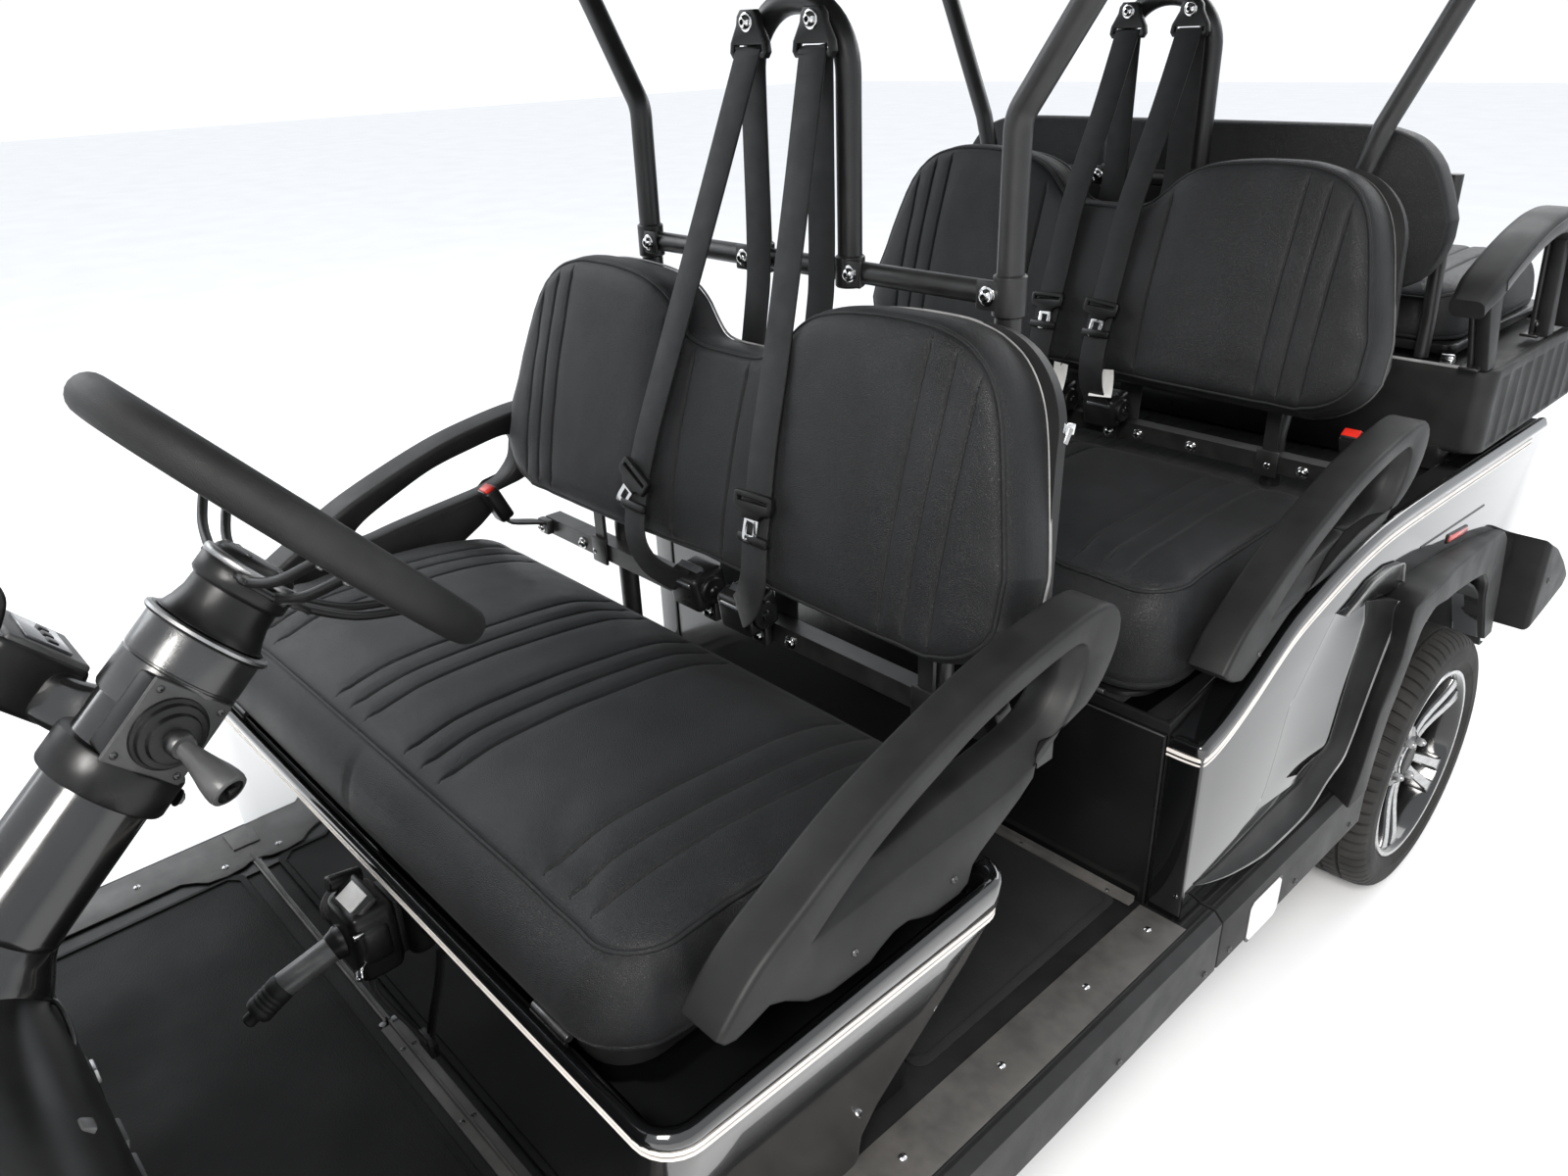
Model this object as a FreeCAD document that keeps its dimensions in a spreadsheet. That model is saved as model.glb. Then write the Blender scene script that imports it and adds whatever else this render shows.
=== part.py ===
# Six-seat golf cart: two forward benches, one rear-facing flip bench, canopy roof.
# All lengths in millimetres. The pieces are drawn in the seat frame:
#   X to the vehicle's left, Y to the rear, Z up, y = 0 at the front of the first seat box,
#   z = 0 on the ground. Every piece is then placed by datum_y, which puts the origin
#   under the middle of the vehicle, on the ground.
import FreeCAD, Part
import Sketcher
import math
import os
from FreeCAD import Vector, Rotation, Placement

os.makedirs("parts", exist_ok=True)
doc = FreeCAD.newDocument("cart")
sheet = doc.addObject("Spreadsheet::Sheet", "Sheet")
ROWS = []


class Size(object):
    """A length together with the sheet formula that gives it."""

    def __init__(self, value, formula):
        self.value = float(value)
        self.formula = formula

    def __add__(self, other):
        return Size(self.value + num(other), "(%s + %s)" % (self.formula, text(other)))

    __radd__ = __add__

    def __sub__(self, other):
        return Size(self.value - num(other), "(%s - %s)" % (self.formula, text(other)))

    def __rsub__(self, other):
        return Size(num(other) - self.value, "(%s - %s)" % (text(other), self.formula))

    def __mul__(self, other):
        return Size(self.value * num(other), "(%s * %s)" % (self.formula, text(other)))

    __rmul__ = __mul__

    def __truediv__(self, other):
        return Size(self.value / num(other), "(%s / %s)" % (self.formula, text(other)))

    def __neg__(self):
        return Size(-self.value, "(0 - %s)" % self.formula)


def num(v):
    return v.value if isinstance(v, Size) else float(v)


def text(v):
    if isinstance(v, Size):
        return v.formula
    return "(0 - %.6f)" % (-v) if v < 0 else "%.6f" % v


def cell(alias, value, note=""):
    """One named number of the sheet."""
    row = len(ROWS) + 1
    ROWS.append(alias)
    sheet.set("A%d" % row, note or alias)
    sheet.set("B%d" % row, "%g" % value)
    sheet.setAlias("B%d" % row, alias)
    return Size(value, "Sheet.%s" % alias)


# ---------------------------------------------------------------- driving dimensions
datum_y = cell("datum_y", -669, "seat frame to vehicle middle")
row_pitch = cell("row_pitch", 873, "first seat box front to second seat box front")
row_rise = cell("row_rise", 84, "second bench back above the first")

tyre_rad = cell("tyre_rad", 260, "tyre outer radius")
tyre_wid = cell("tyre_wid", 205, "tyre section width")
rim_rad = cell("rim_rad", 190, "rim flange radius, 14 inch")
wheel_x = cell("wheel_x", 525.5, "wheel centre plane from the middle")
rear_axle_y = cell("rear_axle_y", 1727, "rear axle")
front_axle_y = cell("front_axle_y", -840, "front axle")
king_x = cell("king_x", 440, "steering pivot from the middle")
spindle_rad = cell("spindle_rad", 14.95, "wheel spindle radius")
bore_rad = cell("bore_rad", 15, "rim hub bore radius")

rail_x = cell("rail_x", 215, "chassis rail centre")
rail_wid = cell("rail_wid", 50, "chassis rail width")
rail_low = cell("rail_low", 302, "chassis rail underside")
rail_top = cell("rail_top", 370, "chassis rail top")
rail_front = cell("rail_front", -1203, "front end of the rails")
rail_rear = cell("rail_rear", 2540, "rear end of the rails")
hitch_rad = cell("hitch_rad", 8, "tow pin hole radius")
hitch_y = cell("hitch_y", 2572, "tow pin hole")
hitch_thick = cell("hitch_thick", 12, "tow tongue thickness")

floor_top = cell("floor_top", 395, "top of the floor")
floor_thick = cell("floor_thick", 25, "floor with its mat")
floor_half = cell("floor_half", 560, "half width of the floor")
floor_rear = cell("floor_rear", 1300, "rear end of the floor")
toe_half = cell("toe_half", 275, "half width between the front wheel wells")
toe_front = cell("toe_front", -640, "front end of the floor")
well_rear = cell("well_rear", -490, "floor edge behind the front wheel wells")
sill_out = cell("sill_out", 625, "outer face of the rocker")

box_half = cell("box_half", 586, "half width of the first seat box at its rim")
box_foot = cell("box_foot", 530, "half width of the first seat box at the floor")
box_deep = cell("box_deep", 455, "first seat box length at its rim")
box_foot_deep = cell("box_foot_deep", 410, "first seat box length at the floor")
box_low = cell("box_low", 399.5, "underside of the seat boxes")
box_rim = cell("box_rim", 700, "top of the first seat box wall")
wall = cell("wall", 8, "moulded wall thickness")
side_out = cell("side_out", 590, "outer face of the body sides")

seat_half = cell("seat_half", 513, "half width of a bench cushion")
back_half = cell("back_half", 505, "half width of a bench back")
back_thick = cell("back_thick", 103, "thickness of a bench back")
back_tilt = cell("back_tilt", 15, "lean of a bench back, degrees")
tube_rad = cell("tube_rad", 16, "frame tube radius")
upright_x = cell("upright_x", 340, "back frame upright from the middle")
arm_in = cell("arm_in", 522, "inner face of an armrest")
arm_out = cell("arm_out", 579, "outer face of an armrest")

wheel_ring = cell("wheel_ring", 160, "steering wheel ring radius")
wheel_grip = cell("wheel_grip", 16, "steering wheel grip radius")
hub_x = cell("hub_x", 250, "steering wheel centre X")
hub_y = cell("hub_y", -67, "steering wheel centre Y")
hub_z = cell("hub_z", 1208, "steering wheel centre Z")
column_rise = cell("column_rise", 42, "column slope, degrees")

roof_half = cell("roof_half", 605, "half width of the roof")
roof_front = cell("roof_front", -520, "front edge of the roof")
roof_rear = cell("roof_rear", 1950, "rear edge of the roof")
roof_low = cell("roof_low", 1945, "underside of the roof rim")
roof_skin = cell("roof_skin", 1985, "underside of the roof panel")
roof_top = cell("roof_top", 2040, "top of the roof")
post_lean = cell("post_lean", 10.3, "windscreen lean, degrees")
foot_rear = cell("foot_rear", 2600, "rear edge of the footplate")
flip_y = cell("flip_y", 2285, "flip seat hinge Y")
flip_z = cell("flip_z", 1011, "flip seat hinge Z")
doc.recompute()

NODES = []


# ---------------------------------------------------------------- drawing helpers
def bind(obj, prop, value):
    """Set a property, and tie it to the sheet where it comes from there."""
    if isinstance(value, Size):
        if not prop.startswith("."):
            setattr(obj, prop, value.value)
        obj.setExpression(prop, value.formula)
    elif not prop.startswith("."):
        setattr(obj, prop, value)


def place(obj, x=0, y=0, z=0, rot=None):
    obj.Placement = Placement(Vector(num(x), num(y), num(z)), rot or Rotation())
    for axis, value in (("x", x), ("y", y), ("z", z)):
        bind(obj, ".Placement.Base." + axis, value)


def box(x0, x1, y0, y1, z0, z1):
    """A block between two corners."""
    o = doc.addObject("Part::Box", "Block")
    bind(o, "Length", x1 - x0 if isinstance(x1, Size) or isinstance(x0, Size) else float(x1 - x0))
    bind(o, "Width", y1 - y0 if isinstance(y1, Size) or isinstance(y0, Size) else float(y1 - y0))
    bind(o, "Height", z1 - z0 if isinstance(z1, Size) or isinstance(z0, Size) else float(z1 - z0))
    place(o, x0, y0, z0)
    return o


AXES = {"x": Rotation(Vector(0, 1, 0), 90), "y": Rotation(Vector(1, 0, 0), -90), "z": Rotation()}


def rod(axis, radius, length, x, y, z):
    """A cylinder from (x, y, z) along an axis."""
    o = doc.addObject("Part::Cylinder", "Rod")
    bind(o, "Radius", radius)
    bind(o, "Height", length)
    place(o, x, y, z, AXES[axis] if isinstance(axis, str) else Rotation(Vector(0, 0, 1), axis))
    return o


def fuse(*shapes):
    o = doc.addObject("Part::MultiFuse", "Joined")
    o.Shapes = list(shapes)
    o.Refine = True
    return o


def cut(base, tool):
    o = doc.addObject("Part::Cut", "Trimmed")
    o.Base = base
    o.Tool = tool
    return o


def common(a, b):
    o = doc.addObject("Part::Common", "Shared")
    o.Base = a
    o.Tool = b
    return o


PLANES = {"XY": "XY_Plane", "XZ": "XZ_Plane", "YZ": "YZ_Plane"}


def sketch_on(body, plane, outlines, offset):
    """Closed outlines on one of the body's planes. An outline is a table of corners whose
    columns are u, v, and for an arc that ends there, via_u, via_v, a point on it."""
    sk = body.newObject("Sketcher::SketchObject", "Outline")
    origin = [f for f in body.Origin.OriginFeatures if f.Role == PLANES[plane]][0]
    sk.AttachmentSupport = [(origin, "")]
    sk.MapMode = "FlatFace"
    sk.AttachmentOffset = Placement(Vector(0, 0, num(offset)), Rotation())
    if isinstance(offset, Size):
        sk.setExpression(".AttachmentOffset.Base.z", offset.formula)
    for outline in outlines:
        first = sk.GeometryCount
        straight = all(len(c) == 2 for c in outline)
        n = len(outline)
        for i in range(n):
            a = outline[i]
            b = outline[(i + 1) % n]
            pa = Vector(num(a[0]), num(a[1]), 0)
            pb = Vector(num(b[0]), num(b[1]), 0)
            if len(b) == 4:
                sk.addGeometry(Part.Arc(pa, Vector(num(b[2]), num(b[3]), 0), pb), False)
            else:
                sk.addGeometry(Part.LineSegment(pa, pb), False)
        if straight:
            for i in range(n):
                sk.addConstraint(Sketcher.Constraint("Coincident", first + i, 2, first + (i + 1) % n, 1))
            for i in range(n):
                for k, kind in ((0, "DistanceX"), (1, "DistanceY")):
                    v = outline[i][k]
                    if isinstance(v, Size):
                        c = sk.addConstraint(Sketcher.Constraint(kind, first + i, 1, v.value))
                        sk.setExpression("Constraints[%d]" % c, v.formula)
    return sk


def prism(plane, a, b, *outlines):
    """A PartDesign body: outlines drawn on a plane and padded from a to b along its axis."""
    body = doc.addObject("PartDesign::Body", "Body")
    start = -b if plane == "XZ" else a
    sk = sketch_on(body, plane, outlines, start)
    pad = body.newObject("PartDesign::Pad", "Pad")
    pad.Profile = sk
    bind(pad, "Length", b - a if isinstance(a, Size) or isinstance(b, Size) else float(b - a))
    body.Tip = pad
    return body


def add_pad(body, plane, a, b, *outlines):
    """One more padded outline on the same body."""
    start = -b if plane == "XZ" else a
    sk = sketch_on(body, plane, outlines, start)
    pad = body.newObject("PartDesign::Pad", "Pad")
    pad.Profile = sk
    bind(pad, "Length", b - a if isinstance(a, Size) or isinstance(b, Size) else float(b - a))
    body.Tip = pad
    return pad


def hollow(body, plane, a, b, *outlines):
    """A pocket between a and b along the plane's axis."""
    start = -a if plane == "XZ" else b
    sk = sketch_on(body, plane, outlines, start)
    cutter = body.newObject("PartDesign::Pocket", "Pocket")
    cutter.Profile = sk
    bind(cutter, "Length", b - a if isinstance(a, Size) or isinstance(b, Size) else float(b - a))
    body.Tip = cutter
    return cutter


def round_edges(body, radius, test):
    """Fillet those edges of the body's tip whose middle and direction pass the test."""
    doc.recompute()
    base = body.Tip
    names = []
    for i, e in enumerate(base.Shape.Edges, 1):
        p = e.valueAt((e.FirstParameter + e.LastParameter) / 2.0)
        d = e.tangentAt((e.FirstParameter + e.LastParameter) / 2.0)
        if test(p, d, e):
            names.append("Edge%d" % i)
    f = body.newObject("PartDesign::Fillet", "Round")
    f.Base = (base, names)
    bind(f, "Radius", radius)
    body.Tip = f
    return f


def turned(outline):
    """A body of revolution about the X axis; columns x, radius."""
    body = doc.addObject("PartDesign::Body", "Turned")
    sk = sketch_on(body, "XY", [outline], 0)
    rev = body.newObject("PartDesign::Revolution", "Revolution")
    rev.Profile = sk
    rev.ReferenceAxis = (sk, ["H_Axis"])
    rev.Angle = 360
    body.Tip = rev
    return body


def tube(points, radius, bend):
    """A round bar along straight runs with arcs of the given bend radius between them."""
    pts = [Vector(num(p[0]), num(p[1]), num(p[2])) for p in points]
    edges = []
    last = pts[0]
    for i in range(1, len(pts) - 1):
        p, a, b = pts[i], pts[i - 1], pts[i + 1]
        u = (a - p).normalize()
        v = (b - p).normalize()
        half = u.getAngle(v) / 2.0
        run = bend / math.tan(half)
        start = p + u * run
        end = p + v * run
        mid_dir = (u + v).normalize()
        centre = p + mid_dir * (bend / math.sin(half))
        mid = centre - mid_dir * bend
        if (start - last).Length > 0.01:
            edges.append(Part.LineSegment(last, start).toShape())
        edges.append(Part.Arc(start, mid, end).toShape())
        last = end
    if (pts[-1] - last).Length > 0.01:
        edges.append(Part.LineSegment(last, pts[-1]).toShape())
    path = doc.addObject("Part::Feature", "Path")
    path.Shape = Part.Wire(edges)
    ring = doc.addObject("Part::Circle", "Section")
    bind(ring, "Radius", radius)
    ring.Placement = Placement(pts[0], Rotation(Vector(0, 0, 1), pts[1] - pts[0]))
    sweep = doc.addObject("Part::Sweep", "Tube")
    sweep.Sections = [ring]
    sweep.Spine = (path, [])
    sweep.Solid = True
    sweep.Frenet = False
    return sweep


def node(obj, label, x=0, y=0, z=0, rot=None):
    """Name a finished piece and place it; y is in the seat frame."""
    obj.Label = label
    place(obj, x, datum_y + y if not (isinstance(y, (int, float)) and y == 0) else datum_y, z, rot)
    NODES.append(obj)
    return obj


def together(*shapes):
    """Like pieces that share one name without touching."""
    o = doc.addObject("Part::Compound", "Group")
    o.Links = list(shapes)
    return o


def mirror_x(a, b, s):
    """The range a..b on the left, or its mirror image on the right."""
    return (a, b) if s > 0 else (-b, -a)


SIDES = (("left", 1), ("right", -1))

# ---------------------------------------------------------------- chassis
parts = []
for s in (1, -1):
    a, b = mirror_x(rail_x - rail_wid / 2, rail_x + rail_wid / 2, s)
    parts.append(box(a, b, rail_front, rail_rear, rail_low, rail_top))
# cross member: y_low, y_high, z_low, z_high, half_length
for y0, y1, z0, z1, half in ((-1160, -1110, 310, 360, 200), (-905, -775, 303, 363, 200), (-500, -460, 318, 362, 556),
                             (20, 70, 310, 360, 200), (420, 460, 318, 362, 556), (900, 940, 318, 362, 556),
                             (1340, 1378, 318, 362, 278), (2050, 2100, 310, 360, 200), (2480, 2540, 302, 370, 200)):
    parts.append(box(-half, half, y0, y1, z0, z1))
tongue = box(-45, 45, 2500, foot_rear, 290, 302)
hole = rod("z", hitch_rad, 40, 0, hitch_y, 280)
node(cut(fuse(*(parts + [tongue])), hole), "chassis_frame")

floor = prism("XY", floor_top - floor_thick, floor_top,
              [(-floor_half, well_rear), (-toe_half, well_rear), (-toe_half, toe_front), (toe_half, toe_front),
               (toe_half, well_rear), (floor_half, well_rear), (floor_half, floor_rear), (-floor_half, floor_rear)])

# rocker section: columns x, z on the left side
ROCKER = [(560.3, 275), (600, 275), (625, 298), (625, 384), (610, 399), (470, 399), (470, 395.2), (560.3, 395.2)]
node(together(*[prism("XZ", -480, 1425, [(s * x, z) for x, z in ROCKER]) for s in (1, -1)]), "rockers")

# firewall ahead of the pedals, trimmed round the front wheel wells
wells = fuse(rod("x", 364, 400, 268, front_axle_y, 260), rod("x", 364, 400, -668, front_axle_y, 260))
node(fuse(floor, cut(box(-538, 538, -650, -639, 385, 900), wells)), "floor_pan")

# ---------------------------------------------------------------- first seat box
outer = doc.addObject("Part::Wedge", "Outer")
inner = doc.addObject("Part::Wedge", "Inner")
# tapered walls: the wedge's own Y runs up, its own Z runs to the front
for o, t in ((outer, 0), (inner, 1)):
    bind(o, "Xmin", -box_foot + wall * t)
    bind(o, "Xmax", box_foot - wall * t)
    bind(o, "Zmin", -box_foot_deep + wall * t)
    bind(o, "Zmax", -wall * t if t else 0.0)
    bind(o, "Ymin", box_low - t)
    bind(o, "Ymax", box_rim + t)
    bind(o, "X2min", -box_half + wall * t)
    bind(o, "X2max", box_half - wall * t)
    bind(o, "Z2min", -box_deep + wall * t)
    bind(o, "Z2max", -wall * t if t else 0.0)
    o.Placement = Placement(Vector(0, 0, 0), Rotation(Vector(1, 0, 0), 90))
rim = prism("YZ", -side_out, side_out, [(-6, 690), (-6, 712), (461, 745), (461, 700), (440, 696)])
rim_cut = box(-460, 460, 60, 410, 600, 800)
side_trim = box(-578, 578, 8, 447, 600, 699)
node(fuse(cut(outer, inner), cut(cut(rim, rim_cut), side_trim)), "front_seat_box")
node(box(-300, 300, 60, 370, 402, 650), "battery_block", -300, 60, 402)

# ---------------------------------------------------------------- middle seat box and body sides
tub_out = prism("XY", box_low, 815, [(-534, row_pitch), (534, row_pitch), (534, 1380), (400, 1380), (400, 2094),
                                    (-400, 2094), (-400, 1380), (-534, 1380)])
tub_in = prism("XY", 398, 816, [(-526, 881), (526, 881), (526, 1372), (392, 1372), (392, 2086),
                               (-392, 2086), (-392, 1372), (-526, 1372)])
tub_top = prism("YZ", -600, 600, [(870, 390), (870, 698), (1390, 783), (2100, 789), (2100, 390)])
node(common(cut(tub_out, tub_in), tub_top), "middle_seat_box")

# body side outline: columns y, z; the rear wheel arch is the last twelve corners
SIDE = [(873, 399.5), (873, 690), (1000, 735), (1110, 795), (1250, 830), (1420, 850), (2110, 838), (2110, 430),
        (2088, 399.5), (2030, 399.5), (1990, 470), (1930, 560), (1856, 608), (1800, 628), (1620, 669), (1497, 689),
        (1452, 662), (1423, 600), (1393, 533), (1375, 459), (1371, 399.5)]
SIDE_IN = [(881, 398), (881, 684), (1002, 727), (1112, 787), (1251, 822), (1420, 842), (2102, 830), (2102, 398)]
# arch flare: outer edge, then the arch itself
FLARE = [(1290, 400), (1312, 450), (1336, 560), (1383, 640), (1385, 730), (1449, 724), (1590, 741), (1700, 727),
         (1850, 693), (1950, 664), (2005, 630), (2050, 500), (2072, 400), (2030, 400), (1990, 470), (1930, 560),
         (1856, 608), (1800, 628), (1620, 669), (1497, 689), (1452, 662), (1423, 600), (1393, 533), (1375, 459), (1371, 400)]
# trim along the foot of the panel and up in front of the flare
TRIM = [(1002, 418), (900, 451), (1099, 457), (1250, 461), (1310, 527), (1341, 673), (1320, 760), (1334, 784),
        (1428, 769), (1438, 728), (1395, 650), (1370, 540), (1360, 400), (1080, 400)]
# the flare narrows towards the rear: plan x, y
NARROW = [(585, 850), (645, 850), (645, 1500), (633, 1600), (620, 1800), (605, 1950), (598, 2010), (598, 2100), (585, 2100)]
skins = []
flares = []
for s in (1, -1):
    a, b = mirror_x(side_out - 54, side_out, s)
    body = prism("YZ", a, b, SIDE)
    a, b = mirror_x(side_out - 56, side_out - wall, s)
    hollow(body, "YZ", a, b, SIDE_IN)
    skins.append(body)
    a, b = mirror_x(side_out + 0.3, 650, s)
    body = prism("YZ", a, b, FLARE)
    a, b = mirror_x(side_out + 0.3, 604, s)
    add_pad(body, "YZ", a, b, TRIM)
    flares.append(common(body, prism("XY", 380, 800, [(s * x, y) for x, y in NARROW])))
node(together(*skins), "body_sides")
node(together(*flares), "rear_flares")
node(fuse(box(-533, 533, 1400, 2110, 790, 814), box(-533, 533, 2102, 2110, 430, 800)), "rear_deck")
node(fuse(box(430, 520, 2110.5, 2128, 640, 740), box(-520, -430, 2110.5, 2128, 640, 740)), "tail_lights")

# rear bumper: corner wedges and the band between them, columns y, z
corner = [(2116, 600), (2200, 560), (2330, 465), (2310, 432), (2116, 402)]
band = [(2132, 600), (2170, 590), (2170, 420), (2132, 402)]
bumper = prism("YZ", -560, 560, band)
add_pad(bumper, "YZ", 555, 650, corner)
add_pad(bumper, "YZ", -650, -555, corner)
node(bumper, "rear_bumper")
foot = prism("XY", 371, 392, [(-560, 2150), (560, 2150), (560, 2560), (500, foot_rear), (-500, foot_rear), (-560, 2560)])
round_edges(foot, 6, lambda p, d, e: abs(p.z - 392) < 0.1)
node(foot, "rear_footplate")

# ---------------------------------------------------------------- rear flip seat
box3 = prism("XY", 815, 860, [(-530, 1750), (530, 1750), (530, 2275), (-530, 2275)])
add_pad(box3, "XY", 851, 1000, [(-580, 1762), (-568, 1750), (568, 1750), (580, 1762), (580, 2263), (568, 2275),
                                (-568, 2275), (-580, 2263)])
hollow(box3, "XY", 814, 992, [(-522, 1758), (522, 1758), (522, 2267), (-522, 2267)])
hollow(box3, "XY", 859, 992, [(-572, 1762), (572, 1762), (572, 2263), (-572, 2263)])
lugs = []
for s in (1, -1):
    a, b = mirror_x(380, 398, s)
    lugs.append(box(a, b, 2262, 2285, 985, 1000))
    lugs.append(box(a, b, 2273, 2285, 999, 1011))
    lugs.append(rod("x", 9, 18, a, flip_y, flip_z))
    lugs.append(rod("x", 4, 46, a if s > 0 else b - 46, flip_y, flip_z))
node(fuse(box3, *lugs), "rear_seat_base")
barrels = []
bores = []
for s in (1, -1):
    a, b = mirror_x(400, 420, s)
    barrels.append(box(a, b, 2262, 2285, 1003, 1019))
    barrels.append(rod("x", 9, 20, a, flip_y, flip_z))
    bores.append(rod("x", 4.05, 60, a - 20, flip_y, flip_z))
pan3 = cut(fuse(box(-495, 495, 1800, 2268, 1003, 1021), *barrels), fuse(*bores))
node(pan3, "flip_seat_pan")
seat3 = prism("YZ", -490, 490, [(1805, 1021.5), (1795, 1060), (1800, 1105), (1850, 1122), (2230, 1126), (2262, 1100),
                                (2266, 1060), (2258, 1021.5)])
node(seat3, "rear_seat_cushion")
back3 = prism("XZ", 1665, 1752, [(-400, 1120, -468, 1148), (400, 1120), (492, 1220, 468, 1148), (430, 1362, 480, 1310),
                                 (380, 1378), (-380, 1378), (-430, 1362), (-492, 1220, -480, 1310)])
node(back3, "rear_seat_back")
posts = []
for s in (1, -1):
    posts.append(tube([(s * 452, 1779, 1000.3), (s * 452, 1779, 1060), (s * 452, 1766, 1180), (s * 452, 1766, 1300)], 12, 60))
posts.append(box(-452, 452, 1753.5, 1766, 1225, 1255))
node(fuse(*posts), "rear_back_frame")
# hip restraint beside the flip seat: arm, then posts; columns y, z
ARM3 = [(1590, 1122), (1600, 1150), (1700, 1200), (1870, 1240), (1960, 1238), (2060, 1196), (2170, 1110), (2195, 1000.5),
        (2155, 1000.5), (2140, 1085), (2040, 1152), (1940, 1196), (1870, 1198), (1720, 1160), (1625, 1112)]
arms3 = []
for s in (1, -1):
    a, b = mirror_x(530, 594, s)
    arm = prism("YZ", a, b, ARM3)
    a, b = mirror_x(538, 548, s)
    add_pad(arm, "YZ", a, b, [(1660, 1148), (1730, 1170), (1790, 1000.5), (1735, 1000.5)])
    add_pad(arm, "YZ", a, b, [(2000, 1180), (2045, 1165), (2085, 1000.5), (2035, 1000.5)])
    arms3.append(arm)
node(together(*arms3), "rear_hip_restraints")

# ---------------------------------------------------------------- benches
# bench: name, shift in y, cushion side outline (y, z), pan outline (y, z)
BENCH = (("front", 0.0,
          [(16, 723.5), (490, 757), (490, 790, 497, 773), (440, 806), (70, 842), (8, 812, 22, 836), (4, 765)],
          [(12, 715), (12, 722.5), (490, 756), (490, 748.5)]),
         ("middle", 0.0,
          [(889, 713), (1362, 794.5), (1362, 872, 1370, 835), (1310, 884), (945, 878), (883, 850, 896, 874), (876, 790)],
          [(886, 703), (886, 712), (1362, 793.5), (1362, 785)]))
for name, shift, cushion, pan in BENCH:
    body = prism("YZ", -seat_half, seat_half, cushion)
    round_edges(body, 26, lambda p, d, e: abs(abs(p.x) - seat_half.value) < 0.5 and p.z > 800 and abs(d.x) < 0.1
                and e.Length > 150)
    node(body, name + "_seat_cushion")
    hinge_y, hinge_z = (10, 718.5) if name == "front" else (885, 706.5)
    pins = [rod("x", 4.5, 60, x, hinge_y, hinge_z) for x in (-430, 370)]
    node(fuse(prism("YZ", -480, 480, pan), *pins), name + "_seat_pan")

# double-hump back outline in its own plane: x, z, and the arc's middle
BACK = [(-400, 885, -474, 914), (400, 885), (505, 985, 474, 914), (480, 1150), (320, 1262, 440, 1236), (170, 1238, 245, 1261),
        (80, 1185, 126, 1199), (-80, 1185), (-170, 1238, -126, 1199), (-320, 1262, -245, 1261), (-480, 1150, -440, 1236),
        (-505, 985)]
ROW = (("front", 0.0, 0.0), ("middle", 873.0, 84.0))
shells = []
for name, dy, dz in ROW:
    # cushion in front, thin moulded shell behind it; drawn upright about z = 1070 and then leant back
    z0 = 1070.0
    lean = Rotation(Vector(1, 0, 0), -back_tilt.value)
    out = [tuple([c[0], c[1] - z0] + ([c[2], c[3] - z0] if len(c) == 4 else [])) for c in BACK]
    pad = prism("XZ", -15, back_thick - 31, out)
    node(pad, name + "_seat_back", 0, 560 + dy, z0 + dz, lean)
    shell = prism("XZ", back_thick - 30.5, back_thick - 15, out)
    shell.Placement = Placement(Vector(0, 560 + dy, z0 + dz), lean)
    shells.append(shell)
node(together(*shells), "seat_back_shells")

# back frame: uprights from the floor to the roof, with the belt bar and cross bar.
# row: name, y shift, foot y, bar z, cross bar z, bend x, bend z, elbow x, elbow z
FRAME = (("front", 0.0, 640.0, 780.0, 1260.0, 340.0, 1450.0, 432.0, 1580.0),
         ("middle", 873.0, 640.0, 864.0, 1285.0, 385.0, 1380.0, 470.0, 1570.0))
for name, dy, foot_y, bar_z, cross_z, bend_x, bend_z, elbow_x, elbow_z in FRAME:
    bits = []
    for s in (1, -1):
        low = 395.2 if dy == 0 else 814.5
        bits.append(tube([(s * 340, foot_y + dy, low), (s * 340, foot_y + dy, bar_z + 40), (s * 340, 743 + dy, cross_z - 60),
                          (s * bend_x, 743 + dy, bend_z), (s * elbow_x, 743 + dy, elbow_z), (s * 548, 743 + dy, 1740),
                          (s * 548, 743 + dy, roof_skin - 0.3)], tube_rad, 45))
        # flat strap from the belt bar up behind the shell, columns y, z
        a, b = mirror_x(338, 362, s)
        strap = [(597, 765), (603, 765), (603.5, 866), (647, 1030), (641.5, 1030), (597.2, 866)]
        bits.append(prism("YZ", a, b, [(y + dy, z + bar_z - 780) for y, z in strap]))
    bits.append(box(-519, 519, 598 + dy, 628 + dy, bar_z - 15, bar_z + 15))
    bits.append(rod("x", 14, 690, -345, 743 + dy, cross_z))
    bits.append(tube([(86, 743 + dy, cross_z), (86, 743 + dy, 1576), (-86, 743 + dy, 1576), (-86, 743 + dy, cross_z)],
                     tube_rad, 84))
    node(fuse(*bits), name + "_back_frame")

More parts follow.
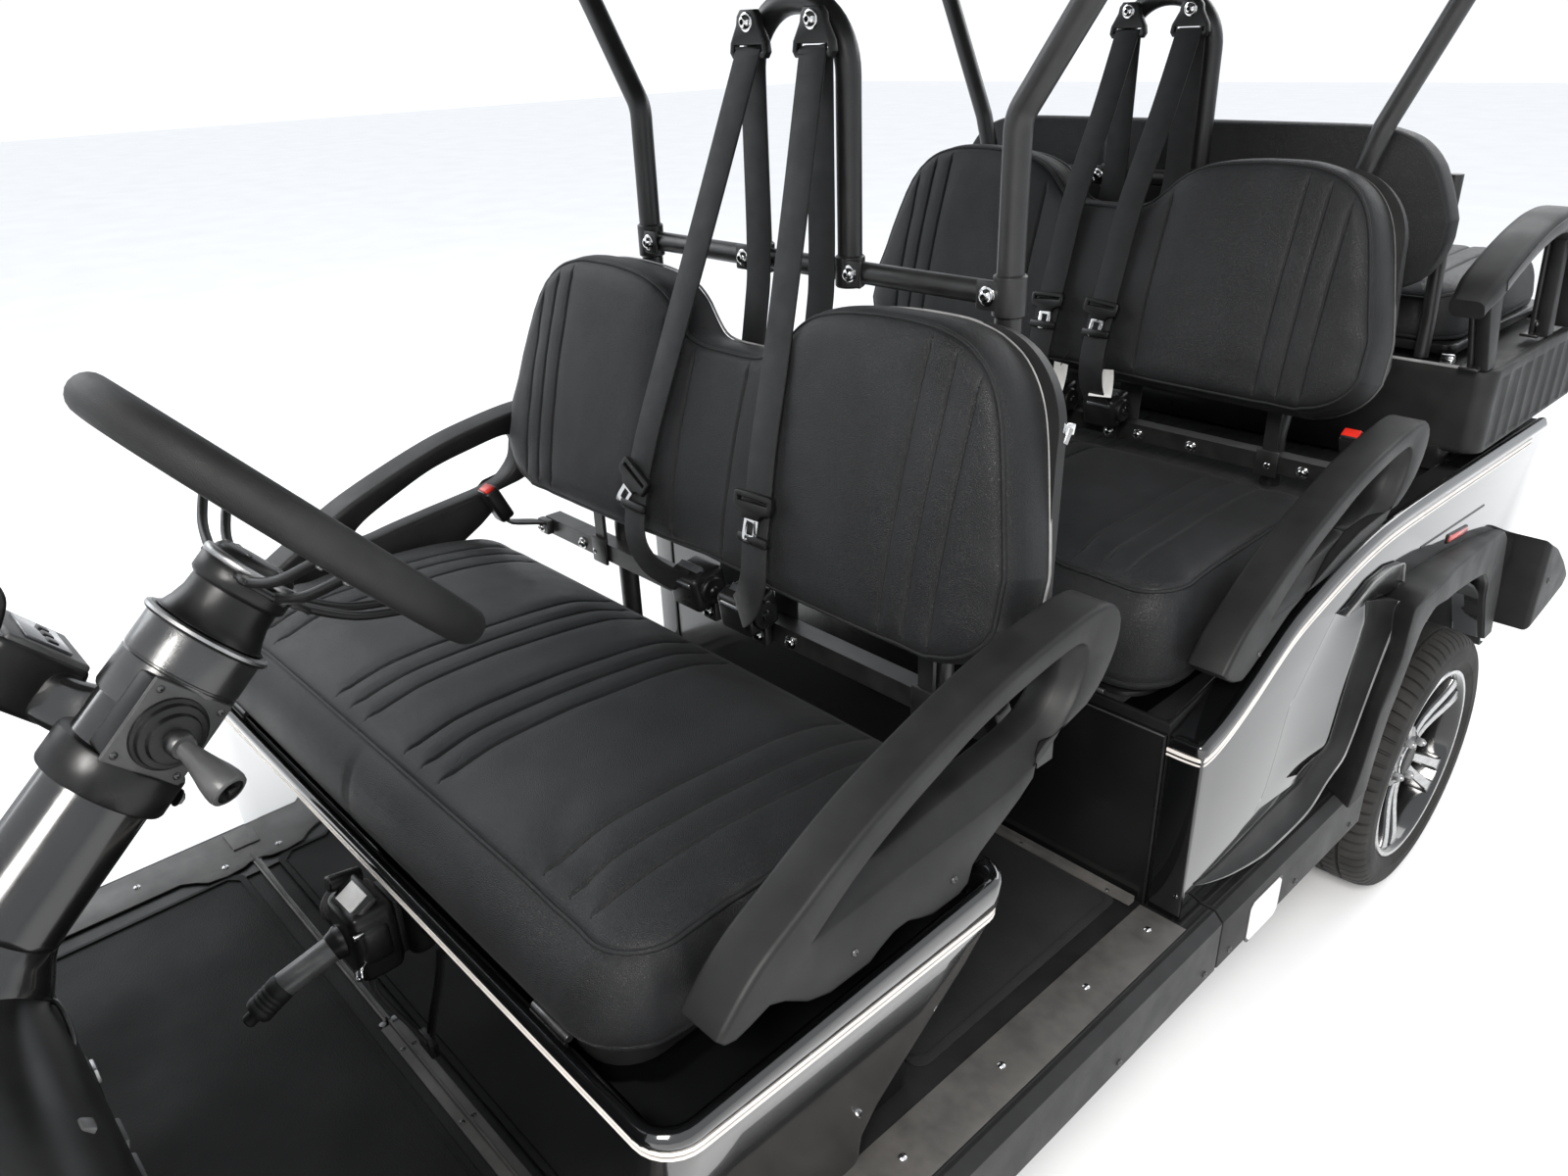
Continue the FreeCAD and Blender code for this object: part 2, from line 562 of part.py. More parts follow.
# armrest outline beside a bench: y, z; then its hand slot
ARM = (("front", 0.0, [(87, 757), (62, 806), (186, 839), (288, 912), (400, 972), (560, 1000), (645, 985), (680, 921), (617, 853),
                       (540, 807), (440, 771), (419, 742.4), (356, 738.0), (311, 754), (221, 735), (158, 753)],
        [(300, 832), (559, 951), (574, 939), (517, 862), (375, 834)]),
       ("middle", 870.0, [(85, 757), (62, 806), (186, 839), (288, 912), (400, 972), (560, 1000), (645, 985), (680, 921),
                          (630, 862), (600, 851), (550, 850.4), (380, 831), (240, 796), (129, 737)],
        [(308, 846), (559, 951), (574, 939), (517, 872), (380, 852)]))
for name, dy, side, slot in ARM:
    pair = []
    for s in (1, -1):
        a, b = mirror_x(arm_in, arm_out, s)
        body = prism("YZ", a, b, [(y + dy, z) for y, z in side], [(y + dy, z) for y, z in slot])
        round_edges(body, 9, lambda p, d, e: abs(p.z - 950) > 0 and abs(d.x) < 0.1 and e.Length > 60
                    and (p.y - dy < 210 or p.z > 905) and p.z > 800)
        pair.append(body)
    node(together(*pair), name + "_armrests")

# belt retractors at the middle and buckles at the ends of each belt bar
bits = []
for name, dy, dz in ROW:
    bar = 780 + dz
    bits += [box(-88, -22, 530 + dy, 597.5 + dy, bar + 16, bar + 76), box(22, 88, 530 + dy, 597.5 + dy, bar + 16, bar + 76)]
    bits += [box(-70, -40, 570 + dy, 597.5 + dy, bar - 12, bar + 17), box(40, 70, 570 + dy, 597.5 + dy, bar - 12, bar + 17)]
    for s in (1, -1):
        a, b = mirror_x(486, 516, s)
        bits.append(box(a, b, 520 + dy, 560 + dy, bar + 30, bar + 118))
        bits.append(box(a, b, 560 + dy, 597.5 + dy, bar - 5, bar + 40))
node(fuse(*bits), "belt_fittings")

# ---------------------------------------------------------------- steering
axis_dir = Vector(0, math.cos(math.radians(column_rise.value)), math.sin(math.radians(column_rise.value)))
col_rot = Rotation(Vector(1, 0, 0), column_rise.value - 90)
ring = doc.addObject("Part::Torus", "Ring")
bind(ring, "Radius1", wheel_ring)
bind(ring, "Radius2", wheel_grip)
spokes = [ring, rod("z", 30, 34, 0, 0, -46)]
# spokes: direction in degrees, two bars each
for ang in (0.0, 180.0, 270.0):
    for off in (-9.0, 9.0):
        ca, sa = math.cos(math.radians(ang)), math.sin(math.radians(ang))
        p0 = Vector(18 * ca - off * sa, 18 * sa + off * ca, -34)
        p1 = Vector(152 * ca - off * sa, 152 * sa + off * ca, -4)
        c = doc.addObject("Part::Cylinder", "Spoke")
        c.Radius = 5
        c.Height = (p1 - p0).Length
        c.Placement = Placement(p0, Rotation(Vector(0, 0, 1), p1 - p0))
        spokes.append(c)
node(fuse(*spokes), "steering_wheel", hub_x, hub_y, hub_z, col_rot)
column = fuse(rod("z", 14, 20, 0, 0, -68), rod("z", 30, 45, 0, 0, -112), rod("z", 40, 40, 0, 0, -152),
              rod("z", 33, 330, 0, 0, -440), box(-48, 48, -44, 36, -236, -170))
node(column, "steering_column", hub_x, hub_y, hub_z, col_rot)

# dashboard, hollow behind, with a round opening for the column; columns y, z
dash = prism("YZ", -560, 560, [(-330, 650), (-336, 900), (-360, 934), (-520, 984), (-520, 650)])
hollow(dash, "YZ", -550, 550, [(-340, 640), (-346, 898), (-364, 924), (-521, 972), (-530, 640)])
bore = rod("z", 46, 500, 0, 0, 0)
bore.Placement = Placement(Vector(hub_x.value, hub_y.value, hub_z.value) - axis_dir * 600, col_rot)
node(cut(dash, bore), "dashboard")

# pedals: arm from the firewall foot and pad, accelerator on the outside
bits = []
for x0, x1 in ((118, 184), (206, 262)):
    bits.append(box(x0, x1, -560, -548, 455, 560))
    bits.append(box((x0 + x1) / 2 - 8, (x0 + x1) / 2 + 8, -620, -559, 440, 460))
    bits.append(box((x0 + x1) / 2 - 8, (x0 + x1) / 2 + 8, -638.8, -620, 396, 460))
node(fuse(*bits), "pedals")

# drive selector on the front of the first seat box
bits = [box(34, 108, -60, -7, 596, 700), box(46, 96, -8, -1.0, 610, 680)]
handle = tube([(64, -52, 642), (57, -131, 620), (50, -176, 588)], 11, 60)
node(fuse(bits[0], bits[1], handle), "drive_selector")

# ---------------------------------------------------------------- nose
# side outline y, z and plan outline x, y, each with its inset for the wall
NOSE = [(-522, 430), (-522, 985), (-570, 985), (-900, 905), (-1120, 800), (-1215, 660), (-1238, 520), (-1203.5, 430)]
NOSE_IN = [(-500, 420), (-500, 972), (-568, 972), (-896, 893), (-1112, 790), (-1204, 655), (-1226, 520), (-1192, 420)]
PLAN = [(-560, -520), (560, -520), (545, -900), (470, -1180), (380, -1242), (-380, -1242), (-470, -1180), (-545, -900)]
PLAN_IN = [(-549, -500), (549, -500), (534, -898), (461, -1172), (376, -1230), (-376, -1230), (-461, -1172), (-534, -898)]
shell_out = common(prism("YZ", -600, 600, NOSE), prism("XY", 400, 1000, PLAN))
shell_in = common(prism("YZ", -600, 600, NOSE_IN), prism("XY", 390, 1000, PLAN_IN))
arches = fuse(rod("x", 363, 400, 270, front_axle_y, 260), rod("x", 363, 400, -670, front_axle_y, 260))
node(cut(cut(shell_out, shell_in), arches), "front_cowl")

fenders = []
for s in (1, -1):
    a, b = mirror_x(276, 650, s)
    ring_out = rod("x", 361.5, 374, a, front_axle_y, 260)
    c, d = mirror_x(286, 660, s)
    ring_in = rod("x", 350, 374, c, front_axle_y, 260)
    below = box(-700, 700, -1300, -400, -200, 372)
    fenders.append(cut(cut(ring_out, ring_in), below))
node(together(*fenders), "front_fenders")
# headlights lie on the nose: its own outlines grown by 7 mm, then trimmed to the lamp's front view
NOSE_OUT = [(-522, 430), (-522, 992), (-571, 992), (-903, 912), (-1125, 806), (-1221, 662), (-1245, 521), (-1211, 430)]
PLAN_OUT = [(-567, -520), (567, -520), (552, -901), (476, -1184), (382, -1249), (-382, -1249), (-476, -1184), (-552, -901)]
skin = cut(common(prism("YZ", -600, 600, NOSE_OUT), prism("XY", 400, 1000, PLAN_OUT)), shell_out)
LAMP = [(290, 590), (480, 640), (522, 690), (508, 738), (330, 700), (288, 660)]
bits = [common(skin, prism("XZ", -1262, -950, [(s * x, z) for x, z in LAMP])) for s in (1, -1)]
node(together(*bits), "headlights")
bump = prism("XZ", -1262, -1205, [(-540, 330), (540, 330), (560, 360), (545, 425), (-545, 425), (-560, 360)])
round_edges(bump, 12, lambda p, d, e: abs(p.y + 1262) < 0.5)
node(bump, "front_bumper")

# ---------------------------------------------------------------- windscreen and roof
lean = Rotation(Vector(1, 0, 0), -post_lean.value)
bits = []
for s in (1, -1):
    bits.append(rod("z", 14, 1003, s * 530, 0, 0))
for z in (16, 985):
    bits.append(rod("x", 11, 1060, -530, 0, z))
node(fuse(*bits), "windscreen_frame", 0, -515, 992, lean)
node(box(-514, 514, -2.5, 2.5, 29, 972), "windscreen", -514, -515, 992, lean)
NODES[-1].Placement = Placement(Vector(-514, datum_y.value - 515, 992), lean).multiply(
    Placement(Vector(0, -2.5, 29), Rotation()))
for axis in "xyz":
    NODES[-1].setExpression(".Placement.Base." + axis, None)
roof = prism("XY", roof_low, roof_top,
             [(-roof_half + 70, roof_front), (roof_half - 70, roof_front), (roof_half, roof_front + 70),
              (roof_half, roof_rear - 70), (roof_half - 70, roof_rear), (-roof_half + 70, roof_rear),
              (-roof_half, roof_rear - 70), (-roof_half, roof_front + 70)])
hollow(roof, "XY", roof_low, roof_skin,
       [(-roof_half + 80, roof_front + 22), (roof_half - 80, roof_front + 22), (roof_half - 22, roof_front + 80),
        (roof_half - 22, roof_rear - 80), (roof_half - 80, roof_rear - 22), (-roof_half + 80, roof_rear - 22),
        (-roof_half + 22, roof_rear - 80), (-roof_half + 22, roof_front + 80)])
round_edges(roof, 30, lambda p, d, e: abs(p.z - roof_top.value) < 0.5)
node(roof, "roof")

# ---------------------------------------------------------------- axles
bits = [box(-400, 400, -880, -800, 225, 295), box(-200, 200, -880, -800, 295, 301.8)]
for s in (1, -1):
    a, b = mirror_x(392, 404, s)
    bits.append(box(a, b, -870, -810, 192, 328))
    a, b = mirror_x(400, 440, s)
    for z in (192, 316):
        bits.append(box(a, b, -864, -816, z, z + 12))
        bits.append(rod("z", 24, 12, s * 440, front_axle_y, z))
node(fuse(*bits), "front_axle")
for side, s in SIDES:
    knuckle = fuse(rod("z", 22, 111, s * 440, front_axle_y, 204.5),
                   rod("x", 20, 36, 440 if s > 0 else -476, front_axle_y, 260),
                   rod("x", spindle_rad, 130, 440 if s > 0 else -570, front_axle_y, 260),
                   rod("x", 78, 12, 470 if s > 0 else -482, front_axle_y, 260),
                   box(*(mirror_x(428, 452, s) + (-840, -716, 226, 238))))
    node(cut(knuckle, rod("z", 6.05, 60, s * 440, -728, 200)), "front_%s_knuckle" % side)
rodbits = [rod("x", 8, 856, -428, -728, 252)]
for s in (1, -1):
    rodbits.append(rod("z", 12, 16, s * 440, -728, 244))
    rodbits.append(rod("z", 6, 22, s * 440, -728, 224))
node(fuse(*rodbits), "tie_rod")

bits = [rod("x", 36, 800, -400, rear_axle_y, 260), rod("x", 105, 120, -60, rear_axle_y, 250)]
for s in (1, -1):
    bits.append(rod("x", spindle_rad, 175, 395 if s > 0 else -570, rear_axle_y, 260))
    bits.append(rod("x", 82, 14, 448 if s > 0 else -462, rear_axle_y, 260))
    bits.append(rod("x", 22, 60, 396 if s > 0 else -456, rear_axle_y, 260))
    # spring seat under the leaf pack
    a, b = mirror_x(282, 332, s)
    bits.append(box(a, b, 1690, 1764, 230, 300))
axle = fuse(*bits)
node(rod("x", 88, 230, -130, 1524, 285), "drive_motor", -130, 1524, 285, AXES["x"])
springs = []
for s in (1, -1):
    a, b = mirror_x(285, 329, s)
    springs.append(prism("YZ", a, b, [(1330, 372), (1727, 301, 1530, 318), (2124, 372, 1924, 318), (2124, 388),
                                      (1727, 323, 1924, 338), (1330, 388, 1530, 338)]))
shackles = []
for s in (1, -1):
    a, b = mirror_x(240.3, 329, s)
    shackles.append(box(a, b, 1316, 1332, 364, 394))
    shackles.append(box(a, b, 2122, 2138, 330, 394))
node(together(axle, fuse(*(springs + shackles))), "rear_axle")

# ---------------------------------------------------------------- wheels
# tyre section: x, radius, and the arc's middle
TYRE = [(-92, 190.4), (-98, 205), (-102.5, 222, -102, 212), (-84, 252, -97, 243), (-60, 258.5, -72, 256.5),
        (60, 258.5, 0, 260), (84, 252, 72, 256.5), (102.5, 222, 97, 243), (98, 205, 102, 212), (92, 190.4),
        (92, 180.4), (-92, 180.4)]
# rim section: flanges, barrel, and the well
RIM = [(-92, 180), (-92, 190), (-97, 190), (-97, 172), (-60, 168), (40, 160), (84, 168), (97, 172), (97, 190), (92, 190), (92, 180)]
WHEELS = (("front_left", 1, 0), ("front_right", -1, 0), ("rear_left", 1, 1), ("rear_right", -1, 1))
for name, s, rear in WHEELS:
    at = (wheel_x * s, rear_axle_y if rear else front_axle_y, tyre_rad)
    turn = Rotation(Vector(0, 0, 1), 0 if s > 0 else 180)
    tyre = turned([tuple(c) for c in TYRE])
    node(tyre, name + "_tyre", at[0], at[1], at[2], turn)
    barrel = turned([tuple(c) for c in RIM])
    bits = [barrel, rod("x", 62, 46, 34, 0, 0), rod("x", 34, 68, 12, 0, 0)]
    for k in range(5):
        for off in (-7.5, 7.5):
            ang = math.radians(72 * k + off)
            c = doc.addObject("Part::Box", "Spoke")
            c.Length, c.Width, c.Height = 22, 18, 122
            c.Placement = Placement(Vector(56, 0, 0), Rotation(Vector(1, 0, 0), math.degrees(ang))).multiply(
                Placement(Vector(0, -9, 46), Rotation()))
            bits.append(c)
    rim_node = cut(fuse(*bits), rod("x", bore_rad, 200, -100, 0, 0))
    node(rim_node, name + "_rim", at[0], at[1], at[2], turn)

# ---------------------------------------------------------------- check and write
doc.recompute()
bad = [o.Name + " " + o.Label for o in doc.Objects if "Invalid" in o.State or "Error" in o.State]
if bad:
    raise RuntimeError("not computed: " + ", ".join(bad))
labels = [o.Label for o in NODES]
if len(set(labels)) != len(labels):
    raise RuntimeError("two pieces share a name: " + ", ".join(sorted(l for l in labels if labels.count(l) > 1)))
total = 0.0
for o in NODES:
    if o.Shape.isNull() or not o.Shape.isValid():
        raise RuntimeError("bad shape: " + o.Label)
for o in NODES:
    o.Shape.exportStep("parts/%s.step" % o.Label)
    total += o.Shape.Volume
    b = o.Shape.BoundBox
    print("%-28s solids %d  x %7.1f %7.1f  y %7.1f %7.1f  z %7.1f %7.1f  %.4f m3" % (
        o.Label, len(o.Shape.Solids), b.XMin, b.XMax, b.YMin, b.YMax, b.ZMin, b.ZMax, o.Shape.Volume / 1e9))
print("pieces", len(NODES), "solid volume m3 %.3f" % (total / 1e9))
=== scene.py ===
import math
import random

import bmesh
import bpy
import numpy as np
from mathutils import Matrix, Vector
from mathutils.kdtree import KDTree

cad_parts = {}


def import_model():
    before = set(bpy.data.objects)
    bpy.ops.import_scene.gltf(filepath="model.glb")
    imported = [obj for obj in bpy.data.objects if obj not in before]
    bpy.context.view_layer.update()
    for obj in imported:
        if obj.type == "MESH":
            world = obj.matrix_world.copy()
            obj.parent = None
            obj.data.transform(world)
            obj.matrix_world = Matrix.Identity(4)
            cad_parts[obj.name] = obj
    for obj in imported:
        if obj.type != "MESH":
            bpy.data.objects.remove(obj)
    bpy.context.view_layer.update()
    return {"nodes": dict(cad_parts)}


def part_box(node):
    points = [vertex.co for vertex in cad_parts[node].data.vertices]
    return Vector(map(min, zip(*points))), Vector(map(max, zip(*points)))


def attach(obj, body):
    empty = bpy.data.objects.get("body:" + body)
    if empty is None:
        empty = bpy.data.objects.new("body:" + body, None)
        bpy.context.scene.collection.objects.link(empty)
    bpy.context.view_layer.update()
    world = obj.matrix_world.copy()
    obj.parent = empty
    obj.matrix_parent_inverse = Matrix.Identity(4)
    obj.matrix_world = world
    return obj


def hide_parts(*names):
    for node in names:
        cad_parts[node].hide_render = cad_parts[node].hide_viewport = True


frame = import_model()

NODES = frame["nodes"]
# Shapes are written in the seat frame: x to the vehicle's left, y rearwards from the front of the first
# seat box, z up from the ground. DY carries them into the row frame.
DY = -0.669
ROW_Y, ROW_Z = 0.873, 0.084
rng = random.Random(7)
pi = math.pi


# ---------------------------------------------------------------- materials
MATS = {}


def sock(node, *names):
    for n in names:
        if n in node.inputs:
            return node.inputs[n]


def material(name, stops, rough, metal=0.0, spec=0.5, coat=0.0, coat_rough=0.05, scale=30.0, detail=4.0, bumps=(),
             bevel=0.0, sheen=0.0, trans=0.0, ior=None, rscale=None, aniso=0.0, alpha=None, squash=(1, 1, 1), edge=None):
    """stops: colours along a noise ramp; rough: (low, high) along another noise; bumps: (kind, scale, distance, strength[, stretch])."""
    m = bpy.data.materials.new(name)
    m.use_nodes = True
    nt = m.node_tree
    nt.nodes.clear()
    out = nt.nodes.new("ShaderNodeOutputMaterial")
    b = nt.nodes.new("ShaderNodeBsdfPrincipled")
    nt.links.new(b.outputs[0], out.inputs[0])
    b.inputs["Metallic"].default_value = metal
    b.inputs["Specular IOR Level"].default_value = spec
    b.inputs["Coat Weight"].default_value = coat
    b.inputs["Coat Roughness"].default_value = coat_rough
    b.inputs["Sheen Weight"].default_value = sheen
    b.inputs["Transmission Weight"].default_value = trans
    b.inputs["Anisotropic"].default_value = aniso
    if ior:
        b.inputs["IOR"].default_value = ior
    if alpha is not None:
        b.inputs["Alpha"].default_value = alpha
    tc = nt.nodes.new("ShaderNodeTexCoord")

    def coords(stretch=(1, 1, 1), turn=(0, 0, 0)):
        if tuple(stretch) == (1, 1, 1) and tuple(turn) == (0, 0, 0):
            return tc.outputs["Object"]
        mp = nt.nodes.new("ShaderNodeMapping")
        mp.inputs["Scale"].default_value = stretch
        mp.inputs["Rotation"].default_value = turn
        nt.links.new(tc.outputs["Object"], mp.inputs[0])
        return mp.outputs[0]

    def noise(s, d=4.0, stretch=(1, 1, 1), rough_=0.55):
        n = nt.nodes.new("ShaderNodeTexNoise")
        n.inputs["Scale"].default_value = s
        n.inputs["Detail"].default_value = d
        n.inputs["Roughness"].default_value = rough_
        nt.links.new(coords(stretch), n.inputs["Vector"])
        return n.outputs["Fac"] if "Fac" in n.outputs else n.outputs[0]

    # colour
    ramp = nt.nodes.new("ShaderNodeValToRGB")
    el = ramp.color_ramp.elements
    while len(el) > 1:
        el.remove(el[-1])
    for i, c in enumerate(stops):
        pos = 0.32 + 0.36 * i / max(1, len(stops) - 1)
        e = el[0] if i == 0 else el.new(pos)
        e.position = pos
        e.color = (c[0], c[1], c[2], 1)
    nt.links.new(noise(scale, detail, squash), ramp.inputs[0])
    colour = ramp.outputs[0]
    if edge:  # paler worn edges: (colour, radius)
        geo = nt.nodes.new("ShaderNodeNewGeometry")
        r2 = nt.nodes.new("ShaderNodeValToRGB")
        r2.color_ramp.elements[0].position = 0.52
        r2.color_ramp.elements[1].position = 0.62
        nt.links.new(geo.outputs["Pointiness"], r2.inputs[0])
        mx = nt.nodes.new("ShaderNodeMixRGB")
        mx.inputs[2].default_value = (*edge, 1)
        nt.links.new(r2.outputs[0], mx.inputs[0])
        nt.links.new(colour, mx.inputs[1])
        colour = mx.outputs[0]
    nt.links.new(colour, b.inputs["Base Color"])
    # roughness
    mr = nt.nodes.new("ShaderNodeMapRange")
    mr.inputs["From Min"].default_value = 0.3
    mr.inputs["From Max"].default_value = 0.7
    mr.inputs["To Min"].default_value = rough[0]
    mr.inputs["To Max"].default_value = rough[1]
    nt.links.new(noise(rscale or scale * 0.6, 3.0, squash), mr.inputs["Value"])
    nt.links.new(mr.outputs[0], b.inputs["Roughness"])
    # bumps
    last = None
    if bevel:
        bv = nt.nodes.new("ShaderNodeBevel")
        bv.samples = 3
        bv.inputs["Radius"].default_value = bevel
        last = bv.outputs[0]
    for item in bumps:
        kind, s, dist, strength = item[:4]
        stretch = item[4] if len(item) > 4 else (1, 1, 1)
        turn = item[5] if len(item) > 5 else (0, 0, 0)
        if kind == "noise":
            h = noise(s, 5.0, stretch)
        elif kind in ("cells", "edges"):
            n = nt.nodes.new("ShaderNodeTexVoronoi")
            n.feature = "F1" if kind == "cells" else "DISTANCE_TO_EDGE"
            n.inputs["Scale"].default_value = s
            nt.links.new(coords(stretch, turn), n.inputs["Vector"])
            h = n.outputs["Distance"]
            if kind == "edges":
                rr = nt.nodes.new("ShaderNodeMapRange")
                rr.interpolation_type = "SMOOTHSTEP"
                rr.inputs["From Min"].default_value = 0.0
                rr.inputs["From Max"].default_value = 0.22
                nt.links.new(h, rr.inputs["Value"])
                h = rr.outputs[0]
        elif kind in ("wavex", "wavey", "wavez"):
            n = nt.nodes.new("ShaderNodeTexWave")
            n.wave_type = "BANDS"
            n.bands_direction = kind[-1].upper()
            n.inputs["Scale"].default_value = s
            n.inputs["Distortion"].default_value = 0.0
            nt.links.new(coords(stretch, turn), n.inputs["Vector"])
            h = n.outputs["Fac"] if "Fac" in n.outputs else n.outputs[1]
        bp = nt.nodes.new("ShaderNodeBump")
        bp.inputs["Strength"].default_value = strength
        bp.inputs["Distance"].default_value = dist
        nt.links.new(h, bp.inputs["Height"])
        if last:
            nt.links.new(last, bp.inputs["Normal"])
        last = bp.outputs[0]
    if last:
        nt.links.new(last, b.inputs["Normal"])
    MATS[name] = m
    return m


def grey(*vals, tint=(1, 1, 1)):
    return [(v * tint[0], v * tint[1], v * tint[2]) for v in vals]


COOL = (0.94, 0.99, 1.08)
WARM = (1.06, 1.0, 0.94)
material("vinyl", grey(0.0065, 0.0088, 0.0118, tint=COOL), (0.36, 0.50), spec=0.24, scale=9, sheen=0.02,
         bumps=(("edges", 560, 0.0005, 0.55), ("noise", 1500, 0.0002, 0.35), ("noise", 46, 0.0016, 0.22)))
material("vinyl_side", grey(0.0060, 0.0080, 0.0105, tint=COOL), (0.40, 0.54), spec=0.24, scale=9, sheen=0.02,
         bumps=(("edges", 560, 0.0005, 0.55), ("noise", 40, 0.002, 0.25)))
material("thread", grey(0.006, 0.012, 0.02), (0.55, 0.75), scale=900, bumps=(("noise", 2500, 0.0002, 0.6),))
material("gloss_black", grey(0.0025, 0.0032, 0.0042, tint=COOL), (0.05, 0.12), spec=0.6, coat=1.0, coat_rough=0.02, scale=5,
         rscale=3, bumps=(("noise", 900, 0.00005, 0.12),), bevel=0.0018)
material("matte_black", grey(0.0065, 0.0088, 0.0115), (0.42, 0.56), spec=0.30, scale=22,
         bumps=(("noise", 1700, 0.00035, 0.55), ("noise", 600, 0.0003, 0.3)), bevel=0.0018)
material("satin_black", grey(0.0055, 0.0075, 0.0100), (0.26, 0.38), spec=0.30, scale=26,
         bumps=(("noise", 1300, 0.0002, 0.35),), bevel=0.0012)
material("shell_black", grey(0.0065, 0.0090, 0.0115), (0.36, 0.50), spec=0.30, scale=18,
         bumps=(("noise", 1500, 0.0003, 0.5),), bevel=0.001)
material("powder", grey(0.0075, 0.0105, 0.0135), (0.30, 0.42), spec=0.5, scale=34,
         bumps=(("noise", 900, 0.00035, 0.5), ("noise", 320, 0.0003, 0.25)), bevel=0.0012)
material("chassis_paint", grey(0.010, 0.014, 0.020), (0.45, 0.66), spec=0.4, scale=14,
         bumps=(("noise", 700, 0.0005, 0.45),), bevel=0.0015)
material("iron", grey(0.030, 0.045, 0.062, tint=WARM), (0.5, 0.72), metal=0.4, scale=30,
         bumps=(("noise", 420, 0.0008, 0.5), ("noise", 90, 0.001, 0.3)), bevel=0.0015)
material("rubber", grey(0.012, 0.0165, 0.022), (0.62, 0.82), spec=0.35, scale=12,
         bumps=(("noise", 1100, 0.0004, 0.55), ("noise", 60, 0.001, 0.25)), bevel=0.0015)
material("mat_rubber", grey(0.0105, 0.0140, 0.0185), (0.58, 0.8), spec=0.24, scale=7,
         bumps=(("cells", 420, 0.0007, 0.5), ("noise", 30, 0.0015, 0.3)), bevel=0.001)
material("grip", grey(0.0090, 0.0120, 0.0155), (0.48, 0.60), spec=0.30, scale=26,
         bumps=(("cells", 1500, 0.0003, 0.55), ("noise", 200, 0.0003, 0.25)))
material("webbing", grey(0.0052, 0.0072, 0.0095, tint=COOL), (0.40, 0.54), spec=0.24, scale=60, sheen=0.04,
         bumps=(("wavex", 240, 0.0003, 0.5), ("wavez", 300, 0.0003, 0.5), ("noise", 1800, 0.0002, 0.4)))
material("tyre_rubber", grey(0.013, 0.018, 0.024, tint=WARM), (0.62, 0.84), spec=0.3, scale=16,
         bumps=(("noise", 900, 0.0004, 0.5), ("noise", 200, 0.0005, 0.3)))
material("rim_black", grey(0.004, 0.0055, 0.0075), (0.10, 0.22), spec=0.6, coat=0.6, coat_rough=0.05, scale=16,
         bumps=(("noise", 800, 0.0001, 0.2),))
material("rim_machined", grey(0.42, 0.52, 0.60), (0.20, 0.32), metal=1.0, scale=40, squash=(1, 1, 6),
         bumps=(("noise", 900, 0.0001, 0.4, (1, 1, 0.1)),))
material("chrome", grey(0.62, 0.70, 0.76), (0.06, 0.16), metal=1.0, scale=50, bumps=(("noise", 500, 0.0001, 0.15),))
material("satin_metal", grey(0.30, 0.37, 0.43), (0.28, 0.42), metal=1.0, scale=60,
         bumps=(("noise", 1400, 0.00015, 0.35, (1, 1, 8)),))
material("dark_metal", grey(0.075, 0.10, 0.13), (0.30, 0.46), metal=0.9, scale=60, bumps=(("noise", 900, 0.0002, 0.4),))
material("pinstripe", grey(0.56, 0.62, 0.66, tint=WARM), (0.22, 0.34), spec=0.5, scale=30, bumps=(("noise", 600, 0.0001, 0.2),))
material("grey_plastic", grey(0.10, 0.125, 0.15), (0.34, 0.48), spec=0.5, scale=24, bumps=(("noise", 1300, 0.0002, 0.4),),
         bevel=0.001)
material("box_face", grey(0.035, 0.05, 0.065, tint=COOL), (0.12, 0.22), spec=0.6, coat=0.4, scale=30,
         bumps=(("noise", 900, 0.0001, 0.25),))
material("red_button", grey(0.42, 0.55, 0.62, tint=(1, 0.035, 0.02)), (0.26, 0.38), spec=0.5, scale=60,
         bumps=(("noise", 1200, 0.0001, 0.3),))
material("blank_label", grey(0.62, 0.70, 0.76, tint=(1, 0.99, 0.96)), (0.4, 0.55), scale=50, bumps=(("noise", 700, 0.0001, 0.3),))
# painted highlight: pale grey for thin lines that stand in for light catching rims and edges
material("painted_edge_highlight", grey(0.16, 0.21, 0.26), (0.34, 0.5), spec=0.5, scale=40, bumps=(("noise", 900, 0.0002, 0.3),))
material("lens_clear", grey(0.80, 0.88, 0.94), (0.02, 0.06), spec=0.5, trans=0.92, ior=1.46, scale=20,
         bumps=(("wavex", 60, 0.0006, 0.35),))
material("lens_red", grey(0.42, 0.55, 0.62, tint=(1, 0.03, 0.02)), (0.06, 0.14), spec=0.5, coat=0.6, scale=20,
         bumps=(("wavex", 70, 0.0006, 0.4), ("wavez", 70, 0.0006, 0.4)))
material("reflector", grey(0.70, 0.78, 0.84), (0.05, 0.12), metal=1.0, scale=30, bumps=(("noise", 120, 0.001, 0.4),))
material("pane", grey(0.86, 0.93, 0.97), (0.0, 0.03), spec=0.5, trans=1.0, ior=1.02, scale=4, alpha=0.30)
material("battery_case", grey(0.02, 0.028, 0.036), (0.4, 0.55), scale=20, bumps=(("noise", 800, 0.0004, 0.5),), bevel=0.002)
material("headliner", grey(0.035, 0.045, 0.055), (0.75, 0.92), spec=0.3, scale=30, bumps=(("noise", 1400, 0.0005, 0.6),))
material("floor_pale", grey(0.86, 0.88, 0.90), (0.75, 0.92), spec=0.25, scale=2.2, bumps=(("noise", 90, 0.001, 0.12),))

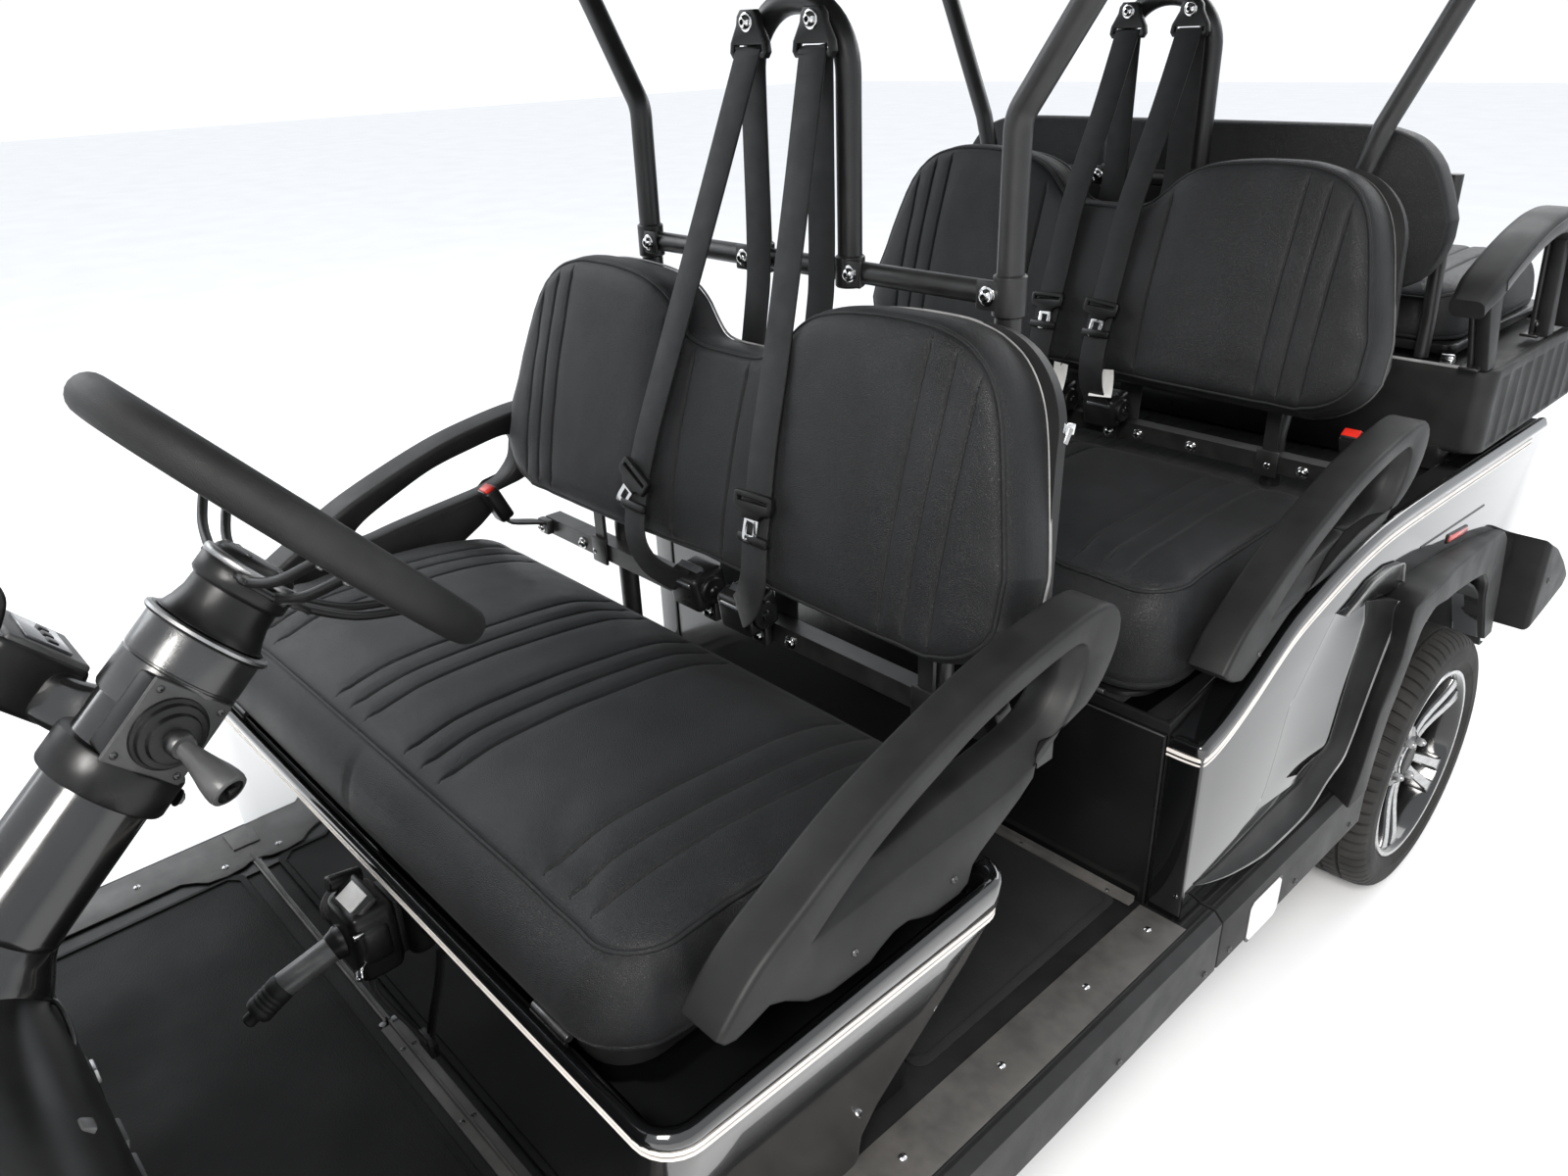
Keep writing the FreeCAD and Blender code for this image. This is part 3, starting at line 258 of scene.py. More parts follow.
material("satin_collar", grey(0.012, 0.017, 0.022), (0.16, 0.26), spec=0.6, coat=0.5, coat_rough=0.15, scale=40,
         bumps=(("noise", 1500, 0.0002, 0.5),))
material("column_gloss", grey(0.005, 0.007, 0.010), (0.14, 0.26), spec=0.55, coat=0.5, coat_rough=0.08, scale=12,
         bumps=(("noise", 900, 0.0001, 0.25), ("noise", 14, 0.002, 0.12)))
material("grey_dark", grey(0.035, 0.047, 0.058), (0.36, 0.5), spec=0.5, scale=40, bumps=(("noise", 1400, 0.0002, 0.5),))
material("grey_knob", grey(0.055, 0.072, 0.088), (0.28, 0.4), spec=0.5, scale=40, bumps=(("noise", 1800, 0.0001, 0.4),))
material("gloss_panel", grey(0.004, 0.005, 0.0065), (0.16, 0.30), spec=0.5, coat=0.35, coat_rough=0.12, scale=8,
         bumps=(("noise", 1000, 0.0002, 0.4),), bevel=0.0015)
material("grey_strip", grey(0.050, 0.066, 0.082, tint=WARM), (0.40, 0.58), spec=0.5, scale=26, bumps=(("noise", 900, 0.0002, 0.5),), bevel=0.001)

# CAD nodes that keep their own shape: node -> material
CAD_MATS = {
    "chassis_frame": "chassis_paint", "rockers": "matte_black", "floor_pan": "mat_rubber", "front_seat_box": "gloss_black",
    "battery_block": "battery_case", "middle_seat_box": "gloss_black", "body_sides": "gloss_black",
    "rear_flares": "matte_black", "rear_deck": "mat_rubber", "tail_lights": "lens_red", "rear_bumper": "matte_black",
    "rear_footplate": "rubber", "rear_seat_base": "satin_black", "flip_seat_pan": "satin_black",
    "rear_back_frame": "powder", "rear_hip_restraints": "powder", "front_seat_pan": "satin_black",
    "middle_seat_pan": "satin_black", "seat_back_shells": "shell_black", "front_back_frame": "powder",
    "middle_back_frame": "powder", "front_armrests": "matte_black", "middle_armrests": "matte_black",
    "belt_fittings": "satin_black", "steering_wheel": "grip", "steering_column": "powder", "dashboard": "matte_black",
    "pedals": "rubber", "drive_selector": "satin_black", "front_cowl": "gloss_black", "front_fenders": "matte_black",
    "headlights": "lens_clear", "front_bumper": "matte_black", "windscreen_frame": "powder", "windscreen": "pane",
    "roof": "shell_black", "front_axle": "iron", "front_left_knuckle": "iron", "front_right_knuckle": "iron",
    "tie_rod": "dark_metal", "drive_motor": "iron", "rear_axle": "iron",
}
for side in ("front_left", "front_right", "rear_left", "rear_right"):
    CAD_MATS[side + "_tyre"] = "tyre_rubber"
    CAD_MATS[side + "_rim"] = "rim_black"
for n, o in NODES.items():
    name = CAD_MATS.get(n, "matte_black")
    if not o.data.materials:
        o.data.materials.append(MATS[name])
    for i in range(len(o.data.materials)):
        o.data.materials[i] = MATS[name]


# ---------------------------------------------------------------- mesh helpers
class Build:
    """Collects faces with materials into one mesh piece. Points are in the seat frame, in metres."""

    def __init__(self, name):
        self.name, self.v, self.f, self.m, self.mats = name, [], [], [], []

    def mi(self, mat):
        if mat not in self.mats:
            self.mats.append(mat)
        return self.mats.index(mat)

    def add(self, verts, faces, mat, xf=None):
        n, k = len(self.v), self.mi(mat)
        for p in verts:
            p = Vector(p)
            self.v.append(xf @ p if xf is not None else p)
        for f in faces:
            self.f.append([n + i for i in f])
            self.m.append(k)
        return range(n, len(self.v))

    def done(self, body="root", slot=None, replaces=(), sharp=38.0, recalc=True):
        me = bpy.data.meshes.new(self.name)
        me.from_pydata([(p[0], p[1] + DY, p[2]) for p in self.v], [], self.f)
        for m in self.mats:
            me.materials.append(MATS[m])
        me.polygons.foreach_set("material_index", self.m)
        if recalc:
            bm = bmesh.new()
            bm.from_mesh(me)
            bmesh.ops.recalc_face_normals(bm, faces=bm.faces)
            bm.to_mesh(me)
            bm.free()
        me.polygons.foreach_set("use_smooth", [True] * len(me.polygons))
        me.set_sharp_from_angle(angle=math.radians(sharp))
        me.update()
        ob = bpy.data.objects.new(self.name, me)
        bpy.context.scene.collection.objects.link(ob)
        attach(ob, body)
        if replaces:
            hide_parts(*replaces)
        return ob


def basis(n, hint=(0, 0, 1)):
    """Rotation whose z is n and whose x is as near to hint as it can be."""
    n = Vector(n).normalized()
    h = Vector(hint)
    if abs(h.normalized().dot(n)) > 0.98:
        h = Vector((1, 0, 0)) if abs(n.x) < 0.9 else Vector((0, 1, 0))
    x = (h - n * h.dot(n)).normalized()
    y = n.cross(x)
    return Matrix(((x.x, y.x, n.x), (x.y, y.y, n.y), (x.z, y.z, n.z)))


def frame_at(p, n=(0, 0, 1), hint=(0, 0, 1)):
    return Matrix.Translation(Vector(p)) @ basis(n, hint).to_4x4()


BOXES = {}


def box(b, c, s, r, mat, xf=None, seg=2):
    """Rounded box: centre, size, edge radius."""
    r = min(r, 0.49 * min(s))
    key = (tuple(round(x, 5) for x in s), round(r, 5), seg)
    if key not in BOXES:
        bm = bmesh.new()
        bmesh.ops.create_cube(bm, size=1.0)
        bmesh.ops.scale(bm, vec=Vector(s), verts=bm.verts)
        if r > 0:
            bmesh.ops.bevel(bm, geom=list(bm.edges), offset=r, segments=seg, profile=0.5, affect="EDGES")
        bm.verts.index_update()
        BOXES[key] = ([v.co.copy() for v in bm.verts], [[v.index for v in f.verts] for f in bm.faces])
        bm.free()
    vs, fs = BOXES[key]
    c = Vector(c)
    if xf is None:
        b.add([v + c for v in vs], fs, mat)
    else:
        b.add(vs, fs, mat, Matrix.Translation(c) @ xf.to_4x4())


def lathe(b, profile, xf, mat, seg=32, mats=None, cap=True, arc=None):
    """profile: (radius, height) pairs; turned about the local z axis."""
    vs, fs, n = [], [], len(profile)
    for r, h in profile:
        for k in range(seg):
            a = 2 * pi * k / seg
            vs.append((r * math.cos(a), r * math.sin(a), h))
    base = b.add(vs, [], mat, xf)[0]
    for i in range(n - 1):
        mm = b.mi(mats[i] if mats and mats[i] else mat)
        for k in range(seg):
            k2 = (k + 1) % seg
            b.f.append([base + i * seg + k, base + i * seg + k2, base + (i + 1) * seg + k2, base + (i + 1) * seg + k])
            b.m.append(mm)
    if cap:
        b.f.append([base + k for k in range(seg)][::-1])
        b.m.append(b.mi(mat))
        b.f.append([base + (n - 1) * seg + k for k in range(seg)])
        b.m.append(b.mi(mats[-1] if mats and mats[-1] else mat))


def smooth_path(pts, n=8, closed=False):
    """Catmull-Rom through the points."""
    pts = [np.array(p, float) for p in pts]
    m = len(pts)
    out = []
    spans = m if closed else m - 1
    for i in range(spans):
        p0 = pts[(i - 1) % m] if closed or i > 0 else 2 * pts[0] - pts[1]
        p1, p2 = pts[i], pts[(i + 1) % m]
        p3 = pts[(i + 2) % m] if closed or i + 2 < m else 2 * pts[-1] - pts[-2]
        for k in range(n):
            t = k / n
            out.append(0.5 * ((2 * p1) + (-p0 + p2) * t + (2 * p0 - 5 * p1 + 4 * p2 - p3) * t * t
                              + (-p0 + 3 * p1 - 3 * p2 + p3) * t ** 3))
    if not closed:
        out.append(pts[-1])
    return out


def frames(pts, closed=False, up=None):
    """Tangent, side and normal along a path; the side starts near up and is carried along."""
    pts = [Vector(p) for p in pts]
    n = len(pts)
    ts = []
    for i in range(n):
        a = pts[(i - 1) % n] if closed or i > 0 else pts[0]
        c = pts[(i + 1) % n] if closed or i < n - 1 else pts[-1]
        ts.append((c - a).normalized())
    u = Vector(up) if up is not None else Vector((0, 0, 1))
    if abs(u.normalized().dot(ts[0])) > 0.97:
        u = Vector((1, 0, 0)) if abs(ts[0].x) < 0.9 else Vector((0, 1, 0))
    out = []
    for t in ts:
        u = (u - t * u.dot(t)).normalized()
        out.append((t, u, t.cross(u)))
    return pts, out


def sweep(b, pts, section, mat, closed=False, up=None, caps=True, scales=None):
    """Sweeps a closed section of (u, v) along a path; u goes with the carried up direction."""
    pts, fr = frames(pts, closed, up)
    n, m = len(pts), len(section)
    vs = []
    for i, (p, (t, u, w)) in enumerate(zip(pts, fr)):
        k = scales[i] if scales is not None else 1.0
        for a, c in section:
            vs.append(p + u * (a * k) + w * (c * k))
    fs = []
    for i in range(n if closed else n - 1):
        j = (i + 1) % n
        for k in range(m):
            k2 = (k + 1) % m
            fs.append([i * m + k, i * m + k2, j * m + k2, j * m + k])
    if caps and not closed:
        fs.append(list(range(m))[::-1])
        fs.append([(n - 1) * m + k for k in range(m)])
    b.add(vs, fs, mat)


def circle(r, seg=12):
    return [(r * math.cos(2 * pi * k / seg), r * math.sin(2 * pi * k / seg)) for k in range(seg)]


def rrect(w, h, r, seg=3):
    """Rounded rectangle section, centred."""
    r = min(r, 0.499 * min(w, h))
    out = []
    for cx, cy, a0 in ((w / 2 - r, h / 2 - r, 0), (-w / 2 + r, h / 2 - r, pi / 2), (-w / 2 + r, -h / 2 + r, pi),
                       (w / 2 - r, -h / 2 + r, 1.5 * pi)):
        for k in range(seg + 1):
            a = a0 + pi / 2 * k / seg
            out.append((cx + r * math.cos(a), cy + r * math.sin(a)))
    return out


def tube(b, pts, r, mat, seg=12, closed=False, up=None, scales=None, caps=True):
    sweep(b, pts, circle(r, seg), mat, closed, up, caps, scales)


def inset(poly, d):
    """Moves each vertex of a closed 2D polygon inwards by d (counter-clockwise polygons)."""
    n = len(poly)
    p = [np.array(q[:2], float) for q in poly]
    out = []
    for i in range(n):
        e1 = p[i] - p[i - 1]
        e2 = p[(i + 1) % n] - p[i]
        e1 /= max(1e-9, np.linalg.norm(e1))
        e2 /= max(1e-9, np.linalg.norm(e2))
        n1, n2 = np.array((-e1[1], e1[0])), np.array((-e2[1], e2[0]))
        m = n1 + n2
        k = m @ m
        m = m * (2 * d / k) if k > 0.3 else n1 * d
        out.append(p[i] + m)
    return out


def area2(poly):
    return sum(poly[i - 1][0] * poly[i][1] - poly[i][0] * poly[i - 1][1] for i in range(len(poly))) / 2


def slab(b, outline, lo, hi, r, place, mat, holes=(), seg=2, rims=None, face_mat=None):
    """Extrudes an outline (2D points) from lo to hi with rounded rims; place maps (u, v, w) to a point. holes are cut through."""
    outline = [tuple(q[:2]) for q in outline]
    if area2(outline) < 0:
        outline = outline[::-1]
    loops = [outline] + [[tuple(q[:2]) for q in (h if area2(h) < 0 else h[::-1])] for h in holes]
    # from the lower cap outwards to the upper cap
    rings = [(lo + r * (1 - math.cos(pi / 2 * k / seg)), r * (1 - math.sin(pi / 2 * k / seg))) for k in range(seg + 1)]
    rings += [(hi - r * (1 - math.cos(pi / 2 * k / seg)), r * (1 - math.sin(pi / 2 * k / seg))) for k in range(seg, -1, -1)]
    caps = ([], [])
    for loop in loops:
        m = len(loop)
        vs = []
        for w, d in rings:
            for q in inset(loop, d):
                vs.append(place(q[0], q[1], w))
        base = b.add(vs, [], mat)[0]
        k0 = b.mi(mat)
        for i in range(len(rings) - 1):
            for k in range(m):
                k2 = (k + 1) % m
                b.f.append([base + i * m + k, base + i * m + k2, base + (i + 1) * m + k2, base + (i + 1) * m + k])
                b.m.append(k0)
        caps[0].append([base + k for k in range(m)])
        caps[1].append([base + (len(rings) - 1) * m + k for k in range(m)])
    kf = b.mi(face_mat or mat)
    for c in caps:
        if len(c) == 1:
            b.f.append(c[0])
            b.m.append(kf)
        else:
            bm = bmesh.new()
            ids = {}
            for loop in c:
                vv = [bm.verts.new(b.v[i]) for i in loop]
                for q, i in zip(vv, loop):
                    ids[q] = i
                for k in range(len(vv)):
                    bm.edges.new((vv[k], vv[(k + 1) % len(vv)]))
            bmesh.ops.triangle_fill(bm, use_beauty=True, use_dissolve=False, edges=list(bm.edges))
            for f in bm.faces:
                b.f.append([ids[q] for q in f.verts])
                b.m.append(kf)
            bm.free()


def dome_bolt(b, p, n, r=0.008, mat="chrome", washer=True):
    """Dome-headed bolt with a washer and a hexagon socket, standing on the surface at p."""
    xf = frame_at(p, n)
    prof = []
    if washer:
        prof += [(r * 1.35, 0.0), (r * 1.35, r * 0.16), (r * 1.3, r * 0.2)]
    prof += [(r, r * 0.22), (r, r * 0.42), (r * 0.92, r * 0.68), (r * 0.72, r * 0.88), (r * 0.42, r * 0.98), (r * 0.40, r * 0.98),
             (r * 0.38, r * 0.6)]
    lathe(b, prof, xf, mat, seg=18, mats=[None] * (len(prof) - 2) + ["satin_black", "satin_black"])


def hex_bolt(b, p, n, r=0.008, mat="satin_metal"):
    xf = frame_at(p, n)
    lathe(b, [(r * 1.5, 0.0), (r * 1.5, r * 0.2), (r * 1.05, r * 0.22)], xf, mat, seg=18)
    lathe(b, [(r * 1.05, r * 0.2), (r * 1.05, r * 0.8), (r * 0.8, r * 0.95)], xf, mat, seg=6)


def screw(b, p, n, r=0.005, mat="satin_metal"):
    xf = frame_at(p, n)
    lathe(b, [(r, 0.0), (r, r * 0.18), (r * 0.72, r * 0.48), (r * 0.3, r * 0.56), (r * 0.26, r * 0.2)], xf, mat, seg=14,
          mats=[None, None, None, "satin_black", "satin_black"])


def smoothstep(t):
    t = np.clip(t, 0, 1)
    return t * t * (3 - 2 * t)


# ---------------------------------------------------------------- camera, light and floor
def stage():
    scene = bpy.context.scene
    cam = bpy.data.cameras.new("camera")
    co = bpy.data.objects.new("camera", cam)
    scene.collection.objects.link(co)
    a, e, r = (math.radians(x) for x in (47.863, 25.826, -2.156))
    F = Vector((-math.sin(a) * math.cos(e), math.cos(a) * math.cos(e), -math.sin(e)))
    right = Vector((math.cos(a), math.sin(a), 0))
    up = right.cross(F)
    R = math.cos(r) * right + math.sin(r) * up
    U = -math.sin(r) * right + math.cos(r) * up
    Z = -F
    m = Matrix(((R.x, U.x, Z.x, 1.140), (R.y, U.y, Z.y, -1.016), (R.z, U.z, Z.z, 1.539), (0, 0, 0, 1)))
    co.matrix_world = m
    cam.sensor_fit = "HORIZONTAL"
    cam.sensor_width = 36.0
    cam.lens = 36.0 * 1167.395 / 1600
    cam.clip_start, cam.clip_end = 0.02, 200
    cam.dof.use_dof = False
    scene.camera = co

    me = bpy.data.meshes.new("floor")
    s = 30.0
    me.from_pydata([(-s, -s, 0), (s, -s, 0), (s, s, 0), (-s, s, 0)], [], [(0, 1, 2, 3)])
    me.materials.append(MATS["floor_pale"])
    fo = bpy.data.objects.new("floor", me)
    scene.collection.objects.link(fo)

    w = bpy.data.worlds.new("studio")
    scene.world = w
    w.use_nodes = True
    bg = w.node_tree.nodes["Background"]
    bg.inputs[0].default_value = (0.93, 0.96, 1.0, 1)
    bg.inputs[1].default_value = 1.10

    def area(name, at, to, size, watts, colour=(1, 1, 1)):
        li = bpy.data.lights.new(name, "AREA")
        li.shape = "RECTANGLE"
        li.size, li.size_y = size
        li.energy = watts
        li.color = colour
        lo = bpy.data.objects.new(name, li)
        scene.collection.objects.link(lo)
        lo.location = at
        lo.rotation_mode = "QUATERNION"
        lo.rotation_quaternion = (Vector(to) - Vector(at)).to_track_quat("-Z", "Y")

    area("key", (2.6, -4.2, 4.6), (0.0, -0.3, 0.7), (1.8, 1.8), 460, (1.0, 0.975, 0.94))
    area("fill", (-4.5, -1.5, 3.4), (0, 0.2, 0.8), (3.5, 2.5), 90, (0.95, 0.98, 1.0))
    area("back", (0.5, 5.0, 3.6), (0, 0.6, 0.9), (4.0, 2.0), 90)
    scene.view_settings.view_transform = "Standard"
    scene.view_settings.look = "None"


stage()


# ---------------------------------------------------------------- upholstery
def curve(points):
    """A smooth function of x through (x, value) points, even in x when all x are >= 0."""
    pts = sorted(points)
    px = np.array([p[0] for p in pts], float)
    py = np.array([p[1] for p in pts], float)
    dense = smooth_path([(a, b, 0) for a, b in zip(px, py)], 10)
    dx = np.array([p[0] for p in dense])
    dy = np.array([p[1] for p in dense])
    dx = np.maximum.accumulate(dx + np.arange(len(dx)) * 1e-9)
    return lambda x: np.interp(x, dx, dy)


def stations(a, b, step, lines=(), ends=0.0):
    """Positions from a to b, closer together around each line and near both ends."""
    xs = list(np.linspace(a, b, int(round((b - a) / step)) + 1))
    for d in (0.35, 0.7, 1.0, 1.35, 1.7, 2.1, 2.6):
        if ends:
            xs += [a + ends * d, b - ends * d]
    for l in lines:
        xs = [x for x in xs if abs(x - l) > 0.0088]
        xs += [l + d for d in (-0.0085, -0.0062, -0.0045, -0.0031, -0.002, -0.001, 0, 0.001, 0.002, 0.0031, 0.0045, 0.0062, 0.0085)]
    xs = sorted(xs)
    out = [xs[0]]
    for x in xs[1:]:
        if x - out[-1] > 0.0007:
            out.append(x)
    return np.array(out)


def inflate(name, verts, faces, fixed, cap, target, voxel=0.014):
    """Blows a copy up as cloth under pressure and returns each vertex's move, at most cap, scaled so that the largest is target."""
    me = bpy.data.meshes.new(name + "_a")
    me.from_pydata([tuple(v) for v in verts], [], faces)
    a = bpy.data.objects.new(name + "_a", me)
    bpy.context.scene.collection.objects.link(a)
    mod = a.modifiers.new("voxels", "REMESH")
    mod.mode = "VOXEL"
    mod.voxel_size = voxel
    dg = bpy.context.evaluated_depsgraph_get()
    me2 = bpy.data.meshes.new_from_object(a.evaluated_get(dg))
    c = bpy.data.objects.new(name + "_b", me2)
    bpy.context.scene.collection.objects.link(c)
    rest = np.zeros(len(me2.vertices) * 3)
    me2.vertices.foreach_get("co", rest)
    rest = rest.reshape(-1, 3)
    pin = c.vertex_groups.new(name="pin")
    held = [int(i) for i in np.nonzero(fixed(rest))[0]]
    pin.add(held, 1.0, "REPLACE")
    cl = c.modifiers.new("cloth", "CLOTH")
    st = cl.settings
    st.quality = 5
    st.mass = 0.4
    st.tension_stiffness = st.compression_stiffness = 18
    st.shear_stiffness = 8
    st.bending_stiffness = 0.6
    st.use_pressure = True
    st.uniform_pressure_force = 4.0
    st.vertex_group_mass = "pin"
    st.effector_weights.gravity = 0.0
    cl.collision_settings.use_self_collision = False
    cl.point_cache.frame_start, cl.point_cache.frame_end = 1, 20
    scene = bpy.context.scene
    for f in range(1, 21):
        scene.frame_set(f)
    dg = bpy.context.evaluated_depsgraph_get()
    ev = c.evaluated_get(dg)
    now = np.zeros(len(ev.data.vertices) * 3)
    ev.data.vertices.foreach_get("co", now)
    move = now.reshape(-1, 3) - rest
    size = np.linalg.norm(move, axis=1)
    size[size < 1e-9] = 1e-9
    move *= (np.minimum(size, cap) / size)[:, None]
    top = np.percentile(np.linalg.norm(move, axis=1), 99)
    if top > 1e-6:
        move *= target / top
    scene.frame_set(1)
    tree = KDTree(len(rest))
    for i, p in enumerate(rest):
        tree.insert(p, i)
    tree.balance()
    out = np.zeros((len(verts), 3))
    for k, p in enumerate(verts):
        near = tree.find_n(p, 6)
        w = np.array([1.0 / (d + 0.004) ** 2 for _, _, d in near])
        out[k] = (move[[i for _, i, _ in near]] * w[:, None]).sum(0) / w.sum()
    for o in (a, c):
        bpy.data.objects.remove(o)
    return out


def pad(name, body, node, xs, ts, lo, hi, height, side, wall, lines, to_world, drop=0.010, reach=0.03, puff=0.0026,
        groove=0.0030, cap=0.026, target=0.008, welt=0.0028, fill=0.75, fade=None, slot="seat_vinyl", wrinkle=0.0009,
        seams=(), depth_end=None, panel=None):
    """A stuffed pad. Local x and t lie in its face and h stands out from it. lo(x), hi(x): the seam outline;
    height(x, t): the face before its edge rolls over; side(nx, nt): how far the wall bulges out there;
    wall: (share of the depth, share of the bulge); depth_end(t): local h of its flat underside."""
    nx, nt = len(xs), len(ts)
    X = np.repeat(xs[:, None], nt, 1)
    L, H = lo(np.abs(xs))[:, None], hi(np.abs(xs))[:, None]
    T = L + (H - L) * ts[None, :]
    loop = [(i, 0) for i in range(nx)] + [(nx - 1, j) for j in range(1, nt)] + [(i, nt - 1) for i in range(nx - 2, -1, -1)] \
        + [(0, j) for j in range(nt - 2, 0, -1)]
    lp = np.array([(X[i, j], T[i, j]) for i, j in loop])
    m = len(lp)
    # distance to the outline
    seg_a, seg_b = lp, np.roll(lp, -1, 0)
    d = seg_b - seg_a
    dd = (d ** 2).sum(1) + 1e-12
    flat = np.stack([X.ravel(), T.ravel()], 1)
    dist = np.full(len(flat), 9.0)
    for k in range(0, m):
        u = np.clip(((flat - seg_a[k]) @ d[k]) / dd[k], 0, 1)
        dist = np.minimum(dist, np.linalg.norm(flat - (seg_a[k] + u[:, None] * d[k]), axis=1))
    dist = dist.reshape(nx, nt)
    # the outline's normals, smoothed
    tan = np.roll(lp, -2, 0) - np.roll(lp, 2, 0)
    tan /= np.linalg.norm(tan, axis=1)[:, None] + 1e-12
    nrm = np.stack([tan[:, 1], -tan[:, 0]], 1)
    for _ in range(4):
        nrm = (np.roll(nrm, 1, 0) + nrm * 2 + np.roll(nrm, -1, 0)) / 4
        nrm /= np.linalg.norm(nrm, axis=1)[:, None] + 1e-12
    roll = 1 - np.clip(dist / reach, 0, 1)
    Hh = height(X, T) - drop * (1 - np.sqrt(np.clip(1 - roll ** 2, 0, 1)))
    pts = np.stack([X, T, Hh], 2).reshape(-1, 3)
    faces = []
    for i in range(nx - 1):
        for j in range(nt - 1):
            faces.append([i * nt + j, (i + 1) * nt + j, (i + 1) * nt + j + 1, i * nt + j + 1])
    top_faces = len(faces)
    ids = [i * nt + j for i, j in loop]
    seam_h = np.array([Hh[i, j] for i, j in loop])
    bulge = np.array([side(a, c) for a, c in nrm])
    end_h = np.array([depth_end(x, t) for x, t in lp])
    rings, allp = [ids], [pts]
    count = len(pts)
    for s, o in wall:
        ring = np.stack([lp[:, 0] + nrm[:, 0] * bulge * o, lp[:, 1] + nrm[:, 1] * bulge * o, seam_h + (end_h - seam_h) * s], 1)
        for x0, dep in seams:   # upright joins in the wall
            k = np.exp(-((lp[:, 0] - x0) / 0.0028) ** 2) * (nrm[:, 1] < -0.5) * math.sin(pi * min(1, s * 0.92 + 0.08)) ** 0.5
            ring[:, :2] -= nrm * (dep * k)[:, None]
        allp.append(ring)
        new = list(range(count, count + m))
        count += m
        prev = rings[-1]
        for k in range(m):
            k2 = (k + 1) % m
            faces.append([prev[k2], prev[k], new[k], new[k2]])
        rings.append(new)
    wall_faces = len(faces)
    faces.append(rings[-1])
    P = np.concatenate(allp)
    W = np.array([to_world(*p) for p in P])
    base_level = np.array([depth_end(x, t) for x, t in P[:, :2]])
    wl = P[:, 2] - base_level
    tree_pts = P
    local_faces = [f for f in faces]

    def fixed(rest):
        return (rest[:, 2] - np.array([depth_end(x, t) for x, t in rest[:, :2]])) < 0.012
    mv = inflate(name, P, local_faces, fixed, cap, target)
    mask = smoothstep((P[:, 2] - base_level - 0.004) / 0.03)
    P = P + mv * mask[:, None]
    # face: grooves, the swell between them, and slight unevenness
    n = nx * nt
    xf, tf = P[:n, 0], T.ravel()
    x_rest = X.ravel()
    near = np.full(n, 9.0)
    g = np.zeros(n)
    df = dist.ravel()
    for l in lines:
        x0, t0, t1 = l[:3]
        k = l[3] if len(l) > 3 else 1.0
        along = smoothstep((tf - t0) / 0.03) * smoothstep((t1 - tf) / 0.03)
        along = along * (0.25 + 0.75 * smoothstep((df - 0.004) / 0.02))
        a = np.abs(x_rest - x0)
        g += along * k * groove * np.exp(-(a / 0.0021) ** 2)
        near = np.minimum(near, a + (1 - along) * 0.05)
    swell = puff * (1 - np.exp(-(near / 0.011) ** 2)) - puff
    from mathutils import noise as mn
    soft = np.array([mn.noise(Vector((a * 13, c * 9, 3.1 + hash_name(name)))) * 0.7
                     + mn.noise(Vector((a * 34, c * 26, 7.7 + hash_name(name)))) * 0.3 for a, c in flat])
    lift = (swell - g + soft * wrinkle * 2 * smoothstep(df / 0.03))
    if panel is not None:
        lift = lift + panel(x_rest, tf) * smoothstep(df / 0.02)
    P[:n, 2] += lift
    W = np.array([to_world(*p) for p in P])
    b = Build(name)
    b.add(W, faces[:top_faces], "vinyl")
    k0 = 0
    sm = b.mi("vinyl_side")
    for f in faces[top_faces:]:
        b.f.append(list(f))
        b.m.append(sm)
    # welt along the seam
    if welt:
        path, last = [], None
        for k in range(m):
            w = W[ids[k]]
            out = np.array(to_world(P[ids[k]][0] + nrm[k][0], P[ids[k]][1] + nrm[k][1], P[ids[k]][2])) - np.array(to_world(*P[ids[k]]))
            q = w + out * welt * 0.35
            if last is None or np.linalg.norm(q - last) > 0.0052:
                path.append(q)
                last = q
        if np.linalg.norm(path[0] - path[-1]) < 0.003:
            path.pop()
        tube(b, path, welt, "vinyl_side", seg=8, closed=True)
        if welt > 0.002:
            pass
    # thread in the grooves
    pitch, half = 0.0066, 0.0021
    for l in lines:
        x0, t0, t1 = l[:3]
        i = int(np.argmin(np.abs(xs - x0)))
        col = [(W[i * nt + j], dist[i, j]) for j in range(nt) if t0 + 0.004 < T[i, j] < t1 - 0.004 and dist[i, j] > 0.004]
        if len(col) < 3:
            continue
        cp = np.array([c[0] for c in col])
        run = np.concatenate([[0], np.cumsum(np.linalg.norm(np.diff(cp, axis=0), axis=1))])
        nz = np.array(to_world(x0, 0.3, 1)) - np.array(to_world(x0, 0.3, 0))
        for s in np.arange(0.004, run[-1] - 0.004, pitch):
            a = np.array([np.interp(s - half, run, cp[:, q]) for q in range(3)])
            c = np.array([np.interp(s + half, run, cp[:, q]) for q in range(3)])
            mid = (a + c) / 2 + nz * 0.0011
            sx = np.array((1.0, 0, 0)) * 0.00055
            b.add([a - nz * 0.0002, mid + sx, mid - sx, mid + nz * 0.0002 * 0, c - nz * 0.0002, (a + c) / 2 - nz * 0.0008],
                  [[0, 1, 2], [4, 2, 1], [0, 5, 1], [0, 2, 5], [4, 1, 5], [4, 5, 2]], "thread")
    ob = b.done(body, slot, (node,), sharp=60)
    return ob


def hash_name(s):
    return sum(ord(c) * (i + 1) for i, c in enumerate(s)) % 97


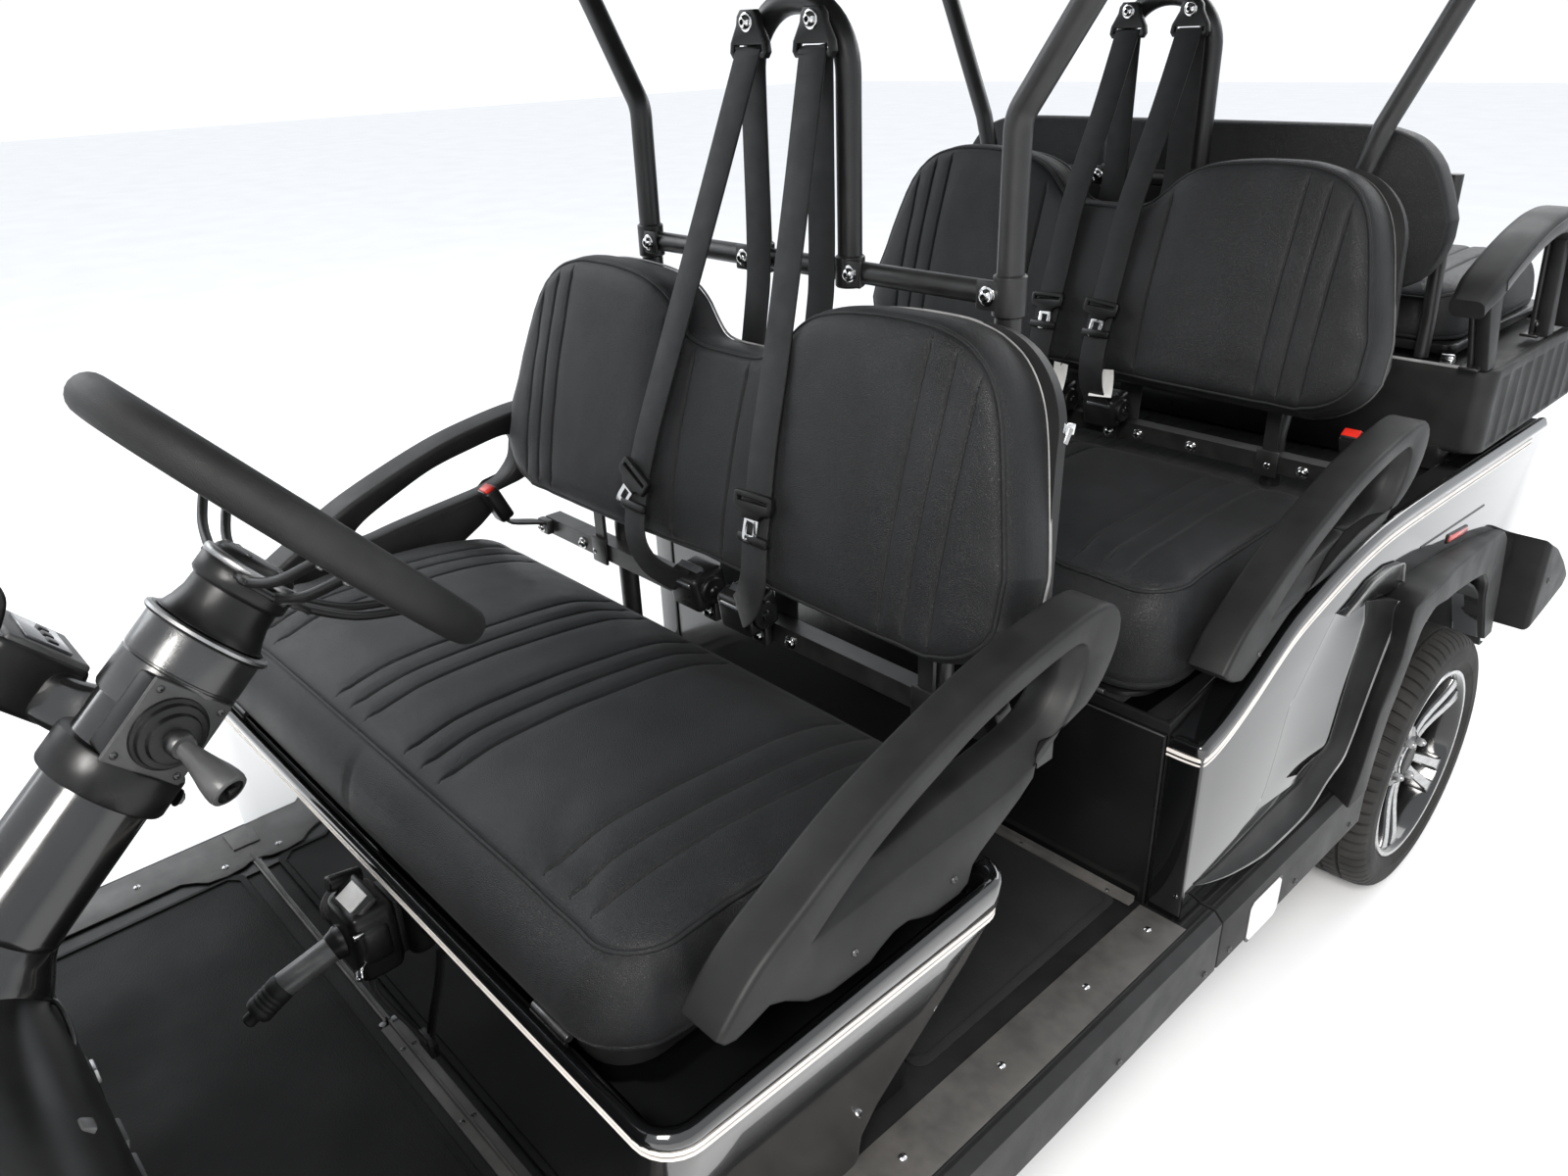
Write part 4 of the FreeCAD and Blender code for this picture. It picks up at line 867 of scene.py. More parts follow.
def bench_cushion(name, body, node, y_lo, y_hi, half, heights, bottom, front_out, side_out, rear_out, front_corner,
                  rear_corner, lines, lift=0.0, seams=(), flip=False, **kw):
    """Bottom cushion; heights: (y, z) of the face along the middle, bottom(y): underside."""
    rf, rr = front_corner, rear_corner

    def rounded(x, r, at, sign):
        x = np.asarray(x, float)
        k = np.clip((x - (half - r)) / r, 0, 0.999)
        return at + sign * r * 0.94 * (1 - np.sqrt(1 - k ** 2))
    lo = lambda x: rounded(x, rf, y_lo, 1)
    hi = lambda x: rounded(x, rr, y_hi, -1)
    zf = curve(heights)
    xs = stations(-half, half, 0.0105, lines=[l for l in lines], ends=0.0028)
    ts = np.unique(np.round(np.concatenate([np.linspace(0, 1, 62), [0.004, 0.009, 0.022, 0.978, 0.991, 0.996]]), 5))

    def height(X, T):
        return zf(T) + 0.004 * (1 - (X / half) ** 2)

    def side(a, c):
        f, r = (front_out, rear_out) if not flip else (rear_out, front_out)
        return side_out * abs(a) ** 2 + (f * c * c if c < 0 else r * c * c)
    wall = [(0.035, 0.16), (0.08, 0.33), (0.15, 0.53), (0.24, 0.72), (0.35, 0.87), (0.47, 0.96), (0.6, 1.0), (0.72, 0.99),
            (0.82, 0.95), (0.885, 0.90), (0.905, 0.84), (0.925, 0.88), (0.965, 0.83), (0.99, 0.74), (1.0, 0.62)]
    return pad(name, body, node, xs, ts, lo, hi, height, side, wall, [(x, y_lo, y_hi) for x in lines],
               lambda x, t, h: (x, t, h), depth_end=lambda x, t: bottom(t), seams=seams, **kw)


SEAT_LINES = [s * x for s in (-1, 1) for x in (0.05, 0.09, 0.13, 0.335, 0.38, 0.42)]
bench_cushion("front_bench_cushion", "front_seat", "front_seat_cushion", 0.040, 0.484, 0.495,
              [(0.03, 0.8225), (0.06, 0.829), (0.10, 0.834), (0.15, 0.837), (0.22, 0.837), (0.30, 0.833), (0.37, 0.827),
               (0.43, 0.816), (0.47, 0.804), (0.50, 0.794)],
              lambda y: 0.7240 + (y - 0.016) * 0.0707, 0.038, 0.017, 0.012, 0.062, 0.035, SEAT_LINES, seams=((-0.02, 0.003),))
bench_cushion("middle_bench_cushion", "middle_seat", "middle_seat_cushion", 0.914, 1.354, 0.495,
              [(0.90, 0.861), (0.93, 0.868), (0.97, 0.873), (1.03, 0.877), (1.12, 0.881), (1.22, 0.884), (1.30, 0.881),
               (1.34, 0.873), (1.36, 0.864)],
              lambda y: 0.7135 + (y - 0.889) * 0.1723, 0.036, 0.017, 0.012, 0.062, 0.035, SEAT_LINES, seams=((-0.02, 0.003),))
bench_cushion("rear_bench_cushion", "flip_seat", "rear_seat_cushion", 1.812, 2.232, 0.474,
              [(1.80, 1.098), (1.83, 1.108), (1.88, 1.115), (1.96, 1.119), (2.06, 1.121), (2.14, 1.121), (2.20, 1.116),
               (2.235, 1.106)],
              lambda y: 1.0218, 0.030, 0.015, 0.012, 0.055, 0.04, SEAT_LINES, flip=True)

BACK_TOP = [(0.0, 0.104), (0.05, 0.1045), (0.08, 0.112), (0.105, 0.132), (0.13, 0.155), (0.16, 0.171), (0.20, 0.181),
            (0.25, 0.186), (0.30, 0.187), (0.34, 0.185), (0.378, 0.176), (0.405, 0.162), (0.427, 0.141), (0.443, 0.115),
            (0.455, 0.083), (0.466, 0.045), (0.476, 0.008), (0.485, -0.026), (0.492, -0.056)]
BACK_LOW = [(0.0, -0.166), (0.10, -0.169), (0.38, -0.171), (0.42, -0.168), (0.448, -0.160), (0.470, -0.146), (0.484, -0.130),
            (0.492, -0.112)]
c15, s15 = math.cos(math.radians(15)), math.sin(math.radians(15))


def bench_back(name, node, dy, dz):
    lines = [0.055, 0.125, 0.345, 0.382, 0.418]
    allx = [s * x for s in (-1, 1) for x in lines]
    xs = stations(-0.492, 0.492, 0.0105, lines=allx, ends=0.0022)
    ts = np.unique(np.round(np.concatenate([np.linspace(0, 1, 48), [0.005, 0.012, 0.03, 0.97, 0.988, 0.995]]), 5))
    top, low = curve(BACK_TOP), curve(BACK_LOW)

    def height(X, T):
        ax = np.abs(X)
        hump = smoothstep((ax - 0.10) / 0.07)
        return -0.004 + 0.011 * hump * (1 - np.clip((ax - 0.29) / 0.22, -1, 1) ** 2 * 0.55) \
            + 0.004 * (1 - np.clip(T / 0.19, -1, 1) ** 2)

    def side(a, c):
        return 0.013 * a * a + 0.012 * c * c
    wall = [(0.05, 0.30), (0.12, 0.55), (0.22, 0.76), (0.35, 0.92), (0.5, 1.0), (0.65, 1.0), (0.8, 0.98), (0.92, 0.96), (1.0, 0.92)]

    def world(x, t, h):
        return (x, 0.560 + dy + t * s15 - h * c15, 1.070 + dz + t * c15 + h * s15)
    ls = []
    for s in (-1, 1):
        for x in (0.345, 0.382, 0.418):
            ls.append((s * x, -0.18, 0.19))
        ls.append((s * 0.125, -0.18, 0.15, 1.3))
        ls.append((s * 0.055, -0.18, 0.12, 1.0))

    def panel(x, t):
        return -0.003 * (np.abs(x) < 0.055) * (1 - np.exp(-((np.abs(x) - 0.055) / 0.01) ** 2))
    return pad(name, "root", node, xs, ts, low, top, height, side, wall, ls, world, drop=0.012, reach=0.032,
               puff=0.0024, groove=0.0028, target=0.006, welt=0.0030, depth_end=lambda x, t: -0.0715, panel=panel, fill=0.8)


bench_back("front_bench_back", "front_seat_back", 0.0, 0.0)
bench_back("middle_bench_back", "middle_seat_back", ROW_Y, ROW_Z)


def rear_back():
    top = curve([(0.0, 1.366), (0.2, 1.366), (0.34, 1.365), (0.38, 1.360), (0.415, 1.346), (0.441, 1.322), (0.458, 1.292),
                 (0.470, 1.262), (0.478, 1.238)])
    low = curve([(0.0, 1.132), (0.3, 1.132), (0.39, 1.133), (0.42, 1.138), (0.446, 1.150), (0.464, 1.170), (0.474, 1.192),
                 (0.478, 1.212)])
    xs = stations(-0.478, 0.478, 0.0105, lines=SEAT_LINES, ends=0.0022)
    ts = np.unique(np.round(np.concatenate([np.linspace(0, 1, 40), [0.005, 0.012, 0.03, 0.97, 0.988, 0.995]]), 5))
    wall = [(0.05, 0.30), (0.12, 0.55), (0.22, 0.76), (0.35, 0.92), (0.5, 1.0), (0.65, 1.0), (0.8, 0.97), (0.9, 0.88), (0.97, 0.66),
            (1.0, 0.40)]
    return pad("rear_bench_back", "root", "rear_seat_back", xs, ts, low, top,
               lambda X, T: 1.744 + 0.004 * (1 - (X / 0.478) ** 2) + 0 * T,
               lambda a, c: 0.012, wall, [(x, 1.13, 1.37) for x in SEAT_LINES],
               lambda x, t, h: (-x, h, t), drop=0.014, reach=0.034, target=0.005, welt=0.003, fill=0.8,
               depth_end=lambda x, t: 1.6655)


rear_back()


# ---------------------------------------------------------------- seat box and its lip
def round_plan(half, y0, y1, rf, rr, k=7):
    """Rounded rectangle in plan, the same number of points whatever its radii."""
    out = []
    for cx, cy, r, a0 in ((half - rr, y1 - rr, rr, 0), (-half + rr, y1 - rr, rr, pi / 2), (-half + rf, y0 + rf, rf, pi),
                          (half - rf, y0 + rf, rf, 1.5 * pi)):
        for i in range(k + 1):
            a = a0 + pi / 2 * i / k
            out.append((cx + r * math.cos(a), cy + r * math.sin(a)))
    full = []
    n = len(out)
    for i in range(n):      # the long sides get more points, so that a sloping rim stays smooth
        p, q = out[i], out[(i + 1) % n]
        full.append(p)
        if i % (k + 1) == k:
            full += [(p[0] + (q[0] - p[0]) * t / 8, p[1] + (q[1] - p[1]) * t / 8) for t in range(1, 8)]
    return full


def ring_stack(b, rings, mat, close=False, mats=None):
    """Joins rings of equally many points; close joins the last to the first."""
    m = len(rings[0])
    base = b.add([p for r in rings for p in r], [], mat)[0]
    n = len(rings)
    for i in range(n if close else n - 1):
        j = (i + 1) % n
        k0 = b.mi(mats[i] if mats else mat)
        for k in range(m):
            k2 = (k + 1) % m
            b.f.append([base + i * m + k, base + i * m + k2, base + j * m + k2, base + j * m + k])
            b.m.append(k0)
    return base


def lip_top(y):
    return 0.7225 + 0.020 * max(0.0, y) / 0.45


def seat_box():
    b = Build("seat_box_body")
    rf, rr = 0.042, 0.030
    rings, mats = [], []

    def ring(half, y0, y1, z, rf_=rf, rr_=rr, mat="gloss_black"):
        rings.append([(x, y, z(y) if callable(z) else z) for x, y in round_plan(half, y0, y1, rf_, rr_)])
        mats.append(mat)
    for z, half, y1 in ((0.3998, 0.534, 0.300), (0.445, 0.538, 0.305), (0.487, 0.546, 0.322), (0.520, 0.552, 0.345), (0.552, 0.558, 0.370),
                        (0.600, 0.568, 0.402), (0.640, 0.576, 0.430), (0.670, 0.582, 0.445), (0.690, 0.5865, 0.453)):
        ring(half, -0.0045, y1, z)
    ring(0.5882, -0.0055, 0.4560, 0.7035)
    ring(0.5905, -0.0085, 0.4580, lambda y: 0.7070)
    ring(0.5920, -0.0100, 0.4590, lambda y: lip_top(y) - 0.0080)
    ring(0.5905, -0.0085, 0.4580, lambda y: lip_top(y) - 0.0030)
    ring(0.5870, -0.0050, 0.4540, lip_top, 0.039, 0.028)
    ring(0.5800, 0.0020, 0.4470, lambda y: lip_top(y) - 0.0020, 0.034, 0.024)
    ring(0.5730, 0.0075, 0.4410, lambda y: lip_top(y) - 0.0075, 0.030, 0.020)
    ring(0.5700, 0.0105, 0.4380, lambda y: lip_top(y) - 0.0150, 0.028, 0.018)
    ring(0.5655, 0.0145, 0.4330, lambda y: lip_top(y) - 0.0250, 0.026, 0.016)
    ring(0.5600, 0.0190, 0.4300, lambda y: lip_top(y) - 0.0300, 0.026, 0.016)
    ring(0.4700, 0.0500, 0.4120, lambda y: lip_top(y) - 0.0305, 0.012, 0.012)
    ring(0.4660, 0.0540, 0.4080, lambda y: lip_top(y) - 0.0345, 0.010, 0.010)
    ring(0.4660, 0.0540, 0.4080, 0.6850, 0.010, 0.010)
    ring(0.5600, 0.0080, 0.4250, 0.6800, 0.03, 0.02)
    ring(0.5240, 0.0060, 0.2900, 0.4600, 0.03, 0.02)
    ring(0.5240, 0.0060, 0.2850, 0.3998, 0.03, 0.02)
    ring_stack(b, rings, "gloss_black", True, mats)
    inner = []
    for z, h in ((0.400, 0.0), (0.684, 0.0), (0.684, 0.008), (0.400, 0.008)):
        inner.append([(x, y, z) for x, y in round_plan(0.500 - h, 0.012 + h, 0.408 - h, 0.02, 0.02)])
    ring_stack(b, inner, "satin_black", True)
    # ledge to the rear wall behind the side skins
    b.done(slot="gloss_body", replaces=("front_seat_box",), sharp=50)
    # pinstripe: two thin raised lines under the lip
    st = Build("seat_box_pinstripe")
    for z0, z1, out in ((0.6965, 0.7015, 0.0016), (0.6905, 0.6938, 0.0014)):
        path_in, rings = [], []
        for dz, dd in ((z0, -0.0015), (z0, out * 0.6), (z0 + (z1 - z0) * 0.25, out), (z0 + (z1 - z0) * 0.75, out), (z1, out * 0.6),
                       (z1, -0.0015)):
            h = 0.5874 + dd
            rings.append([(x, y, dz) for x, y in round_plan(h, -0.0049 - dd, 0.4545 + dd, rf + dd, rr + dd)])
        n = len(rings[0])
        keep = [k for k in range(n) if not (rings[0][k][1] > 0.4485)]
        # the run starts and ends at the rear corners
        start = next(k for k in range(n) if k in keep and (k - 1) % n not in keep)
        order = [(start + i) % n for i in range(len(keep))]
        m = len(rings)
        vs = [rings[j][k] for k in order for j in range(m)]
        fs = []
        for i in range(len(order) - 1):
            for j in range(m):
                j2 = (j + 1) % m
                fs.append([i * m + j, i * m + j2, (i + 1) * m + j2, (i + 1) * m + j])
        fs.append(list(range(m)))
        fs.append([(len(order) - 1) * m + j for j in range(m)][::-1])
        st.add(vs, fs, "pinstripe")
    st.done(slot="gloss_body", sharp=50)


seat_box()


# ---------------------------------------------------------------- armrests
def resample(poly, n, closed=True):
    p = [np.array(q, float) for q in poly]
    if closed:
        p = p + [p[0]]
    run = np.concatenate([[0], np.cumsum([np.linalg.norm(p[i + 1] - p[i]) for i in range(len(p) - 1)])])
    s = np.linspace(0, run[-1], n + 1)[:-1] if closed else np.linspace(0, run[-1], n)
    arr = np.array(p)
    return [tuple(np.interp(x, run, arr[:, k]) for k in range(arr.shape[1])) for x in s]


def fill_between(b, loops, mat):
    """Flat-fills the area between index loops."""
    bm = bmesh.new()
    ids = {}
    for loop in loops:
        vv = [bm.verts.new(b.v[i]) for i in loop]
        for q, i in zip(vv, loop):
            ids[q] = i
        for k in range(len(vv)):
            bm.edges.new((vv[k], vv[(k + 1) % len(vv)]))
    bmesh.ops.triangle_fill(bm, use_beauty=True, use_dissolve=False, edges=list(bm.edges))
    k0 = b.mi(mat)
    for f in bm.faces:
        b.f.append([ids[q] for q in f.verts])
        b.m.append(k0)
    bm.free()


def halves(upper, lower, n):
    """A loop from a front-to-rear upper run and a rear-to-front lower run, half of the points on each."""
    u = resample(smooth_path([(a, c, 0) for a, c in upper], 6), n // 2 + 1, False)[:-1]
    l = resample(smooth_path([(a, c, 0) for a, c in lower], 6), n // 2 + 1, False)[:-1]
    return [(p[0], p[1]) for p in u + l]


def armrest(b, outline, pocket_u, pocket_l, hole_u, hole_l, x_in, x_out, s, dy, dz):
    N = 88
    O = [(p[0] + dy, p[1] + dz) for p in outline]
    if area2(O) < 0:
        O = O[::-1]
    sh = lambda pts: [(a + dy, c + dz) for a, c in pts]
    K = halves(sh(pocket_u), sh(pocket_l), N)
    S = halves(sh(hole_u), sh(hole_l), N)
    if area2(K) < 0:
        K = [K[0]] + K[:0:-1]
    if area2(S) < 0:
        S = [S[0]] + S[:0:-1]
    seg = 4
    rings = [(x_in + 0.007 * (1 - math.cos(pi / 2 * k / seg)), 0.007 * (1 - math.sin(pi / 2 * k / seg))) for k in range(seg + 1)]
    rings += [(x_out - 0.006 * (1 - math.cos(pi / 2 * k / seg)), 0.006 * (1 - math.sin(pi / 2 * k / seg))) for k in range(seg, -1, -1)]
    outer = [[(s * x, q[0], q[1]) for q in inset(O, d)] for x, d in rings]
    m = len(O)
    base = ring_stack(b, outer, "matte_black")
    o_first = [base + k for k in range(m)]
    o_last = [base + (len(outer) - 1) * m + k for k in range(m)]
    chain = [(x_out, K, -0.0012), (x_out - 0.0012, K, 0.0004), (x_out - 0.004, K, 0.0012)]
    pts = []
    for x, loop, d in chain:
        pts.append([(s * x, q[0], q[1]) for q in inset(loop, d)])
    for t in (0.3, 0.6, 0.85, 1.0):
        x = x_out - 0.004 - 0.016 * t
        pts.append([(s * x, a[0] + (c[0] - a[0]) * t, a[1] + (c[1] - a[1]) * t) for a, c in zip(inset(K, 0.0012), S)])
    for x, d in ((x_out - 0.0225, 0.0018), (x_in + 0.006, 0.0018), (x_in + 0.002, 0.0), (x_in, -0.004)):
        pts.append([(s * x, q[0], q[1]) for q in inset(S, d)])
    base2 = ring_stack(b, pts, "matte_black")
    k_first = [base2 + k for k in range(N)]
    k_last = [base2 + (len(pts) - 1) * N + k for k in range(N)]
    fill_between(b, [o_last, k_first], "matte_black")
    fill_between(b, [o_first, k_last], "matte_black")


ARM_TOP = [(0.068, 0.781), (0.077, 0.793), (0.117, 0.830), (0.172, 0.862), (0.220, 0.889), (0.281, 0.917), (0.379, 0.951), (0.455, 0.972),
           (0.543, 0.987), (0.600, 0.992), (0.630, 0.987), (0.648, 0.968), (0.648, 0.942), (0.639, 0.920), (0.620, 0.895),
           (0.595, 0.877)]
ARM_LOW1 = [(0.560, 0.868), (0.522, 0.862), (0.510, 0.853), (0.505, 0.829), (0.480, 0.812), (0.448, 0.795), (0.418, 0.779), (0.408, 0.771),
            (0.401, 0.751), (0.385, 0.744), (0.345, 0.744), (0.325, 0.751), (0.308, 0.759), (0.288, 0.759), (0.268, 0.751),
            (0.254, 0.743), (0.200, 0.7425), (0.172, 0.752), (0.145, 0.772), (0.127, 0.780), (0.105, 0.773), (0.088, 0.769), (0.075, 0.772)]
ARM_LOW2 = [(0.570, 0.866), (0.530, 0.866), (0.500, 0.866), (0.440, 0.862), (0.380, 0.850), (0.300, 0.826), (0.240, 0.808), (0.190, 0.781),
            (0.140, 0.756), (0.122, 0.750), (0.100, 0.757), (0.082, 0.768)]
POCKET_U = [(0.180, 0.820), (0.215, 0.846), (0.250, 0.868), (0.300, 0.893), (0.342, 0.910), (0.411, 0.936), (0.491, 0.954), (0.545, 0.962),
            (0.575, 0.962), (0.588, 0.948), (0.585, 0.925)]
POCKET_L = [(0.585, 0.925), (0.571, 0.896), (0.545, 0.871), (0.515, 0.852), (0.467, 0.838), (0.415, 0.832), (0.360, 0.829), (0.300, 0.827),
            (0.240, 0.823), (0.180, 0.820)]
HOLE_U = [(0.246, 0.848), (0.265, 0.866), (0.290, 0.883), (0.342, 0.906), (0.411, 0.932), (0.491, 0.948), (0.540, 0.955), (0.563, 0.950),
          (0.570, 0.935)]
HOLE_L = [(0.570, 0.935), (0.562, 0.905), (0.540, 0.881), (0.504, 0.868), (0.448, 0.861), (0.400, 0.856), (0.340, 0.849), (0.286, 0.842),
          (0.246, 0.848)]


def armrests():
    for name, node, low, dy, dz in (("front_arm_pair", "front_armrests", ARM_LOW1, 0.0, 0.0),
                                    ("middle_arm_pair", "middle_armrests", ARM_LOW2, 0.852, -0.006)):
        b = Build(name)
        top = resample(smooth_path([(a, c, 0) for a, c in ARM_TOP], 5), 64, False)
        out = [(p[0], p[1]) for p in top] + list(low)
        for s in (1, -1):
            armrest(b, out, POCKET_U, POCKET_L, HOLE_U, HOLE_L, 0.5225, 0.5790, s, dy, dz)
            # screws that hold it to the body
            for y, z in ((0.232, 0.7725), (0.375, 0.772)) if dy == 0 else ((0.160, 0.778),):
                screw(b, (s * 0.579, y + dy, z + dz), (s, 0, 0), 0.0042, "dark_metal")
        b.done(slot="moulded_black", replaces=(node,), sharp=46)


armrests()


# ---------------------------------------------------------------- shoulder belts
def strap(b, pts, width, thick, normal, mat="webbing", n=6, widths=None):
    """Flat webbing through the points. normal: the way its face looks, carried along."""
    path = smooth_path(pts, n)
    p = [Vector(q) for q in path]
    sec = rrect(width, thick, thick * 0.48, 2)
    # ribbed edges: the selvedge is a touch thicker
    vs, m = [], len(sec)
    nv = Vector(normal)
    for i, q in enumerate(p):
        t = ((p[min(i + 1, len(p) - 1)]) - (p[max(i - 1, 0)])).normalized()
        nn = (nv - t * nv.dot(t)).normalized()
        side = t.cross(nn)
        for a, c in sec:
            e = 1.0 + 0.35 * smoothstep((abs(a) - width * 0.40) / (width * 0.06))
            vs.append(q + side * a + nn * (c * float(e)))
    fs = []
    for i in range(len(p) - 1):
        for k in range(m):
            k2 = (k + 1) % m
            fs.append([i * m + k, i * m + k2, (i + 1) * m + k2, (i + 1) * m + k])
    fs.append(list(range(m))[::-1])
    fs.append([(len(p) - 1) * m + k for k in range(m)])
    b.add(vs, fs, mat)
    return p


def loop_plate(b, outer, hole, place, lo, hi, r, mat):
    slab(b, outer, lo, hi, r, place, mat, holes=(hole,), seg=2)


def tongue(b, at, down, face):
    """Buckle tongue: moulded cross bar and plate with its window."""
    d, f = Vector(down).normalized(), Vector(face).normalized()
    f = (f - d * f.dot(d)).normalized()
    s = d.cross(f)
    at = Vector(at)
    place = lambda u, v, w: at + s * u + d * v + f * w
    cross = [(-0.031, -0.011), (-0.027, -0.0135), (0.027, -0.0135), (0.031, -0.011), (0.032, 0.0), (0.030, 0.010), (0.017, 0.0135),
             (0.013, 0.020), (-0.013, 0.020), (-0.017, 0.0135), (-0.030, 0.010), (-0.032, 0.0)]
    slot = [(-0.0245, -0.0055), (0.0245, -0.0055), (0.0245, -0.001), (-0.0245, -0.001)]
    slab(b, cross, -0.0045, 0.0055, 0.0022, place, "satin_black", holes=(slot,), seg=2)
    plate = [(-0.0115, 0.016), (0.0115, 0.016), (0.0122, 0.040), (0.0112, 0.0475), (0.0080, 0.0500), (-0.0080, 0.0500), (-0.0112, 0.0475),
             (-0.0122, 0.040)]
    window = [(-0.0050, 0.0250), (0.0050, 0.0250), (0.0050, 0.0400), (-0.0050, 0.0400)]
    slab(b, plate, -0.0010, 0.0016, 0.0006, place, "chrome", holes=(window,), seg=2)


def d_ring(b, at, n, sx):
    """Pillar loop: moulded frame with a slot for the webbing, on one dome bolt."""
    f = Vector(n).normalized()
    s = Vector((1, 0, 0))
    d = f.cross(s) * -1 if f.cross(s).z > 0 else f.cross(s)
    at = Vector(at)
    place = lambda u, v, w: at + s * u + d * v + f * w
    out = [(-0.013, -0.015), (0.013, -0.015), (0.019, -0.008), (0.021, 0.002), (0.033, 0.022), (0.035, 0.034), (0.030, 0.041), (-0.030, 0.041),
           (-0.035, 0.034), (-0.033, 0.022), (-0.021, 0.002), (-0.019, -0.008)]
    hole = [(-0.0255, 0.0255), (0.0255, 0.0255), (0.0265, 0.0325), (-0.0265, 0.0325)]
    slab(b, out, -0.006, 0.006, 0.003, place, "satin_black", holes=(hole,), seg=2)
    dome_bolt(b, place(0, -0.001, 0.0055), f, 0.0085)


def belts():
    w = 0.047
    for row, dy, dz, dtop in (("front", 0.0, 0.0, 0.0), ("middle", ROW_Y, ROW_Z, 0.0)):
        web = Build(row + "_shoulder_webbing")
        hard = Build(row + "_belt_hardware")
        for s in (1, -1):
            top = (s * 0.058, 0.712 + dy, 1.524)
            if row == "front":
                if s > 0:
                    pts = [top, (0.084, 0.650, 1.350), (0.112, 0.584, 1.180), (0.128, 0.543, 1.080), (0.136, 0.5245, 1.020)]
                    tail = [(0.136, 0.5235, 1.016), (0.140, 0.5110, 0.965), (0.146, 0.5000, 0.920), (0.128, 0.5020, 0.880), (0.092, 0.5200, 0.850),
                            (0.070, 0.5420, 0.838)]
                    at, end = (0.136, 0.5165, 1.016), (0.137, 0.5035, 0.966)
                else:
                    pts = [top, (-0.076, 0.640, 1.330), (-0.092, 0.575, 1.160), (-0.104, 0.540, 1.060), (-0.113, 0.5225, 0.995)]
                    tail = [(-0.113, 0.5215, 0.990), (-0.110, 0.5080, 0.945), (-0.101, 0.4980, 0.905), (-0.086, 0.5040, 0.872), (-0.068, 0.5240, 0.848),
                            (-0.058, 0.5420, 0.838)]
                    at, end = (-0.1135, 0.5150, 0.990), (-0.139, 0.5010, 0.945)
            else:
                pts = [top, (s * 0.057, 0.655 + dy, 1.400), (s * 0.056, 0.584 + dy, 1.180 + dz), (s * 0.055, 0.548 + dy, 1.070 + dz),
                       (s * 0.055, 0.530 + dy, 1.018 + dz)]
                tail = [(s * 0.055, 0.529 + dy, 1.014 + dz), (s * 0.055, 0.514 + dy, 0.965 + dz), (s * 0.056, 0.503 + dy, 0.920 + dz),
                        (s * 0.056, 0.508 + dy, 0.880 + dz), (s * 0.056, 0.526 + dy, 0.850 + dz), (s * 0.056, 0.542 + dy, 0.838 + dz)]
                at, end = (s * 0.055, 0.522 + dy, 1.012 + dz), (s * 0.052, 0.508 + dy, 0.964 + dz)
            strap(web, pts, w, 0.0024, (0, -1, 0.15))
            strap(web, tail, w, 0.0024, (0, -1, 0.1))
            # rear run from the loop down behind the back to the belt bar
            strap(web, [(s * 0.060, 0.7195 + dy, 1.522), (s * 0.0605, 0.7185 + dy, 1.44), (s * 0.061, 0.716 + dy, 1.27 + dz * 0.4),
                        (s * 0.061, 0.706 + dy, 1.19 + dz * 0.7), (s * 0.061, 0.668 + dy, 1.00 + dz), (s * 0.061, 0.636 + dy, 0.84 + dz),
                        (s * 0.061, 0.6325 + dy, 0.775 + dz)],
                  w, 0.0024, (0, -1, 0))
            # turn through the loop
            strap(web, [(s * 0.058, 0.7095 + dy, 1.516), (s * 0.058, 0.7125 + dy, 1.5235), (s * 0.059, 0.7165 + dy, 1.5235),
                        (s * 0.060, 0.7195 + dy, 1.516)], w, 0.0024, (0, 0, 1), n=4)
            d = Vector(end) - Vector(at)
            tongue(hard, at, d, (0.1 if s > 0 else 0.05, -1, 0.2))
            d_ring(hard, (s * 0.058, 0.7145 + dy, 1.553), (0, -1, 0.0), s)
            # stop below the tongue
            q = Vector(tail[1]) + Vector((0, -0.003, 0.006))
            box(hard, q, (0.054, 0.010, 0.013), 0.004, "satin_black", basis((0, 0.25, 1), (1, 0, 0)))
            # retractor by the belt bar
            bar = 0.780 + dz
            cx = s * 0.055
            tilt = basis((0, -0.42, 0.91), (1, 0, 0))
            box(hard, (cx, 0.566 + dy, bar + 0.046), (0.064, 0.058, 0.056), 0.008, "satin_black", basis((0, -0.15, 0.99), (1, 0, 0)), 3)
            box(hard, (cx + s * 0.002, 0.5485 + dy, bar + 0.0665), (0.048, 0.036, 0.010), 0.003, "box_face", basis((0, -0.60, 0.80), (1, 0, 0)), 3)
            box(hard, (cx, 0.548 + dy, bar + 0.070), (0.056, 0.020, 0.006), 0.002, "satin_black", basis((0, -0.35, 0.94), (1, 0, 0)))
            for e in (1, -1):
                xf = frame_at((cx + e * 0.032, 0.566 + dy, bar + 0.046), (e, 0, 0))
                lathe(hard, [(0.021, 0.0), (0.021, 0.004), (0.019, 0.006), (0.008, 0.0065), (0.006, 0.009), (0.003, 0.0095)], xf,
                      "satin_black", seg=22)
            box(hard, (cx, 0.590 + dy, bar + 0.006), (0.030, 0.014, 0.050), 0.003, "powder")
            dome_bolt(hard, (cx, 0.583 + dy, bar - 0.004), (0, -1, 0), 0.0075)
